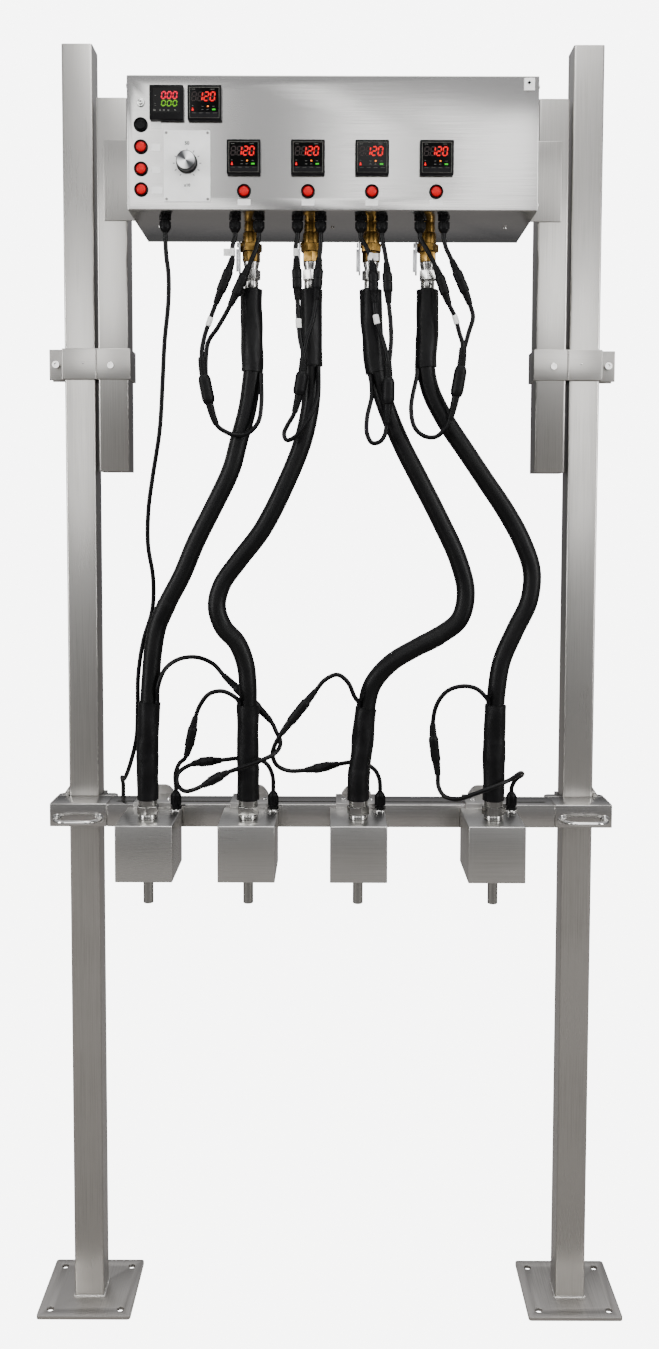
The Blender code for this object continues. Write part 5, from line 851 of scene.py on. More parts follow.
# Dial: a white engraved plate screwed to the panel, with a black skirted knob that has
# a spun aluminium face, on the shaft of a potentiometer.
PLATE_X, PLATE_Z = DIAL_X, CABINET_BOTTOM + 0.012 + 0.1036 / 2
PLATE_FRONT = CABINET_FRONT - GAP - 0.0015
KNOB_BACK, KNOB_RADIUS, KNOB_LENGTH = PLATE_FRONT - GAP, 0.0158, 0.018
ink = moulded_plastic("black engraving fill", "#0A0A0A", "#141415", 0.5)
bm = bmesh.new()
add_plate(bm, PLATE_X, PLATE_Z, 0.0687, 0.1036, CABINET_FRONT - GAP, 0.0015, 0.0012)
cutter = bmesh.new()
turned(cutter, (DIAL_X, PLATE_FRONT - 0.01, DIAL_Z), (0, 1, 0), ((0.0035, 0), (0.0035, 0.02)), 24)
bm = cut_holes(bm, cutter)
add_piece("dial_face", bm, label_sheet, "stand", "dial_plate")
fasten("dial_plate_screws", [(PLATE_X + sx * 0.0305, PLATE_FRONT, PLATE_Z + sz * 0.0480)
                             for sx in (-1, 1) for sz in (-1, 1)], (0, -1, 0),
       0.0019, 0.0010, 0.0009, 16, nut_steel, "stand")

tick_tree, given = new_tree("dial ticks", ("Radius", "Float", 0.0185), ("Count", "Int", 11),
                            ("Sweep", "Float", math.radians(300)), ("Length", "Float", 0.002),
                            ("Finish", "Material", None))
half_sweep = add_node(tick_tree, "ShaderNodeMath", {0: given.outputs["Sweep"]}, {1: 0.5},
                      operation="MULTIPLY")
first = add_node(tick_tree, "ShaderNodeMath", {1: half_sweep.outputs[0]}, {0: math.pi / 2},
                 operation="SUBTRACT")
arc = add_node(tick_tree, "GeometryNodeCurveArc",
               {"Radius": given.outputs["Radius"], "Resolution": given.outputs["Count"],
                "Start Angle": first.outputs[0], "Sweep Angle": given.outputs["Sweep"]})
spots = add_node(tick_tree, "GeometryNodeCurveToPoints", {"Curve": arc.outputs["Curve"]},
                 mode="EVALUATED")
tick_size = add_node(tick_tree, "ShaderNodeCombineXYZ", {"X": given.outputs["Length"]},
                     {"Y": 0.0002, "Z": 0.0009})
tick = add_node(tick_tree, "GeometryNodeMeshCube", {"Size": tick_size.outputs["Vector"]})
placed = add_node(tick_tree, "GeometryNodeInstanceOnPoints",
                  {"Points": spots.outputs["Points"], "Instance": tick.outputs["Mesh"],
                   "Rotation": spots.outputs["Rotation"]})
joined = add_node(tick_tree, "GeometryNodeJoinGeometry", {"Geometry": placed.outputs["Instances"]})
end_tree(tick_tree, given, joined.outputs["Geometry"])
mesh = grow(tick_tree, bpy.data.meshes.new("none"), Radius=0.0196, Count=11, Length=0.0030,
            Finish=ink)
mesh.transform(Matrix.Translation((DIAL_X, PLATE_FRONT - 0.00008, DIAL_Z))
               @ Matrix.Rotation(math.radians(90), 4, "X"))
add_piece("dial_ticks", mesh, ink, "stand")


def add_text(bm, words, place, height, front):
    """Engraved figures on the plate, as a mesh standing just proud of it."""
    font = bpy.data.curves.new("figures", "FONT")
    font.body = words
    font.size = height * 1.4
    font.extrude = 0.00005
    font.offset = height * 0.035
    font.align_x, font.align_y = "CENTER", "CENTER"
    holder = bpy.data.objects.new("figures", font)
    bpy.context.scene.collection.objects.link(holder)
    bpy.context.view_layer.update()
    graph = bpy.context.evaluated_depsgraph_get()
    mesh = bpy.data.meshes.new_from_object(holder.evaluated_get(graph))
    bpy.data.objects.remove(holder, do_unlink=True)
    mesh.transform(Matrix.Translation((place[0], front - 0.00006, place[1]))
                   @ Matrix.Rotation(math.radians(90), 4, "X"))
    bm.from_mesh(mesh)


bm = bmesh.new()
add_text(bm, "50", (DIAL_X, DIAL_Z + 0.0290), 0.0050, PLATE_FRONT)
add_text(bm, "x10", (DIAL_X, DIAL_Z - 0.0320), 0.0044, PLATE_FRONT)
add_piece("dial_figures", bm, ink, "stand")

knob_black = moulded_plastic("black phenolic knob", "#050506", "#090909", 0.28)
spun_face_painted_sheen = bpy.data.materials.new("spun aluminium knob face")
spun_face_painted_sheen.use_nodes = True
tree = spun_face_painted_sheen.node_tree
shader = tree.nodes["Principled BSDF"]
shader.inputs["Metallic"].default_value = 1
spot = add_node(tree, "ShaderNodeTexCoord")
centre = add_node(tree, "ShaderNodeMapping", {"Vector": spot.outputs["Object"]},
                  {"Location": (-DIAL_X, 0, -DIAL_Z)}, vector_type="POINT")
parts = add_node(tree, "ShaderNodeSeparateXYZ", {"Vector": centre.outputs["Vector"]})
# The face's colour swings from dark to bright twice round its centre. This is a painted wedge
# sheen, standing in for the light that spun grooves catch. The fine rings added to it are the
# face's own turned grain.
angle = add_node(tree, "ShaderNodeMath", {0: parts.outputs["Z"], 1: parts.outputs["X"]},
                 operation="ARCTAN2")
doubled = add_node(tree, "ShaderNodeMath", {0: angle.outputs[0]}, {1: 2.0}, operation="MULTIPLY")
painted_wedge_sheen = add_node(tree, "ShaderNodeMath", {0: doubled.outputs[0]}, operation="SINE")
rings = add_node(tree, "ShaderNodeTexWave", {"Vector": centre.outputs["Vector"]},
                 {"Scale": 260.0, "Distortion": 0.0}, wave_type="RINGS", rings_direction="Y")
mixed = add_node(tree, "ShaderNodeMath", {0: rings.outputs["Fac"], 2: painted_wedge_sheen.outputs[0]},
                 {1: 0.3}, operation="MULTIPLY_ADD")
tone = add_node(tree, "ShaderNodeMapRange", {"Value": mixed.outputs[0]},
                {"From Min": -0.7, "From Max": 1.0})
ramp = add_node(tree, "ShaderNodeValToRGB", {"Fac": tone.outputs["Result"]})
ramp.color_ramp.elements[0].color = linear("#3E3F40")
ramp.color_ramp.elements[1].color = linear("#FAFAFA")
tree.links.new(ramp.outputs["Color"], shader.inputs["Base Color"])
shader.inputs["Roughness"].default_value = 0.28
relief = add_node(tree, "ShaderNodeBump", {"Height": rings.outputs["Fac"]},
                  {"Strength": 0.08, "Distance": 0.0001})
tree.links.new(relief.outputs["Normal"], shader.inputs["Normal"])
bm = bmesh.new()
turned(bm, (DIAL_X, KNOB_BACK, DIAL_Z), (0, -1, 0),
       ((0.003, -0.0028), (0.003, 0), (KNOB_RADIUS, 0), (KNOB_RADIUS, 0.0030),
        (KNOB_RADIUS * 0.97, 0.0060), (KNOB_RADIUS * 0.91, 0.0070),
        (KNOB_RADIUS * 0.89, KNOB_LENGTH - 0.0010), (KNOB_RADIUS * 0.87, KNOB_LENGTH - 0.0002),
        (KNOB_RADIUS * 0.845, KNOB_LENGTH - 0.0002), (KNOB_RADIUS * 0.845, KNOB_LENGTH - 0.0014)),
       64)
add_piece("knob_skirt", bm, knob_black, "dial", "dial_knob")
bm = bmesh.new()
turned(bm, (DIAL_X, KNOB_BACK - KNOB_LENGTH + 0.0013, DIAL_Z), (0, -1, 0),
       ((KNOB_RADIUS * 0.84, 0), (KNOB_RADIUS * 0.84, 0.0009), (KNOB_RADIUS * 0.81, 0.0013),
        (KNOB_RADIUS * 0.30, 0.0013), (0.0001, 0.0013)), 64)
add_piece("knob_face", bm, spun_face_painted_sheen, "dial")
bm = bmesh.new()
add_plate(bm, DIAL_X, DIAL_Z + KNOB_RADIUS * 0.9, 0.0008, 0.0032, KNOB_BACK - 0.0042, 0.0012)
add_piece("knob_pointer", bm, label_sheet, "dial")


# Inside the cabinet: the wax manifold that feeds the four valves, the relays on their
# rail, and the potentiometer. They are seen only through the open holes.
aluminium = brushed_stainless("machined aluminium", "X", "#AEB0B2", "#C6C8CA", (0.3, 0.42))
relay_plastic = moulded_plastic("dark relay plastic", "#1D1E20", "#292A2C", 0.45)
for node, finish in (("wax_manifold", aluminium), ("relay_rail", relay_plastic),
                     ("dial_potentiometer", aluminium)):
    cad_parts[node].data.materials.clear()
    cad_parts[node].data.materials.append(finish)
inlet_plastic = moulded_plastic("black nylon power inlet", "#141415", "#1D1D1E", 0.4)
bm = bmesh.new()
x, z = -0.200, CABINET_BOTTOM + 0.060
box(bm, (x - 0.029, CABINET_BACK, z - 0.019), (x + 0.029, CABINET_BACK + 0.004, z + 0.019))
soften(bm, 0.0012, 2)
cutter = bmesh.new()
box(cutter, (x - 0.014, CABINET_BACK + 0.001, z - 0.010), (x + 0.014, CABINET_BACK + 0.02,
                                                           z + 0.010))
bm = cut_holes(bm, cutter)
for dx in (-0.006, 0, 0.006):
    box(bm, (x + dx - 0.001, CABINET_BACK + 0.0005, z - 0.003),
        (x + dx + 0.001, CABINET_BACK + 0.0035, z + 0.003))
add_piece("power_inlet_socket", bm, inlet_plastic, "stand", "cabinet_back")


# Valves: four brass ball valves screwed up into the manifold, each with a nickel swivel
# nut and ferrule for its hose below, and a zinc-plated lever on its left.
VALVE_TOP = CABINET_BOTTOM - 0.003
VALVE_BODY_TOP, VALVE_BODY_BOTTOM = VALVE_TOP - 0.012, VALVE_TOP - 0.050
VALVE_BOTTOM = VALVE_BODY_BOTTOM - 0.0125
LEVER_Z = (VALVE_BODY_TOP + VALVE_BODY_BOTTOM) / 2
brass = bpy.data.materials.new("forged brass, tumbled and aged")
brass.use_nodes = True
tree = brass.node_tree
shader = tree.nodes["Principled BSDF"]
shader.inputs["Metallic"].default_value = 1
spot = add_node(tree, "ShaderNodeTexCoord")
cloud = add_node(tree, "ShaderNodeTexNoise", {"Vector": spot.outputs["Object"]},
                 {"Scale": 90.0, "Detail": 5.0, "Roughness": 0.6})
# Both tones are darker than clean brass: painted shade from the cabinet above the valves. The
# cloudy change between them is the metal's own.
tone = add_node(tree, "ShaderNodeValToRGB", {"Fac": cloud.outputs["Fac"]})
tone.color_ramp.elements[0].position = 0.35
tone.color_ramp.elements[0].color = linear("#54401E")
tone.color_ramp.elements[1].position = 0.68
tone.color_ramp.elements[1].color = linear("#8A6C38")
tree.links.new(tone.outputs["Color"], shader.inputs["Base Color"])
dull = add_node(tree, "ShaderNodeMapRange", {"Value": cloud.outputs["Fac"]},
                {"From Min": 0.3, "From Max": 0.7, "To Min": 0.42, "To Max": 0.26})
tree.links.new(dull.outputs["Result"], shader.inputs["Roughness"])
relief = add_node(tree, "ShaderNodeBump", {"Height": cloud.outputs["Fac"]},
                  {"Strength": 0.2, "Distance": 0.0002})
tree.links.new(relief.outputs["Normal"], shader.inputs["Normal"])
nickel = brushed_stainless("nickel-plated fitting, turned and polished", "Z", "#807F7C",
                           "#A9A8A5", (0.18, 0.28))
lever_steel = brushed_stainless("zinc-plated steel lever", "Z", "#B4B5B7", "#CFD0D2", (0.35, 0.5))


def hex_nut(bm, centre, low, high, across, turn=0.0, chamfer=0.08):
    """A hexagon nut on an upright axis, with its corners chamfered at both ends."""
    one = bmesh.new()
    corners = across / 2 / math.cos(math.radians(30))
    outline = [(centre[0] + corners * math.cos(turn + math.tau * k / 6),
                centre[1] + corners * math.sin(turn + math.tau * k / 6)) for k in range(6)]
    prism(one, outline, low, high)
    soften(one, across * 0.02, 2)
    guard = bmesh.new()
    slope = corners * chamfer
    turned(guard, (*centre, low - 1e-4), (0, 0, 1),
           ((corners - slope * 1.2, 0), (corners * 1.01, slope * 0.8),
            (corners * 1.01, high - low + 2e-4 - slope * 0.8),
            (corners - slope * 1.2, high - low + 2e-4)), 48)
    both = []
    for source in (one, guard):
        bmesh.ops.recalc_face_normals(source, faces=source.faces)
        mesh = bpy.data.meshes.new("nut")
        source.to_mesh(mesh)
        source.free()
        both.append(bpy.data.objects.new("nut", mesh))
        bpy.context.scene.collection.objects.link(both[-1])
    change = both[0].modifiers.new("meet", "BOOLEAN")
    change.operation, change.solver, change.object = "INTERSECT", "EXACT", both[1]
    bpy.context.view_layer.update()
    graph = bpy.context.evaluated_depsgraph_get()
    bm.from_mesh(both[0].evaluated_get(graph).to_mesh())
    for thing in both:
        bpy.data.objects.remove(thing, do_unlink=True)


for number, x in enumerate(VALVE_X):
    bm = bmesh.new()
    turned(bm, (x, VALVE_Y, VALVE_TOP), (0, 0, -1),
           ((0.0100, -0.0045), (0.0108, 0.0), (0.0110, 0.0010), (0.0110, 0.0118),
            (0.0124, 0.0130), (0.0132, 0.0150), (0.0132, 0.0290), (0.0120, 0.0304),
            (0.0112, 0.0420), (0.0112, 0.0574)), 40)
    hex_nut(bm, (x, VALVE_Y), VALVE_TOP - 0.0418, VALVE_TOP - 0.0298, 0.0292, 0.3 * number)
    hex_nut(bm, (x, VALVE_Y), VALVE_TOP - 0.0572, VALVE_TOP - 0.0420, 0.0242, 0.2 + 0.4 * number)
    turned(bm, (x, VALVE_Y, LEVER_Z), (-1, 0, 0),
           ((0.0072, 0.006), (0.0072, 0.0135), (0.0060, 0.0145), (0.0042, 0.0150),
            (0.0042, 0.0165)), 28)
    add_piece(f"valve_{number + 1}_body", bm, brass, "stand", f"valve_{number + 1}")
    bm = bmesh.new()
    turned(bm, (x, VALVE_Y, VALVE_TOP - 0.0572 - GAP), (0, 0, -1),
           ((0.0118, 0), (0.0122, 0.0006), (0.0121, 0.0034), (0.0106, 0.0086),
            (0.0104, 0.0128)), 40)
    hex_nut(bm, (x, VALVE_Y), VALVE_TOP - 0.0842, VALVE_TOP - 0.0700, 0.0246, 0.5 * number)
    turned(bm, (x, VALVE_Y, VALVE_TOP - 0.0838), (0, 0, -1),
           ((0.0098, 0), (0.0098, 0.0012), (0.0104, 0.0020), (0.0108, 0.0030), (0.0108, 0.0136),
            (0.0102, 0.0145)), 40)
    add_piece(f"valve_{number + 1}_swivel_nut", bm, nickel, "stand",
                      f"valve_{number + 1}")
    bm = bmesh.new()
    tip = LEVER_Z - 0.046 + 0.0055
    outline = []
    for middle, radius, begin in ((LEVER_Z, 0.0065, 0), (tip, 0.0055, 180)):
        outline += [(VALVE_Y + radius * math.cos(math.radians(begin + 15 * k)),
                     middle + radius * math.sin(math.radians(begin + 15 * k)))
                    for k in range(13)]
    face = x - 0.0165 - GAP
    prism(bm, outline, face - 0.0026, face, "X")
    rim = rectangle((VALVE_Y - 0.0049, (LEVER_Z + tip) / 2 - 0.004), 0.0012, LEVER_Z - tip - 0.006)
    prism(bm, rim, face - 0.0066, face - 0.0024, "X")
    soften(bm, 0.0005, 2)
    screw_shape(bm, (face - 0.0032, VALVE_Y, LEVER_Z), (-1, 0, 0), 0.0038, 0.0024, 0.0015)
    add_piece(f"valve_{number + 1}_handle", bm, lever_steel, f"lever_{number + 1}",
                      f"valve_{number + 1}_lever")


# Cord glands: black nylon strain reliefs through the cabinet's floor, one for each lead.
# Each has a hexagon nut at its foot and a fluted dome that grips the lead.
GLAND_BOTTOM = CABINET_BOTTOM - 0.0235
gland_nylon = moulded_plastic("black nylon gland, moulded", "#060607", "#0B0B0C", 0.36)
flute_tree, given = new_tree("gland flutes", ("Count", "Int", 18), ("Radius", "Float", 0.0082),
                             ("Height", "Float", 0.011), ("Finish", "Material", None))
circle = add_node(flute_tree, "GeometryNodeCurvePrimitiveCircle",
                  {"Resolution": given.outputs["Count"], "Radius": given.outputs["Radius"]})
spots = add_node(flute_tree, "GeometryNodeCurveToPoints", {"Curve": circle.outputs["Curve"]},
                 mode="EVALUATED")
flute_size = add_node(flute_tree, "ShaderNodeCombineXYZ", {"Z": given.outputs["Height"]},
                      {"X": 0.0011, "Y": 0.0011})
flute = add_node(flute_tree, "GeometryNodeMeshCube", {"Size": flute_size.outputs["Vector"]})
around = add_node(flute_tree, "GeometryNodeInstanceOnPoints",
                  {"Points": spots.outputs["Points"], "Instance": flute.outputs["Mesh"]})
places = add_node(flute_tree, "GeometryNodeMeshToPoints", {"Mesh": given.outputs["Geometry"]})
placed = add_node(flute_tree, "GeometryNodeInstanceOnPoints",
                  {"Points": places.outputs["Points"], "Instance": around.outputs["Instances"]})
end_tree(flute_tree, given, placed.outputs["Instances"])


def add_glands(name, places, up, height, body, *stands_for):
    """Glands at some places, standing up or hanging down by a height."""
    bm = bmesh.new()
    way = 1 if up else -1
    for x, y, z in places:
        hex_nut(bm, (x, y), min(z, z + way * 0.0052), max(z, z + way * 0.0052), 0.0158)
        turned(bm, (x, y, z), (0, 0, way),
               ((0.0052, -0.0050), (0.0052, 0.0002), (0.0066, 0.0048), (0.0066, 0.0066),
                (0.0078, 0.0072), (0.0082, 0.0085), (0.0082, height - 0.0066),
                (0.0074, height - 0.0040), (0.0054, height - 0.0012), (0.0044, height),
                (0.0032, height)), 36)
    spots = bpy.data.meshes.new("spots")
    spots.from_pydata([(x, y, z + way * (height + 0.0008) / 2) for x, y, z in places], [], [])
    bm.from_mesh(grow(flute_tree, spots, Height=height - 0.0142, Finish=gland_nylon))
    add_piece(name, bm, gland_nylon, body, *stands_for)


add_glands("underside_glands", [(x, GLAND_Y, CABINET_BOTTOM) for x in GLAND_X], False, 0.0235,
           "stand", "cord_glands")


# Beam: a folded stainless channel, open below, with one long slot in its top that the
# hangers' screws run in. A small black block on its back takes the long cable.
BEAM_TOP, BEAM_HEIGHT, BEAM_DEPTH, BEAM_WALL = 0.8907, 0.0381, 0.062, 0.003
BEAM_BACK = POST_FRONT - 0.0008
BEAM_FRONT, BEAM_BOTTOM = BEAM_BACK - BEAM_DEPTH, BEAM_TOP - BEAM_HEIGHT
BEAM_HALF, END_OUTER = 0.3690, POST_X + POST_SIDE / 2 + 0.019
SLOT_Y, SLOT_WIDTH, SLOT_HALF = BEAM_FRONT + 0.020, 0.007, BEAM_HALF - 0.012
POST_BACK = POST_FRONT + POST_SIDE


def channel(low_x, high_x, capped=()):
    """A length of channel, open below, with or without its end walls."""
    bm = bmesh.new()
    box(bm, (low_x, BEAM_FRONT, BEAM_BOTTOM), (high_x, BEAM_BACK, BEAM_TOP))
    soften(bm, 0.0013, 3)
    cutter = bmesh.new()
    inside = [low_x + (BEAM_WALL if "low" in capped else -0.01),
              high_x - (BEAM_WALL if "high" in capped else -0.01)]
    box(cutter, (inside[0], BEAM_FRONT + BEAM_WALL, BEAM_BOTTOM - 0.01),
        (inside[1], BEAM_BACK - BEAM_WALL, BEAM_TOP - BEAM_WALL))
    return cut_holes(bm, cutter)


beam_steel = brushed_stainless("brushed stainless channel, level grain", "X", "#9D9B98",
                               "#B3B1AE", (0.18, 0.28))
bm = channel(-BEAM_HALF, BEAM_HALF)
cutter = bmesh.new()
outline = round_corners(rectangle((0, SLOT_Y), 2 * SLOT_HALF, SLOT_WIDTH), SLOT_WIDTH / 2.02, 8)
prism(cutter, outline, BEAM_TOP - BEAM_WALL - 0.01, BEAM_TOP + 0.01)
add_piece("beam_channel", cut_holes(bm, cutter), beam_steel, "beam_carriage", "beam")
bm = bmesh.new()
box(bm, (-0.362, BEAM_BACK, BEAM_TOP - 0.030), (-0.346, BEAM_BACK + 0.016, BEAM_TOP - 0.006))
soften(bm, 0.0016, 3)
turned(bm, (-0.354, BEAM_BACK + 0.008, BEAM_TOP - 0.0075), (0, 0, 1),
       ((0.0062, 0), (0.0062, 0.0004), (0.0052, 0.0012), (0.0036, 0.0015)), 28)
add_piece("beam_cable_gland", bm, gland_nylon, "beam_carriage", "beam")


# Beam ends: short capped channels of the same section, each with a strap welded behind
# it that goes round the post, two small rear plates and a gusset.
for side, name in ((-1, "left"), (1, "right")):
    ends = sorted((side * (BEAM_HALF + GAP), side * END_OUTER))
    pieces = channel(ends[0], ends[1], ("low", "high"))
    inner, outer = POST_X - POST_SIDE / 2 - 0.0008, POST_X + POST_SIDE / 2 + 0.0008
    seat, back, wall = BEAM_BACK - 0.0004, POST_BACK + 0.0008, 0.004
    outline = [(inner - wall, seat), (inner, seat), (inner, back), (outer, back), (outer, seat),
               (outer + wall, seat), (outer + wall, back + wall), (inner - wall, back + wall)]
    strap = bmesh.new()
    prism(strap, [(side * x, y) for x, y in outline], BEAM_BOTTOM, BEAM_TOP - BEAM_WALL)
    soften(strap, 0.0010, 2)
    cutter = bmesh.new()
    turned(cutter, (side * POST_X, back - 0.005, BEAM_TOP - BEAM_HEIGHT / 2), (0, 1, 0),
           ((0.0044, 0), (0.0044, 0.02)), 28)
    strap = cut_holes(strap, cutter)
    rear, corner = BEAM_BACK + 0.020, 0.006
    plates = bmesh.new()
    for outline in (
            [(POST_X - POST_SIDE / 2 - 0.030, BEAM_BACK + GAP), (inner - GAP, BEAM_BACK + GAP),
             (inner - GAP, rear), (POST_X - POST_SIDE / 2 - 0.024, rear),
             (POST_X - POST_SIDE / 2 - 0.030, rear - corner)],
            [(outer + GAP, seat), (END_OUTER, seat), (END_OUTER, rear - corner),
             (END_OUTER - corner, rear), (outer + GAP, rear)]):
        prism(plates, [(side * x, y) for x, y in outline], BEAM_TOP - 2 * BEAM_WALL, BEAM_TOP)
    triangle = [(outer + GAP, BEAM_TOP - BEAM_WALL), (END_OUTER - corner, BEAM_TOP - BEAM_WALL),
                (outer + GAP, BEAM_TOP + 0.015)]
    prism(plates, [(side * x, z) for x, z in triangle], rear - corner - BEAM_WALL, rear - corner,
          "Y")
    soften(plates, 0.0005, 2)
    for source in (strap, plates):
        flat = bpy.data.meshes.new("flat")
        source.to_mesh(flat)
        source.free()
        pieces.from_mesh(flat)
    add_piece(f"{name}_end_channel", pieces, beam_steel, "beam_carriage", f"{name}_beam_end")
    line = bpy.data.meshes.new("line")
    x = side * (END_OUTER - 0.0008)
    line.from_pydata([(x, BEAM_FRONT + 0.006, BEAM_TOP - 0.0006),
                      (x, BEAM_BACK - 0.006, BEAM_TOP - 0.0006)], [(0, 1)], [])
    bead = grow(weld_tree, line, Spacing=0.0020, Bead=0.0011, Finish=weld_steel)
    add_piece(f"{name}_end_weld", bead, weld_steel, "beam_carriage", f"{name}_beam_end")


# Pull handles: one round bar each, chrome plated, bent to a loop and screwed to the
# end section through a flat round foot at each side.
chrome = brushed_stainless("chrome-plated bar, polished", "X", "#B2B1AF", "#CCCBC9", (0.06, 0.12))
HANDLE_Z = BEAM_TOP - 0.0247
for side, name in ((-1, "left"), (1, "right")):
    middle = side * (BEAM_HALF + END_OUTER) / 2
    seat, far, bend, span = BEAM_FRONT - GAP, BEAM_FRONT - 0.030, 0.020, 0.0354
    route = [Vector((middle - span, seat + 0.0002, HANDLE_Z))]
    for end, first in ((-1, 180), (1, 270)):
        for k in range(13):
            angle = math.radians(first + 90 * k / 12)
            route.append(Vector((middle + end * (span - bend) + bend * math.cos(angle),
                                 far + bend + bend * math.sin(angle), HANDLE_Z)))
    route.append(Vector((middle + span, seat + 0.0002, HANDLE_Z)))
    bm = bmesh.new()
    rings = []
    for i, p in enumerate(route):
        way = (route[min(i + 1, len(route) - 1)] - route[max(i - 1, 0)]).normalized()
        up = Vector((0, 0, 1))
        out = way.cross(up)
        rings.append([bm.verts.new(p + 0.004 * (up * math.cos(math.tau * k / 28)
                                                + out * math.sin(math.tau * k / 28)))
                      for k in range(28)])
    for a, b in zip(rings, rings[1:]):
        for k in range(28):
            bm.faces.new((a[k], a[(k + 1) % 28], b[(k + 1) % 28], b[k]))
    bm.faces.new(list(reversed(rings[0])))
    bm.faces.new(rings[-1])
    for end in (-1, 1):
        turned(bm, (middle + end * span, seat, HANDLE_Z), (0, -1, 0),
               ((0.0078, 0), (0.0078, 0.0012), (0.0070, 0.0022), (0.0052, 0.0026),
                (0.0044, 0.0040)), 36)
    add_piece(f"{name}_handle_bar", bm, chrome, "beam_carriage", f"{name}_pull_handle")


# Lock knobs: black phenolic hand knobs behind the posts, each moulded with seven lobes
# round a steel stud whose end bears on the post.
knob_plastic = moulded_plastic("black phenolic hand knob", "#070708", "#0C0C0D", 0.3)
for side, name in ((-1, "left"), (1, "right")):
    place = Vector((side * POST_X, POST_BACK + GAP, BEAM_TOP - BEAM_HEIGHT / 2))
    start = 0.0008 + 0.004 + 0.008 - GAP
    bm = bmesh.new()
    rings = []
    profile = ((0.0001, start), (0.0080, start), (0.0088, start + 0.0008),
               (0.0090, start + 0.0060), (0.0150, start + 0.0092), (0.0160, start + 0.0110),
               (0.0160, start + 0.0155), (0.0150, start + 0.0174), (0.0120, start + 0.0180),
               (0.0001, start + 0.0178))
    for radius, depth in profile:
        ring = []
        for k in range(84):
            angle = math.tau * k / 84
            lobe = 1 - (0.085 * (0.5 - 0.5 * math.cos(7 * angle)) if radius > 0.011 else 0)
            ring.append(bm.verts.new(place + Vector((radius * lobe * math.cos(angle), depth,
                                                     radius * lobe * math.sin(angle)))))
        rings.append(ring)
    for a, b in zip(rings, rings[1:]):
        for k in range(84):
            bm.faces.new((a[k], a[(k + 1) % 84], b[(k + 1) % 84], b[k]))
    bm.faces.new(list(reversed(rings[0])))
    bm.faces.new(rings[-1])
    add_piece(f"{name}_knob_grip", bm, knob_plastic, f"{name}_knob",
                      f"{name}_lock_knob")
    bm = bmesh.new()
    turned(bm, place, (0, 1, 0), ((0.0030, 0), (0.0040, 0.0010), (0.0040, start + 0.0005)), 28)
    add_piece(f"{name}_knob_stud", bm, screw_steel, f"{name}_knob", f"{name}_lock_knob")


# Heads: folded and welded stainless boxes round a heated block. A hanger welded to the
# back of each hooks over the beam and is held by two screws in its slot.
HEAD_X = (-0.2895, -0.131, 0.043, 0.257)
HEAD_SIDE = 0.0889
HEAD_TOP = BEAM_TOP - 0.0048
HEAD_BOTTOM = HEAD_TOP - HEAD_SIDE
HEAD_FRONT, HEAD_AXIS_Y = POST_FRONT - 0.190, POST_FRONT - 0.140
LEG_BACK = BEAM_FRONT - GAP
HEAD_BACK = LEG_BACK - 0.003
HEAD_GLAND_SIDE, HEAD_GLAND_Y = 0.037, HEAD_AXIS_Y + 0.058
HEAD_GLAND_TOP = HEAD_TOP + 0.031
head_steel = brushed_stainless("brushed stainless head cover", "X", "#A9A8A5", "#B9B8B5",
                               (0.24, 0.34))
hanger_steel = brushed_stainless("folded stainless hanger", "X", "#A09E9B", "#B5B3B0",
                                 (0.26, 0.38))
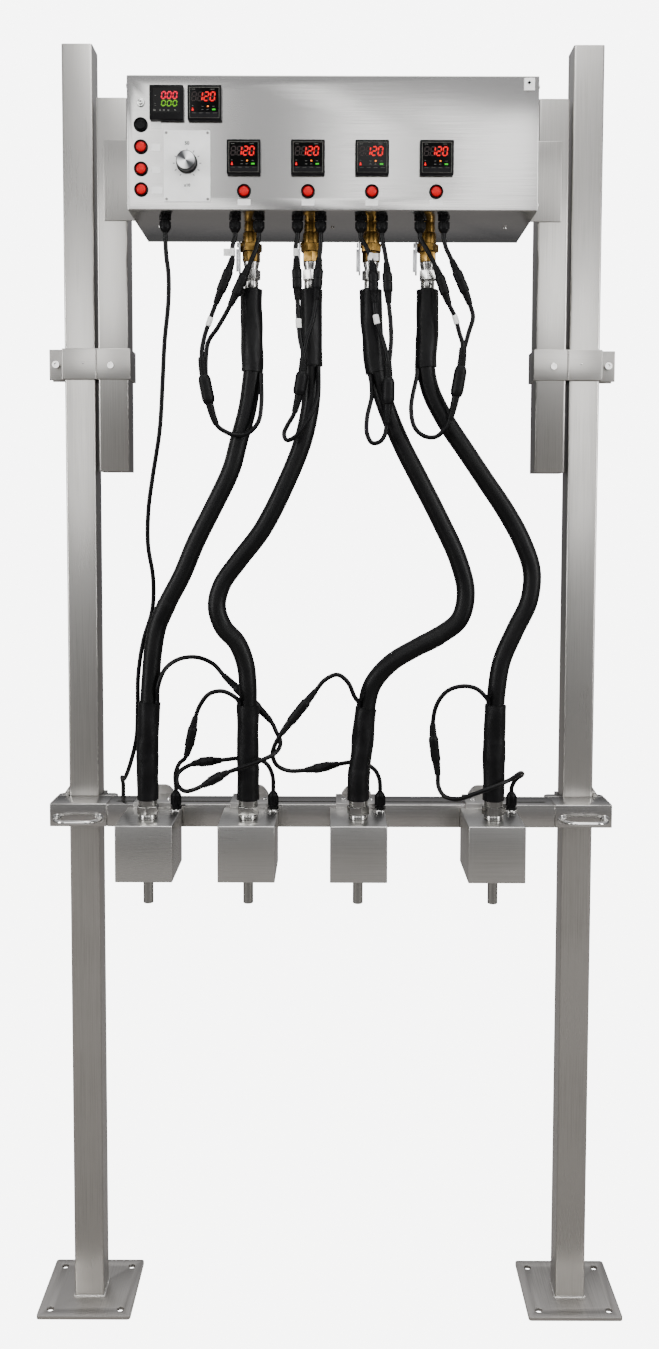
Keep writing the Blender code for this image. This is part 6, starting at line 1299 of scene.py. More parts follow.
for number, x in enumerate(HEAD_X):
    body, node = f"head_{number + 1}", f"head_{number + 1}_housing"
    bm = bmesh.new()
    box(bm, (x - HEAD_SIDE / 2, HEAD_FRONT, HEAD_BOTTOM), (x + HEAD_SIDE / 2, HEAD_BACK, HEAD_TOP))
    soften(bm, 0.0015, 3)
    cutter = bmesh.new()
    turned(cutter, (x, HEAD_AXIS_Y, HEAD_TOP - 0.0015), (0, 0, 1),
           ((0.0115, -0.003), (0.0115, 0.01)), 36)
    bm = cut_holes(bm, cutter)
    cutter = bmesh.new()
    turned(cutter, (x, HEAD_AXIS_Y, HEAD_BOTTOM), (0, 0, 1), ((0.0085, -0.01), (0.0085, 0.006)),
           36)
    add_piece(f"{body}_cover", cut_holes(bm, cutter), head_steel, body, node)

    top = BEAM_TOP + GAP + 0.003
    hook_in, hook_out = BEAM_BACK + GAP, BEAM_BACK + GAP + 0.003
    outline = [(HEAD_BACK - 0.0006, HEAD_BOTTOM + 0.002), (LEG_BACK, HEAD_BOTTOM + 0.002),
               (LEG_BACK, top - 0.003), (hook_in, top - 0.003), (hook_in, BEAM_TOP - 0.012),
               (hook_out, BEAM_TOP - 0.012), (hook_out, top), (HEAD_BACK - 0.0006, top)]
    bm = bmesh.new()
    prism(bm, outline, x - 0.035, x + 0.035, "X")
    soften(bm, 0.0009, 3)
    gusset = round_corners([(x - 0.028, top - 0.0015), (x + 0.028, top - 0.0015),
                            (x + 0.015, top + 0.016), (x - 0.015, top + 0.016)], 0.008, 6)
    flat = bmesh.new()
    prism(flat, gusset, hook_in + GAP, hook_out - GAP, "Y")
    soften(flat, 0.0004, 1, 50)
    mesh = bpy.data.meshes.new("flat")
    flat.to_mesh(mesh)
    flat.free()
    bm.from_mesh(mesh)
    add_piece(f"{body}_hanger", bm, hanger_steel, body, node)
    bm = bmesh.new()
    for end in (-1, 1):
        screw_x = x + end * 0.022
        turned(bm, (screw_x, SLOT_Y, top), (0, 0, -1), ((0.0027, -0.0005), (0.0027, 0.012)), 20)
        turned(bm, (screw_x, SLOT_Y, BEAM_TOP - BEAM_WALL - GAP), (0, 0, -1),
               ((0.0062, 0), (0.0062, 0.0040)), 6)
    add_piece(f"{body}_hanger_studs", bm, screw_steel, body, node)
    fasten(f"{body}_hanger_screws", [(x + end * 0.022, SLOT_Y, top) for end in (-1, 1)],
           (0, 0, 1), 0.0050, 0.0030, 0.0018, 24, screw_steel, body)
    line = bpy.data.meshes.new("line")
    line.from_pydata([(x - 0.033, HEAD_BACK - 0.0004, HEAD_TOP),
                      (x + 0.033, HEAD_BACK - 0.0004, HEAD_TOP)], [(0, 1)], [])
    bead = grow(weld_tree, line, Spacing=0.0018, Bead=0.0010, Finish=weld_steel)
    add_piece(f"{body}_hanger_weld", bead, weld_steel, body, node)
    bm = bmesh.new()
    turned(bm, (x + HEAD_GLAND_SIDE, HEAD_GLAND_Y, HEAD_TOP), (0, 0, 1),
           ((0.0092, -0.0004), (0.0092, 0.0010), (0.0086, 0.0016), (0.0070, 0.0016)), 32)
    add_piece(f"{body}_gland_ring", bm, chrome, body, node)


# Head fittings: a turned steel neck, hexagon and nut on the top of each heated block,
# where the hose screws on, and a plain turned nozzle below that drips the wax.
turned_steel = brushed_stainless("turned stainless fitting", "Z", "#706F6C", "#9A9996",
                                 (0.16, 0.24))
NOZZLE_BOTTOM = HEAD_BOTTOM - 0.0466
for number, x in enumerate(HEAD_X):
    body = f"head_{number + 1}"
    add_glands(f"{body}_gland", [(x + HEAD_GLAND_SIDE, HEAD_GLAND_Y, HEAD_TOP + 0.0016)], True,
               0.0294, body, f"{body}_housing")
    bm = bmesh.new()
    low = HEAD_TOP + GAP
    turned(bm, (x, HEAD_AXIS_Y, low), (0, 0, 1),
           ((0.0110, -0.0040), (0.0110, 0.0), (0.0148, 0.0), (0.0152, 0.0005),
            (0.0152, 0.0066), (0.0146, 0.0075), (0.0120, 0.0078)), 48)
    hex_nut(bm, (x, HEAD_AXIS_Y), low + 0.0075 + GAP, low + 0.0200 + GAP, 0.0315,
            math.radians(90) + 0.13 * number, 0.07)
    turned(bm, (x, HEAD_AXIS_Y, low + 0.0200 + GAP), (0, 0, 1),
           ((0.0110, -0.0004), (0.0110, GAP), (0.0144, GAP), (0.0150, 0.0010),
            (0.0150, 0.0092), (0.0142, 0.0100 + GAP)), 48)
    add_piece(f"{body}_neck", bm, turned_steel, body, f"{body}_fitting")
    bm = bmesh.new()
    turned(bm, (x, HEAD_AXIS_Y, NOZZLE_BOTTOM), (0, 0, 1),
           ((0.0018, 0.012), (0.0018, 0.0006), (0.0026, 0.0), (0.0070, 0.0), (0.0080, 0.0008),
            (0.0080, 0.0530)), 40)
    piece = add_piece(f"{body}_nozzle", bm, turned_steel, body, f"{body}_fitting")


# Heated hoses: a PTFE core with a heating wire, under a smooth black heat-shrink skin.
# Each end has a thicker cuff of shrunk sleeve that holds the lead against the hose.
HOSE_DIAMETER, CUFF_DIAMETER = 0.029, 0.0345
UPPER_CUFFS = (0.126, 0.117, 0.127, 0.119)
LOWER_CUFFS = (0.154, 0.150, 0.146, 0.151)
FERRULE_END = VALVE_BOTTOM - GAP - 0.0362
FITTING_TOP = HEAD_TOP + 3 * GAP + 0.0300
HOSE_SPLIT_Z = 1.140
HOSE_ROUTES = (
    ((-0.1255, -0.068, 1.650), (-0.124, -0.068, 1.595), (-0.127, -0.068, 1.565),
     (-0.133, -0.069, 1.527), (-0.145, -0.070, 1.482), (-0.157, -0.071, 1.437),
     (-0.184, -0.072, 1.380), (-0.213, -0.074, 1.322), (-0.235, -0.076, 1.270),
     (-0.258, -0.078, 1.226), (-0.273, -0.079, 1.190), (-0.280, -0.081, 1.150),
     (-0.283, -0.082, 1.115), (-0.286, -0.083, 1.072), (-0.2895, -0.083, 0.990)),
    ((-0.033, -0.068, 1.650), (-0.032, -0.068, 1.597), (-0.033, -0.068, 1.544),
     (-0.045, -0.069, 1.482), (-0.073, -0.070, 1.412), (-0.109, -0.072, 1.342),
     (-0.147, -0.074, 1.292), (-0.172, -0.076, 1.256), (-0.180, -0.078, 1.222),
     (-0.170, -0.079, 1.190), (-0.148, -0.081, 1.165), (-0.135, -0.082, 1.132),
     (-0.131, -0.083, 1.095), (-0.131, -0.083, 1.067), (-0.131, -0.083, 0.990)),
    ((0.062, -0.068, 1.650), (0.069, -0.068, 1.588), (0.083, -0.068, 1.538),
     (0.107, -0.069, 1.480), (0.138, -0.070, 1.420), (0.170, -0.071, 1.358),
     (0.199, -0.073, 1.295), (0.211, -0.074, 1.243), (0.201, -0.076, 1.202),
     (0.170, -0.077, 1.177), (0.132, -0.079, 1.157), (0.093, -0.081, 1.133),
     (0.065, -0.082, 1.100), (0.055, -0.083, 1.062), (0.048, -0.083, 0.990)),
    ((0.1475, -0.068, 1.650), (0.146, -0.068, 1.595), (0.154, -0.068, 1.558),
     (0.177, -0.069, 1.513), (0.208, -0.070, 1.467), (0.240, -0.071, 1.420),
     (0.272, -0.072, 1.373), (0.298, -0.074, 1.326), (0.314, -0.075, 1.279),
     (0.310, -0.077, 1.232), (0.288, -0.079, 1.185), (0.268, -0.081, 1.138),
     (0.260, -0.083, 1.091), (0.258, -0.083, 1.060), (0.257, -0.083, 0.990)),
)


def smooth_route(points, spacing=0.002):
    """A smooth curve through route points, as closely spaced points."""
    knots = [Vector(p) for p in points]
    knots = [2 * knots[0] - knots[1]] + knots + [2 * knots[-1] - knots[-2]]
    out = []
    for p0, p1, p2, p3 in zip(knots, knots[1:], knots[2:], knots[3:]):
        t1, t2, t3 = (max((b - a).length, 1e-4) ** 0.5 for a, b in ((p0, p1), (p1, p2), (p2, p3)))
        m1 = t2 * ((p1 - p0) / t1 - (p2 - p0) / (t1 + t2) + (p2 - p1) / t2)
        m2 = t2 * ((p2 - p1) / t2 - (p3 - p1) / (t2 + t3) + (p3 - p2) / t3)
        count = max(2, int((p2 - p1).length / spacing))
        for k in range(count):
            t = k / count
            out.append(p1 * (2 * t**3 - 3 * t**2 + 1) + m1 * (t**3 - 2 * t**2 + t)
                       + p2 * (3 * t**2 - 2 * t**3) + m2 * (t**3 - t**2))
    out.append(knots[-2])
    return out


def lengths_along(line):
    """How far along a line each of its points is."""
    reached = [0.0]
    for a, b in zip(line, line[1:]):
        reached.append(reached[-1] + (b - a).length)
    return reached


def part_of(line, start, end, step):
    """Evenly spaced points of a line, between two lengths measured along it."""
    reached = lengths_along(line)
    count = max(3, round((end - start) / step))
    out, k = [], 0
    for i in range(count + 1):
        at = start + (end - start) * i / count
        while k < len(line) - 2 and reached[k + 1] < at:
            k += 1
        share = (at - reached[k]) / max(reached[k + 1] - reached[k], 1e-9)
        out.append(line[k].lerp(line[k + 1], min(max(share, 0), 1)))
    return out


def tube(bm, line, radius_at, sides=32, from_length=0.0, finish_at=None):
    """Sweep a ring along a line. radius_at gives the radius for a length and an angle,
    and finish_at the material's number. UV holds metres round and along the tube."""
    layer = bm.loops.layers.uv.verify()
    side = Vector((1, 0, 0)) if abs((line[1] - line[0]).normalized().x) < 0.9 else Vector((0, 0, 1))
    rings, reached = [], [from_length + s for s in lengths_along(line)]
    for i, p in enumerate(line):
        way = (line[min(i + 1, len(line) - 1)] - line[max(i - 1, 0)]).normalized()
        side = (side - side.dot(way) * way).normalized()
        other = way.cross(side)
        ring = []
        for k in range(sides):
            angle = math.tau * k / sides
            reach = side * math.cos(angle) + other * math.sin(angle)
            ring.append(bm.verts.new(p + reach * radius_at(reached[i], angle)))
        rings.append(ring)
    around = math.tau * radius_at(reached[len(line) // 2], 0)
    for i in range(len(rings) - 1):
        for k in range(sides):
            j = (k + 1) % sides
            face = bm.faces.new((rings[i][k], rings[i][j], rings[i + 1][j], rings[i + 1][k]))
            face.material_index = finish_at(reached[i]) if finish_at else 0
            corners = ((k, i), (k + 1, i), (k + 1, i + 1), (k, i + 1))
            for loop, (a, b) in zip(face.loops, corners):
                loop[layer].uv = (around * a / sides, reached[b])
    bm.faces.new(list(reversed(rings[0])))
    bm.faces.new(rings[-1])


def black_skin(name, low, high, rough, wrinkle, wrinkle_size, gloss=0.5):
    """Black polymer skin on a flexible piece: satin, with a soft grey sheen where light
    grazes it. Its wrinkles are drawn from the tube's own UV, in metres."""
    made = bpy.data.materials.new(name)
    made.use_nodes = True
    tree = made.node_tree
    shader = tree.nodes["Principled BSDF"]
    shader.inputs["IOR"].default_value = 1.5
    shader.inputs["Specular IOR Level"].default_value = gloss
    spot = add_node(tree, "ShaderNodeTexCoord")
    lay = add_node(tree, "ShaderNodeMapping", {"Vector": spot.outputs["UV"]},
                   {"Scale": (1 / wrinkle_size, 0.5 / wrinkle_size, 1)})
    folds = add_node(tree, "ShaderNodeTexNoise", {"Vector": lay.outputs["Vector"]},
                     {"Scale": 1.0, "Detail": 3.0, "Roughness": 0.55})
    fine = add_node(tree, "ShaderNodeTexNoise", {"Vector": spot.outputs["UV"]},
                    {"Scale": 900.0, "Detail": 2.0})
    tone = add_node(tree, "ShaderNodeValToRGB", {"Fac": folds.outputs["Fac"]})
    tone.color_ramp.elements[0].position = 0.35
    tone.color_ramp.elements[0].color = linear(low)
    tone.color_ramp.elements[1].position = 0.7
    tone.color_ramp.elements[1].color = linear(high)
    tree.links.new(tone.outputs["Color"], shader.inputs["Base Color"])
    dull = add_node(tree, "ShaderNodeMapRange", {"Value": folds.outputs["Fac"]},
                    {"From Min": 0.3, "From Max": 0.7, "To Min": rough - 0.06,
                     "To Max": rough + 0.06})
    tree.links.new(dull.outputs["Result"], shader.inputs["Roughness"])
    deep = add_node(tree, "ShaderNodeBump", {"Height": folds.outputs["Fac"]},
                    {"Strength": wrinkle, "Distance": 0.002})
    both = add_node(tree, "ShaderNodeBump", {"Height": fine.outputs["Fac"],
                                             "Normal": deep.outputs["Normal"]},
                    {"Strength": 0.15, "Distance": 0.0002})
    tree.links.new(both.outputs["Normal"], shader.inputs["Normal"])
    return made


hose_skin = black_skin("polyolefin heat-shrink on a hose", "#040405", "#090909", 0.42, 0.25,
                       0.05, 0.14)
cuff_skin = black_skin("polyolefin heat-shrink cuff, wrinkled", "#040405", "#080809", 0.46, 0.7,
                       0.018, 0.14)
# Rings of tape or a second sleeve's end on each hose, as places in z, and the bulge.
CUFF_SEAMS = ((0.985, 1.226), (0.966,), (0.960, 1.176), (1.009,))


def hose_radius(line, number):
    """The radius along a hose: cuffs at its ends, slightly uneven as shrunk sleeve is."""
    reached = lengths_along(line)
    whole = reached[-1]
    tops = [reached[min(range(len(line)), key=lambda i, z=z: abs(line[i].z - z))]
            for z in CUFF_SEAMS[number]]

    def radius(s, angle):
        cuff = s < UPPER_CUFFS[number] or s > whole - LOWER_CUFFS[number]
        r = (CUFF_DIAMETER if cuff else HOSE_DIAMETER) / 2
        bump = noise.noise(Vector((math.cos(angle) * 1.1, math.sin(angle) * 1.1,
                                   s * (26 if cuff else 9) + 7.3 * number)))
        r += bump * (0.0016 if cuff else 0.0006)
        for top in tops:
            if top < s < top + 0.0022:
                r += 0.0007
            elif top <= s < top + 0.03:
                r += 0.0004
        return r
    return radius


hose_lines = []
for number in range(4):
    top = Vector((VALVE_X[number], VALVE_Y, FERRULE_END - GAP))
    bottom = Vector((HEAD_X[number], HEAD_AXIS_Y, FITTING_TOP + GAP))
    down = Vector((0, 0, -HOSE_DIAMETER))
    whole = smooth_route([top, top + down, *HOSE_ROUTES[number], bottom - down, bottom])
    hose_lines.append(whole)
    reached = lengths_along(whole)
    split = next(s for s, p in zip(reached, whole) if p.z < HOSE_SPLIT_Z)
    radius_at = hose_radius(whole, number)
    marks = (UPPER_CUFFS[number], reached[-1] - LOWER_CUFFS[number])
    for name, start, end in (("run", 0, split), ("tail", split, reached[-1])):
        line = part_of(whole, start, end, 0.004)
        for mark in marks:
            if start < mark < end:
                near = min(range(len(line)), key=lambda i: abs(start + (end - start) * i
                                                              / (len(line) - 1) - mark))
                line[near:near + 1] = part_of(whole, mark - 0.0006, mark + 0.0006, 0.0004)
        bm = bmesh.new()
        tube(bm, line, radius_at, 36, start,
             lambda s: int(s < marks[0] or s > marks[1] - 0.001))
        piece = add_piece(f"hose_{number + 1}_{name}", bm, hose_skin, None, f"hose_{number + 1}")
        piece.data.materials.append(cuff_skin)
        if name == "run":
            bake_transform(piece)
        else:
            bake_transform(piece)


# Leads under the cabinet: thin round black cables with in-line connectors. Two leads of
# each line meet in a joiner, and one goes on in a loop to the foot of the hose's cuff.
LEAD_DIAMETER = 0.0072
UPPER_CUFF_SIDES = ((0.80, -0.60), (0.55, -0.84), (-0.60, -0.80), (-0.80, -0.60))
UPPER_CONNECTORS = (
    ((-0.152, -0.103, 1.755), (-0.178, -0.101, 1.686)),
    ((-0.127, -0.105, 1.743), (-0.156, -0.103, 1.683)),
    ((-0.200, -0.098, 1.606), (-0.178, -0.092, 1.504)),
    ((-0.055, -0.103, 1.755), (-0.053, -0.101, 1.692)),
    ((-0.020, -0.103, 1.755), (-0.025, -0.101, 1.692)),
    ((-0.044, -0.101, 1.606), (-0.058, -0.097, 1.522)),
    ((0.060, -0.103, 1.749), (0.064, -0.101, 1.688)),
    ((0.082, -0.103, 1.749), (0.086, -0.101, 1.688)),
    ((0.085, -0.101, 1.600), (0.084, -0.097, 1.504)),
    ((0.157, -0.105, 1.742), (0.178, -0.103, 1.686)),
    ((0.181, -0.103, 1.753), (0.210, -0.101, 1.686)),
    ((0.200, -0.098, 1.622), (0.182, -0.092, 1.513)),
)
UPPER_LEADS_IN = (
    ((-0.152, -0.103, 1.772),),
    ((-0.116, -0.105, 1.768),),
    ((-0.056, -0.103, 1.773),),
    ((-0.018, -0.103, 1.773),),
    ((0.052, -0.103, 1.770),),
    ((0.078, -0.103, 1.772),),
    ((0.143, -0.105, 1.768),),
    ((0.172, -0.103, 1.772),),
)
UPPER_LEADS_OUT = (
    ((-0.187, -0.100, 1.662), (-0.196, -0.099, 1.635)),
    ((-0.175, -0.102, 1.650), (-0.190, -0.099, 1.628)),
    ((-0.052, -0.101, 1.662), (-0.049, -0.101, 1.632)),
    ((-0.030, -0.101, 1.662), (-0.039, -0.101, 1.632)),
    ((0.068, -0.101, 1.660), (0.078, -0.101, 1.630)),
    ((0.089, -0.101, 1.660), (0.090, -0.101, 1.630)),
    ((0.187, -0.101, 1.668), (0.194, -0.099, 1.645)),
    ((0.215, -0.100, 1.667), (0.209, -0.099, 1.645)),
)
UPPER_LOOPS = (
    ((-0.166, -0.091, 1.494), (-0.150, -0.092, 1.488), (-0.131, -0.092, 1.490),
     (-0.114, -0.091, 1.508), (-0.109, -0.088, 1.540)),
    ((-0.068, -0.095, 1.504), (-0.074, -0.095, 1.490), (-0.070, -0.097, 1.480),
     (-0.058, -0.100, 1.484), (-0.037, -0.101, 1.510), (-0.023, -0.096, 1.545)),
    ((0.081, -0.097, 1.488), (0.074, -0.098, 1.478), (0.062, -0.098, 1.476),
     (0.054, -0.097, 1.490), (0.054, -0.095, 1.515), (0.061, -0.091, 1.548)),
    ((0.173, -0.092, 1.497), (0.160, -0.092, 1.486), (0.143, -0.092, 1.487),
     (0.128, -0.091, 1.500), (0.122, -0.089, 1.530)),
)

lead_jacket = black_skin("PVC cable jacket, extruded", "#030304", "#060607", 0.34, 0.1, 0.03, 0.14)
boot_rubber = black_skin("moulded rubber connector", "#040405", "#080809", 0.5, 0.15, 0.01, 0.14)
paper_sleeve = bpy.data.materials.new("white polyester cable marker, printed blank")
paper_sleeve.use_nodes = True
shader = paper_sleeve.node_tree.nodes["Principled BSDF"]
spot = add_node(paper_sleeve.node_tree, "ShaderNodeTexCoord")
haze = add_node(paper_sleeve.node_tree, "ShaderNodeTexNoise", {"Vector": spot.outputs["Object"]},
                {"Scale": 160.0, "Detail": 2.0})
tone = add_node(paper_sleeve.node_tree, "ShaderNodeValToRGB", {"Fac": haze.outputs["Fac"]})
tone.color_ramp.elements[0].color = linear("#DDDDDB")
tone.color_ramp.elements[1].color = linear("#F4F4F2")
paper_sleeve.node_tree.links.new(tone.outputs["Color"], shader.inputs["Base Color"])
shader.inputs["Roughness"].default_value = 0.55

rib_tree, given = new_tree("boot ribs", ("Spacing", "Float", 0.0022), ("Finish", "Material", None))
line = add_node(rib_tree, "GeometryNodeMeshToCurve", {"Mesh": given.outputs["Geometry"]})
even = add_node(rib_tree, "GeometryNodeCurveToPoints",
                {"Curve": line.outputs["Curve"], "Length": given.outputs["Spacing"]},
                mode="LENGTH")
ring = add_node(rib_tree, "GeometryNodeCurvePrimitiveCircle", None,
                {"Resolution": 20, "Radius": 1.0})
round_bar = add_node(rib_tree, "GeometryNodeCurvePrimitiveCircle", None,
                     {"Resolution": 6, "Radius": 0.12})
rib = add_node(rib_tree, "GeometryNodeCurveToMesh", {"Curve": ring.outputs["Curve"],
                                                     "Profile Curve": round_bar.outputs["Curve"]})
reach = add_node(rib_tree, "GeometryNodeInputNamedAttribute", None, {"Name": "reach"},
                 data_type="FLOAT")
placed = add_node(rib_tree, "GeometryNodeInstanceOnPoints",
                  {"Points": even.outputs["Points"], "Instance": rib.outputs["Mesh"],
                   "Rotation": even.outputs["Rotation"], "Scale": reach.outputs["Attribute"]})
end_tree(rib_tree, given, placed.outputs["Instances"])


def line_mesh(points, reaches):
    """A line of edges whose points hold the radius of what stands on them."""
    mesh = bpy.data.meshes.new("line")
    mesh.from_pydata([tuple(p) for p in points], [(i, i + 1) for i in range(len(points) - 1)], [])
    mesh.attributes.new("reach", "FLOAT", "POINT").data.foreach_set("value", reaches)
    return mesh


def profile_radius(profile, share):
    """The radius at a share of a piece's length, between the profile's own stations."""
    for (a, ra), (b, rb) in zip(profile, profile[1:]):
        if share <= b:
            return ra + (rb - ra) * max(share - a, 0) / max(b - a, 1e-9)
    return profile[-1][1]


# A connector as shares of its length and radii: ribbed boot, body with a coupling ring, boot.
CONNECTOR = ((0.0, 0.0040), (0.02, 0.0046), (0.25, 0.0060), (0.27, 0.0072), (0.30, 0.0078),
             (0.47, 0.0078), (0.475, 0.0071), (0.495, 0.0071), (0.50, 0.0078), (0.70, 0.0076),
             (0.73, 0.0066), (0.75, 0.0060), (0.98, 0.0046), (1.0, 0.0040))
JOINER = ((0.0, 0.0052), (0.02, 0.0058), (0.26, 0.0066), (0.28, 0.0084), (0.33, 0.0098),
          (0.60, 0.0100), (0.66, 0.0086), (0.68, 0.0064), (0.98, 0.0048), (1.0, 0.0040))


def add_connector(name, dense, start, end, profile, body):
    """A moulded connector on a lead, bent with it, with ribs on its two boots."""
    stations = sorted({share for share, _ in profile} | {k / 24 for k in range(25)})
    line = [part_of(dense, start + (end - start) * s - 1e-5, start + (end - start) * s + 1e-5,
                    1e-5)[1] for s in stations]
    line = [p for i, p in enumerate(line) if i == 0 or (p - line[i - 1]).length > 2e-5]
    whole = lengths_along(line)
    bm = bmesh.new()
    tube(bm, line, lambda s, angle: profile_radius(profile, s / whole[-1]), 24)
    for low, high in ((0.05, 0.23), (0.78, 0.96)):
        some = part_of(line, whole[-1] * low, whole[-1] * high, 0.002)
        size = [profile_radius(profile, low + (high - low) * i / (len(some) - 1)) * 0.99
                for i in range(len(some))]
        bm.from_mesh(grow(rib_tree, line_mesh(some, size), Spacing=0.0026, Finish=boot_rubber))
    piece = add_piece(name, bm, boot_rubber, body)
    return piece


def lead_route(start, way, items, end, end_way):
    """A lead's smooth line, and where its connectors lie on it. A connector is an item
    of two ends."""
    first, last = Vector(start) + Vector(way) * GAP, Vector(end) + Vector(end_way) * GAP
    route, spans = [first, first + Vector(way) * 0.006], []
    for item in items:
        if len(item) == 2:
            spans.append((Vector(item[0]), Vector(item[1])))
            route += spans[-1]
        else:
            route.append(Vector(item))
    dense = smooth_route(route + [last + Vector(end_way) * 0.006, last])
    reached = lengths_along(dense)

    def place(p):
        return reached[min(range(len(dense)), key=lambda i: (dense[i] - p).length)]
    return dense, [(place(a), place(b)) for a, b in spans]


def add_lead(name, dense, start, end, body, blend=None, stands_for=()):
    """One free lead as a tube."""
    line = part_of(dense, start, end, 0.003)
    bm = bmesh.new()
    tube(bm, line, lambda s, angle: LEAD_DIAMETER / 2, 16)
    made = add_piece(name, bm, lead_jacket, None if blend else body, *stands_for)
    if blend:
        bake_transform(made)
    return made


def add_marker(name, dense, start, end, radius, body):
    """A short white marker sleeve slid over a lead, open at both ends and left bare."""
    line = part_of(dense, start, end, 0.001)
    bm = bmesh.new()
    edge = lengths_along(line)[-1]
    tube(bm, line, lambda s, angle: radius - (0.0006 if s < 1e-4 or s > edge - 1e-4 else 0), 20)
    piece = add_piece(name, bm, paper_sleeve, body)
    return piece


def add_flag(name, dense, at, width, height, toward, body):
    """A white flag label folded round a lead, with its two halves stuck together."""
    point = part_of(dense, at - 1e-4, at + 1e-4, 1e-4)[1]
    bm = bmesh.new()
    turned(bm, point - Vector((0, 0, height / 2)), (0, 0, 1),
           ((LEAD_DIAMETER / 2 + 0.0002, 0), (LEAD_DIAMETER / 2 + 0.0005, 0.0003),
            (LEAD_DIAMETER / 2 + 0.0005, height - 0.0003),
            (LEAD_DIAMETER / 2 + 0.0002, height)), 20)
    x = sorted((point.x, point.x + toward * width))
    card = bmesh.new()
    box(card, (x[0], point.y - 0.0006, point.z - height / 2),
        (x[1], point.y + 0.0001, point.z + height / 2))
    soften(card, 0.0002, 1)
    flat = bpy.data.meshes.new("flat")
    card.to_mesh(flat)
    card.free()
    bm.from_mesh(flat)
    piece = add_piece(name, bm, paper_sleeve, body)
    return piece


def cuff_side(number, at_top, sides):
    """Where a lead meets the edge of a hose's cuff, and its direction there."""
    line = hose_lines[number]
    reached = lengths_along(line)
    mark = UPPER_CUFFS[number] + 0.002 if at_top else reached[-1] - LOWER_CUFFS[number]
    before, here, after = part_of(line, mark - 0.002, mark + 0.002, 0.002)[:3]
    way = (after - before).normalized()
    away = Vector((*sides, 0))
    away = (away - away.dot(way) * way).normalized()
    reach = HOSE_DIAMETER / 2 + LEAD_DIAMETER / 2 + 0.0008
    return here + away * reach, way if at_top else -way


for number in range(4):
    meet, way = cuff_side(number, True, UPPER_CUFF_SIDES[number])
    joiner = UPPER_CONNECTORS[3 * number + 2]
    for k, which in enumerate(("a", "b")):
        lead = 2 * number + k
        gland = (GLAND_X[1 + lead], GLAND_Y, GLAND_BOTTOM)
        items = [*UPPER_LEADS_IN[lead], UPPER_CONNECTORS[3 * number + k], *UPPER_LEADS_OUT[lead]]
        if which == "a":
            dense, spans = lead_route(gland, (0, 0, -1), items + [joiner, *UPPER_LOOPS[number]],
                                      meet, way)
        else:
            a, b = (Vector(p) for p in joiner)
            dense, spans = lead_route(gland, (0, 0, -1), items, a.lerp(b, 0.35),
                                      (a - b).normalized())
        pieces = [add_connector(f"line_{number + 1}_connector_{which}", dense, *spans[0],
                                CONNECTOR, "stand")]
        if which == "a":
            pieces.append(add_connector(f"line_{number + 1}_joiner", dense, *spans[1], JOINER,
                                        "stand"))
        if which == "a":
            after = spans[0][1] + (0.021, 0.028, 0.018, 0.018)[number]
            pieces.append(add_marker(f"line_{number + 1}_marker", dense, after, after + 0.014,
                                     0.0045, "stand"))
            if number < 3:
                toward, width = ((-1, 0.014), (-1, 0.004), (1, 0.012))[number]
                pieces.append(add_flag(f"line_{number + 1}_flag", dense, spans[0][0] - 0.008,
                                       width, 0.011, toward, "stand"))
        add_lead(f"line_{number + 1}_lead_{which}", dense, 0, lengths_along(dense)[-1], "stand",
                 stands_for=(f"line_{number + 1}_leads",))


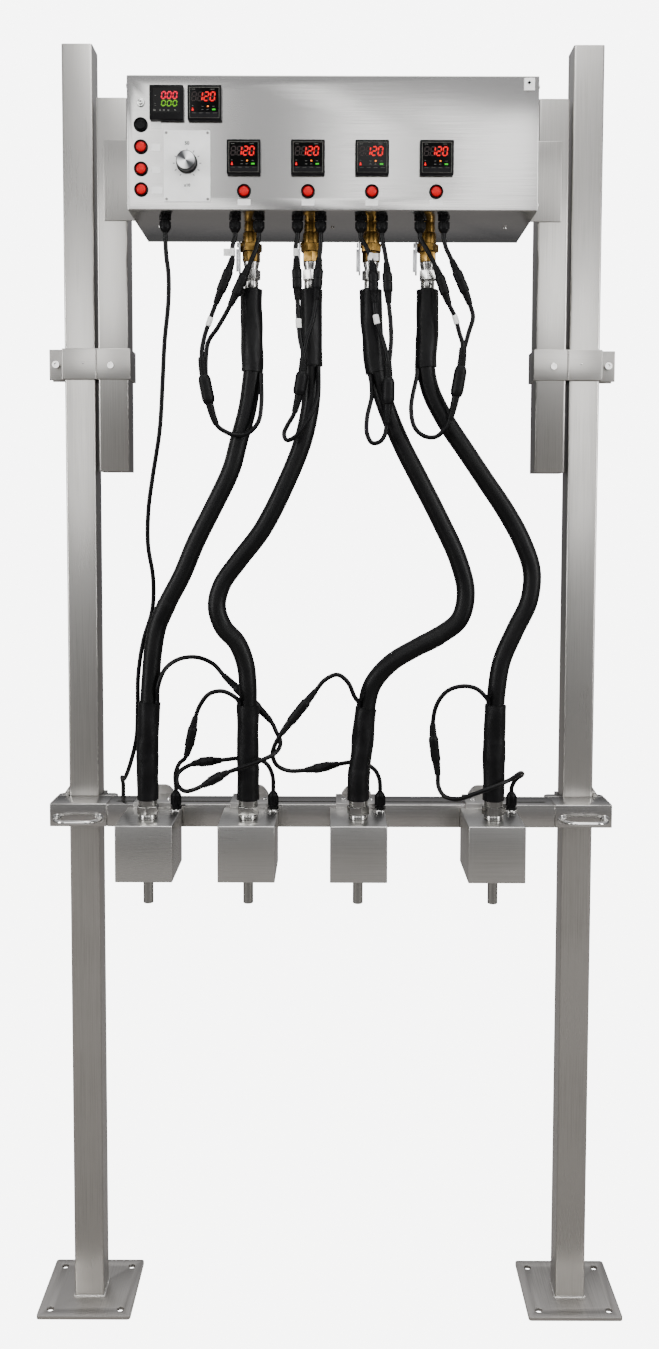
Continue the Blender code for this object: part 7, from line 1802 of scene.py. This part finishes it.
# Leads above the heads: from the foot of a hose's lower cuff, through connectors, to a
# gland on a head. They hang free.
LOWER_CUFF_SIDES = ((0.75, -0.66), (-0.70, -0.71), (-0.70, -0.71), (-0.70, -0.71))
LOWER_CONNECTORS = (
    ((-0.212, -0.095, 1.050), (-0.229, -0.081, 0.985)),
    ((-0.173, -0.047, 1.110), (-0.096, -0.055, 1.036)),
    ((-0.160, -0.113, 0.966), (-0.200, -0.109, 0.944)),
    ((-0.222, -0.061, 0.968), (-0.176, -0.047, 0.972)),
    ((-0.024, -0.096, 1.092), (-0.078, -0.095, 1.023)),
    ((-0.041, -0.066, 0.960), (0.012, -0.047, 0.966)),
    ((0.159, -0.097, 1.041), (0.168, -0.090, 0.957)),
)
LOWER_LEADS = (
    (1, 0, ((-0.152, -0.104, 1.084), (-0.170, -0.107, 1.092), (-0.190, -0.104, 1.087),
            (-0.205, -0.098, 1.068), LOWER_CONNECTORS[0], (-0.243, -0.058, 0.968),
            (-0.252, -0.036, 0.945))),
    (0, 1, ((-0.270, -0.098, 1.098), (-0.260, -0.092, 1.124), (-0.240, -0.072, 1.138),
            (-0.212, -0.050, 1.138), (-0.188, -0.043, 1.126), LOWER_CONNECTORS[1],
            (-0.088, -0.062, 1.022), (-0.080, -0.080, 1.008), (-0.085, -0.100, 0.996),
            (-0.105, -0.113, 0.986), (-0.132, -0.115, 0.976), LOWER_CONNECTORS[2],
            (-0.213, -0.104, 0.937), (-0.230, -0.094, 0.932), (-0.243, -0.080, 0.940),
            (-0.243, -0.069, 0.955), LOWER_CONNECTORS[3], (-0.150, -0.041, 0.974),
            (-0.125, -0.035, 0.974), (-0.104, -0.029, 0.962), (-0.095, -0.026, 0.942))),
    (2, 2, ((0.036, -0.104, 1.084), (0.026, -0.108, 1.106), (0.010, -0.106, 1.118),
            (-0.010, -0.100, 1.109), LOWER_CONNECTORS[4], (-0.087, -0.093, 1.008),
            (-0.092, -0.090, 0.990), (-0.086, -0.084, 0.972), (-0.068, -0.075, 0.961),
            LOWER_CONNECTORS[5], (0.035, -0.040, 0.968), (0.056, -0.034, 0.964),
            (0.072, -0.029, 0.952), (0.079, -0.026, 0.936))),
    (3, 3, ((0.238, -0.103, 1.086), (0.225, -0.107, 1.097), (0.205, -0.108, 1.101),
            (0.182, -0.106, 1.094), (0.166, -0.101, 1.074), LOWER_CONNECTORS[6],
            (0.169, -0.092, 0.940), (0.177, -0.100, 0.927), (0.196, -0.110, 0.924),
            (0.225, -0.115, 0.934), (0.255, -0.113, 0.945), (0.281, -0.100, 0.953),
            (0.300, -0.075, 0.958), (0.307, -0.050, 0.950), (0.299, -0.033, 0.938))),
)
# Where each lead is split for the bodies that it joins: the connector that ends its
# first part, the connector that starts its last, and two places in x or z for each end part.
LOWER_PARTS = (
    (0, 0, ((-0.150, 0, 0), (-0.200, 0, 0)), ((0, 0, 0.984), (0, 0, 0.930))),
    (0, 2, ((-0.262, 0, 0), (-0.195, 0, 0)), ((-0.172, 0, 0), (-0.105, 0, 0))),
    (0, 1, ((0.034, 0, 0), (-0.016, 0, 0)), ((0.018, 0, 0), (0.074, 0, 0))),
    (0, 0, ((0.236, 0, 0), (0.176, 0, 0)), ((0.195, 0, 0), (0.285, 0, 0))),
)
for number, (start, end, items) in enumerate(LOWER_LEADS):
    first, first_way = cuff_side(start, False, LOWER_CUFF_SIDES[start])
    gland = (HEAD_X[end] + HEAD_GLAND_SIDE, HEAD_GLAND_Y, HEAD_GLAND_TOP)
    dense, spans = lead_route(first, first_way, items, gland, (0, 0, 1))
    whole = lengths_along(dense)[-1]
    connectors = [add_connector(f"head_{number + 1}_connector_{k + 1}", dense, *span, CONNECTOR,
                                "beam_carriage") for k, span in enumerate(spans)]
    opens, closes, giving_first, giving_last = LOWER_PARTS[number]
    cuts = [0, (spans[opens][0] + spans[opens][1]) / 2]
    if closes > opens:
        cuts.append((spans[closes][0] + spans[closes][1]) / 2)
    cuts.append(whole)
    for part, (low, high) in enumerate(zip(cuts, cuts[1:])):
        give, far_end = None, "object"
        if part == 0:
            give, far_end = (f"head_{start + 1}", "beam_carriage", *giving_first), "connector"
        elif high == whole:
            give = ("beam_carriage", f"head_{end + 1}", *giving_last)
        else:
            far_end = "connector"
        add_lead(f"head_{number + 1}_lead_part_{part + 1}", dense, low, high, "beam_carriage",
                 give, (f"head_{number + 1}_lead",))


# Long cable: the beam's own lead. It hangs from the first gland behind the first hose
# and goes over the beam into a gland on its back.
LONG_CABLE = (
    (-0.253, -0.102, 1.760), (-0.250, -0.099, 1.730), (-0.251, -0.095, 1.690),
    (-0.258, -0.089, 1.630), (-0.262, -0.083, 1.574), (-0.268, -0.077, 1.497),
    (-0.281, -0.071, 1.420), (-0.288, -0.066, 1.373), (-0.290, -0.060, 1.318),
    (-0.283, -0.055, 1.265), (-0.285, -0.052, 1.215), (-0.300, -0.051, 1.164),
    (-0.308, -0.053, 1.111), (-0.309, -0.055, 1.060), (-0.312, -0.050, 1.010),
    (-0.325, -0.030, 0.965), (-0.342, 0.010, 0.930), (-0.3525, 0.045, 0.924),
    (-0.354, 0.0650, 0.908),
)
cable_end = (-0.354, BEAM_BACK + 0.008, BEAM_TOP - 0.006)
dense, spans = lead_route((GLAND_X[0], GLAND_Y, GLAND_BOTTOM), (0, 0, -1), LONG_CABLE, cable_end,
                          (0, 0, 1))
add_lead("long_cable_line", dense, 0, lengths_along(dense)[-1], "stand",
         ("stand", "beam_carriage", (0, 0, 1.60), (0, 0, 1.02)), ("long_cable",))
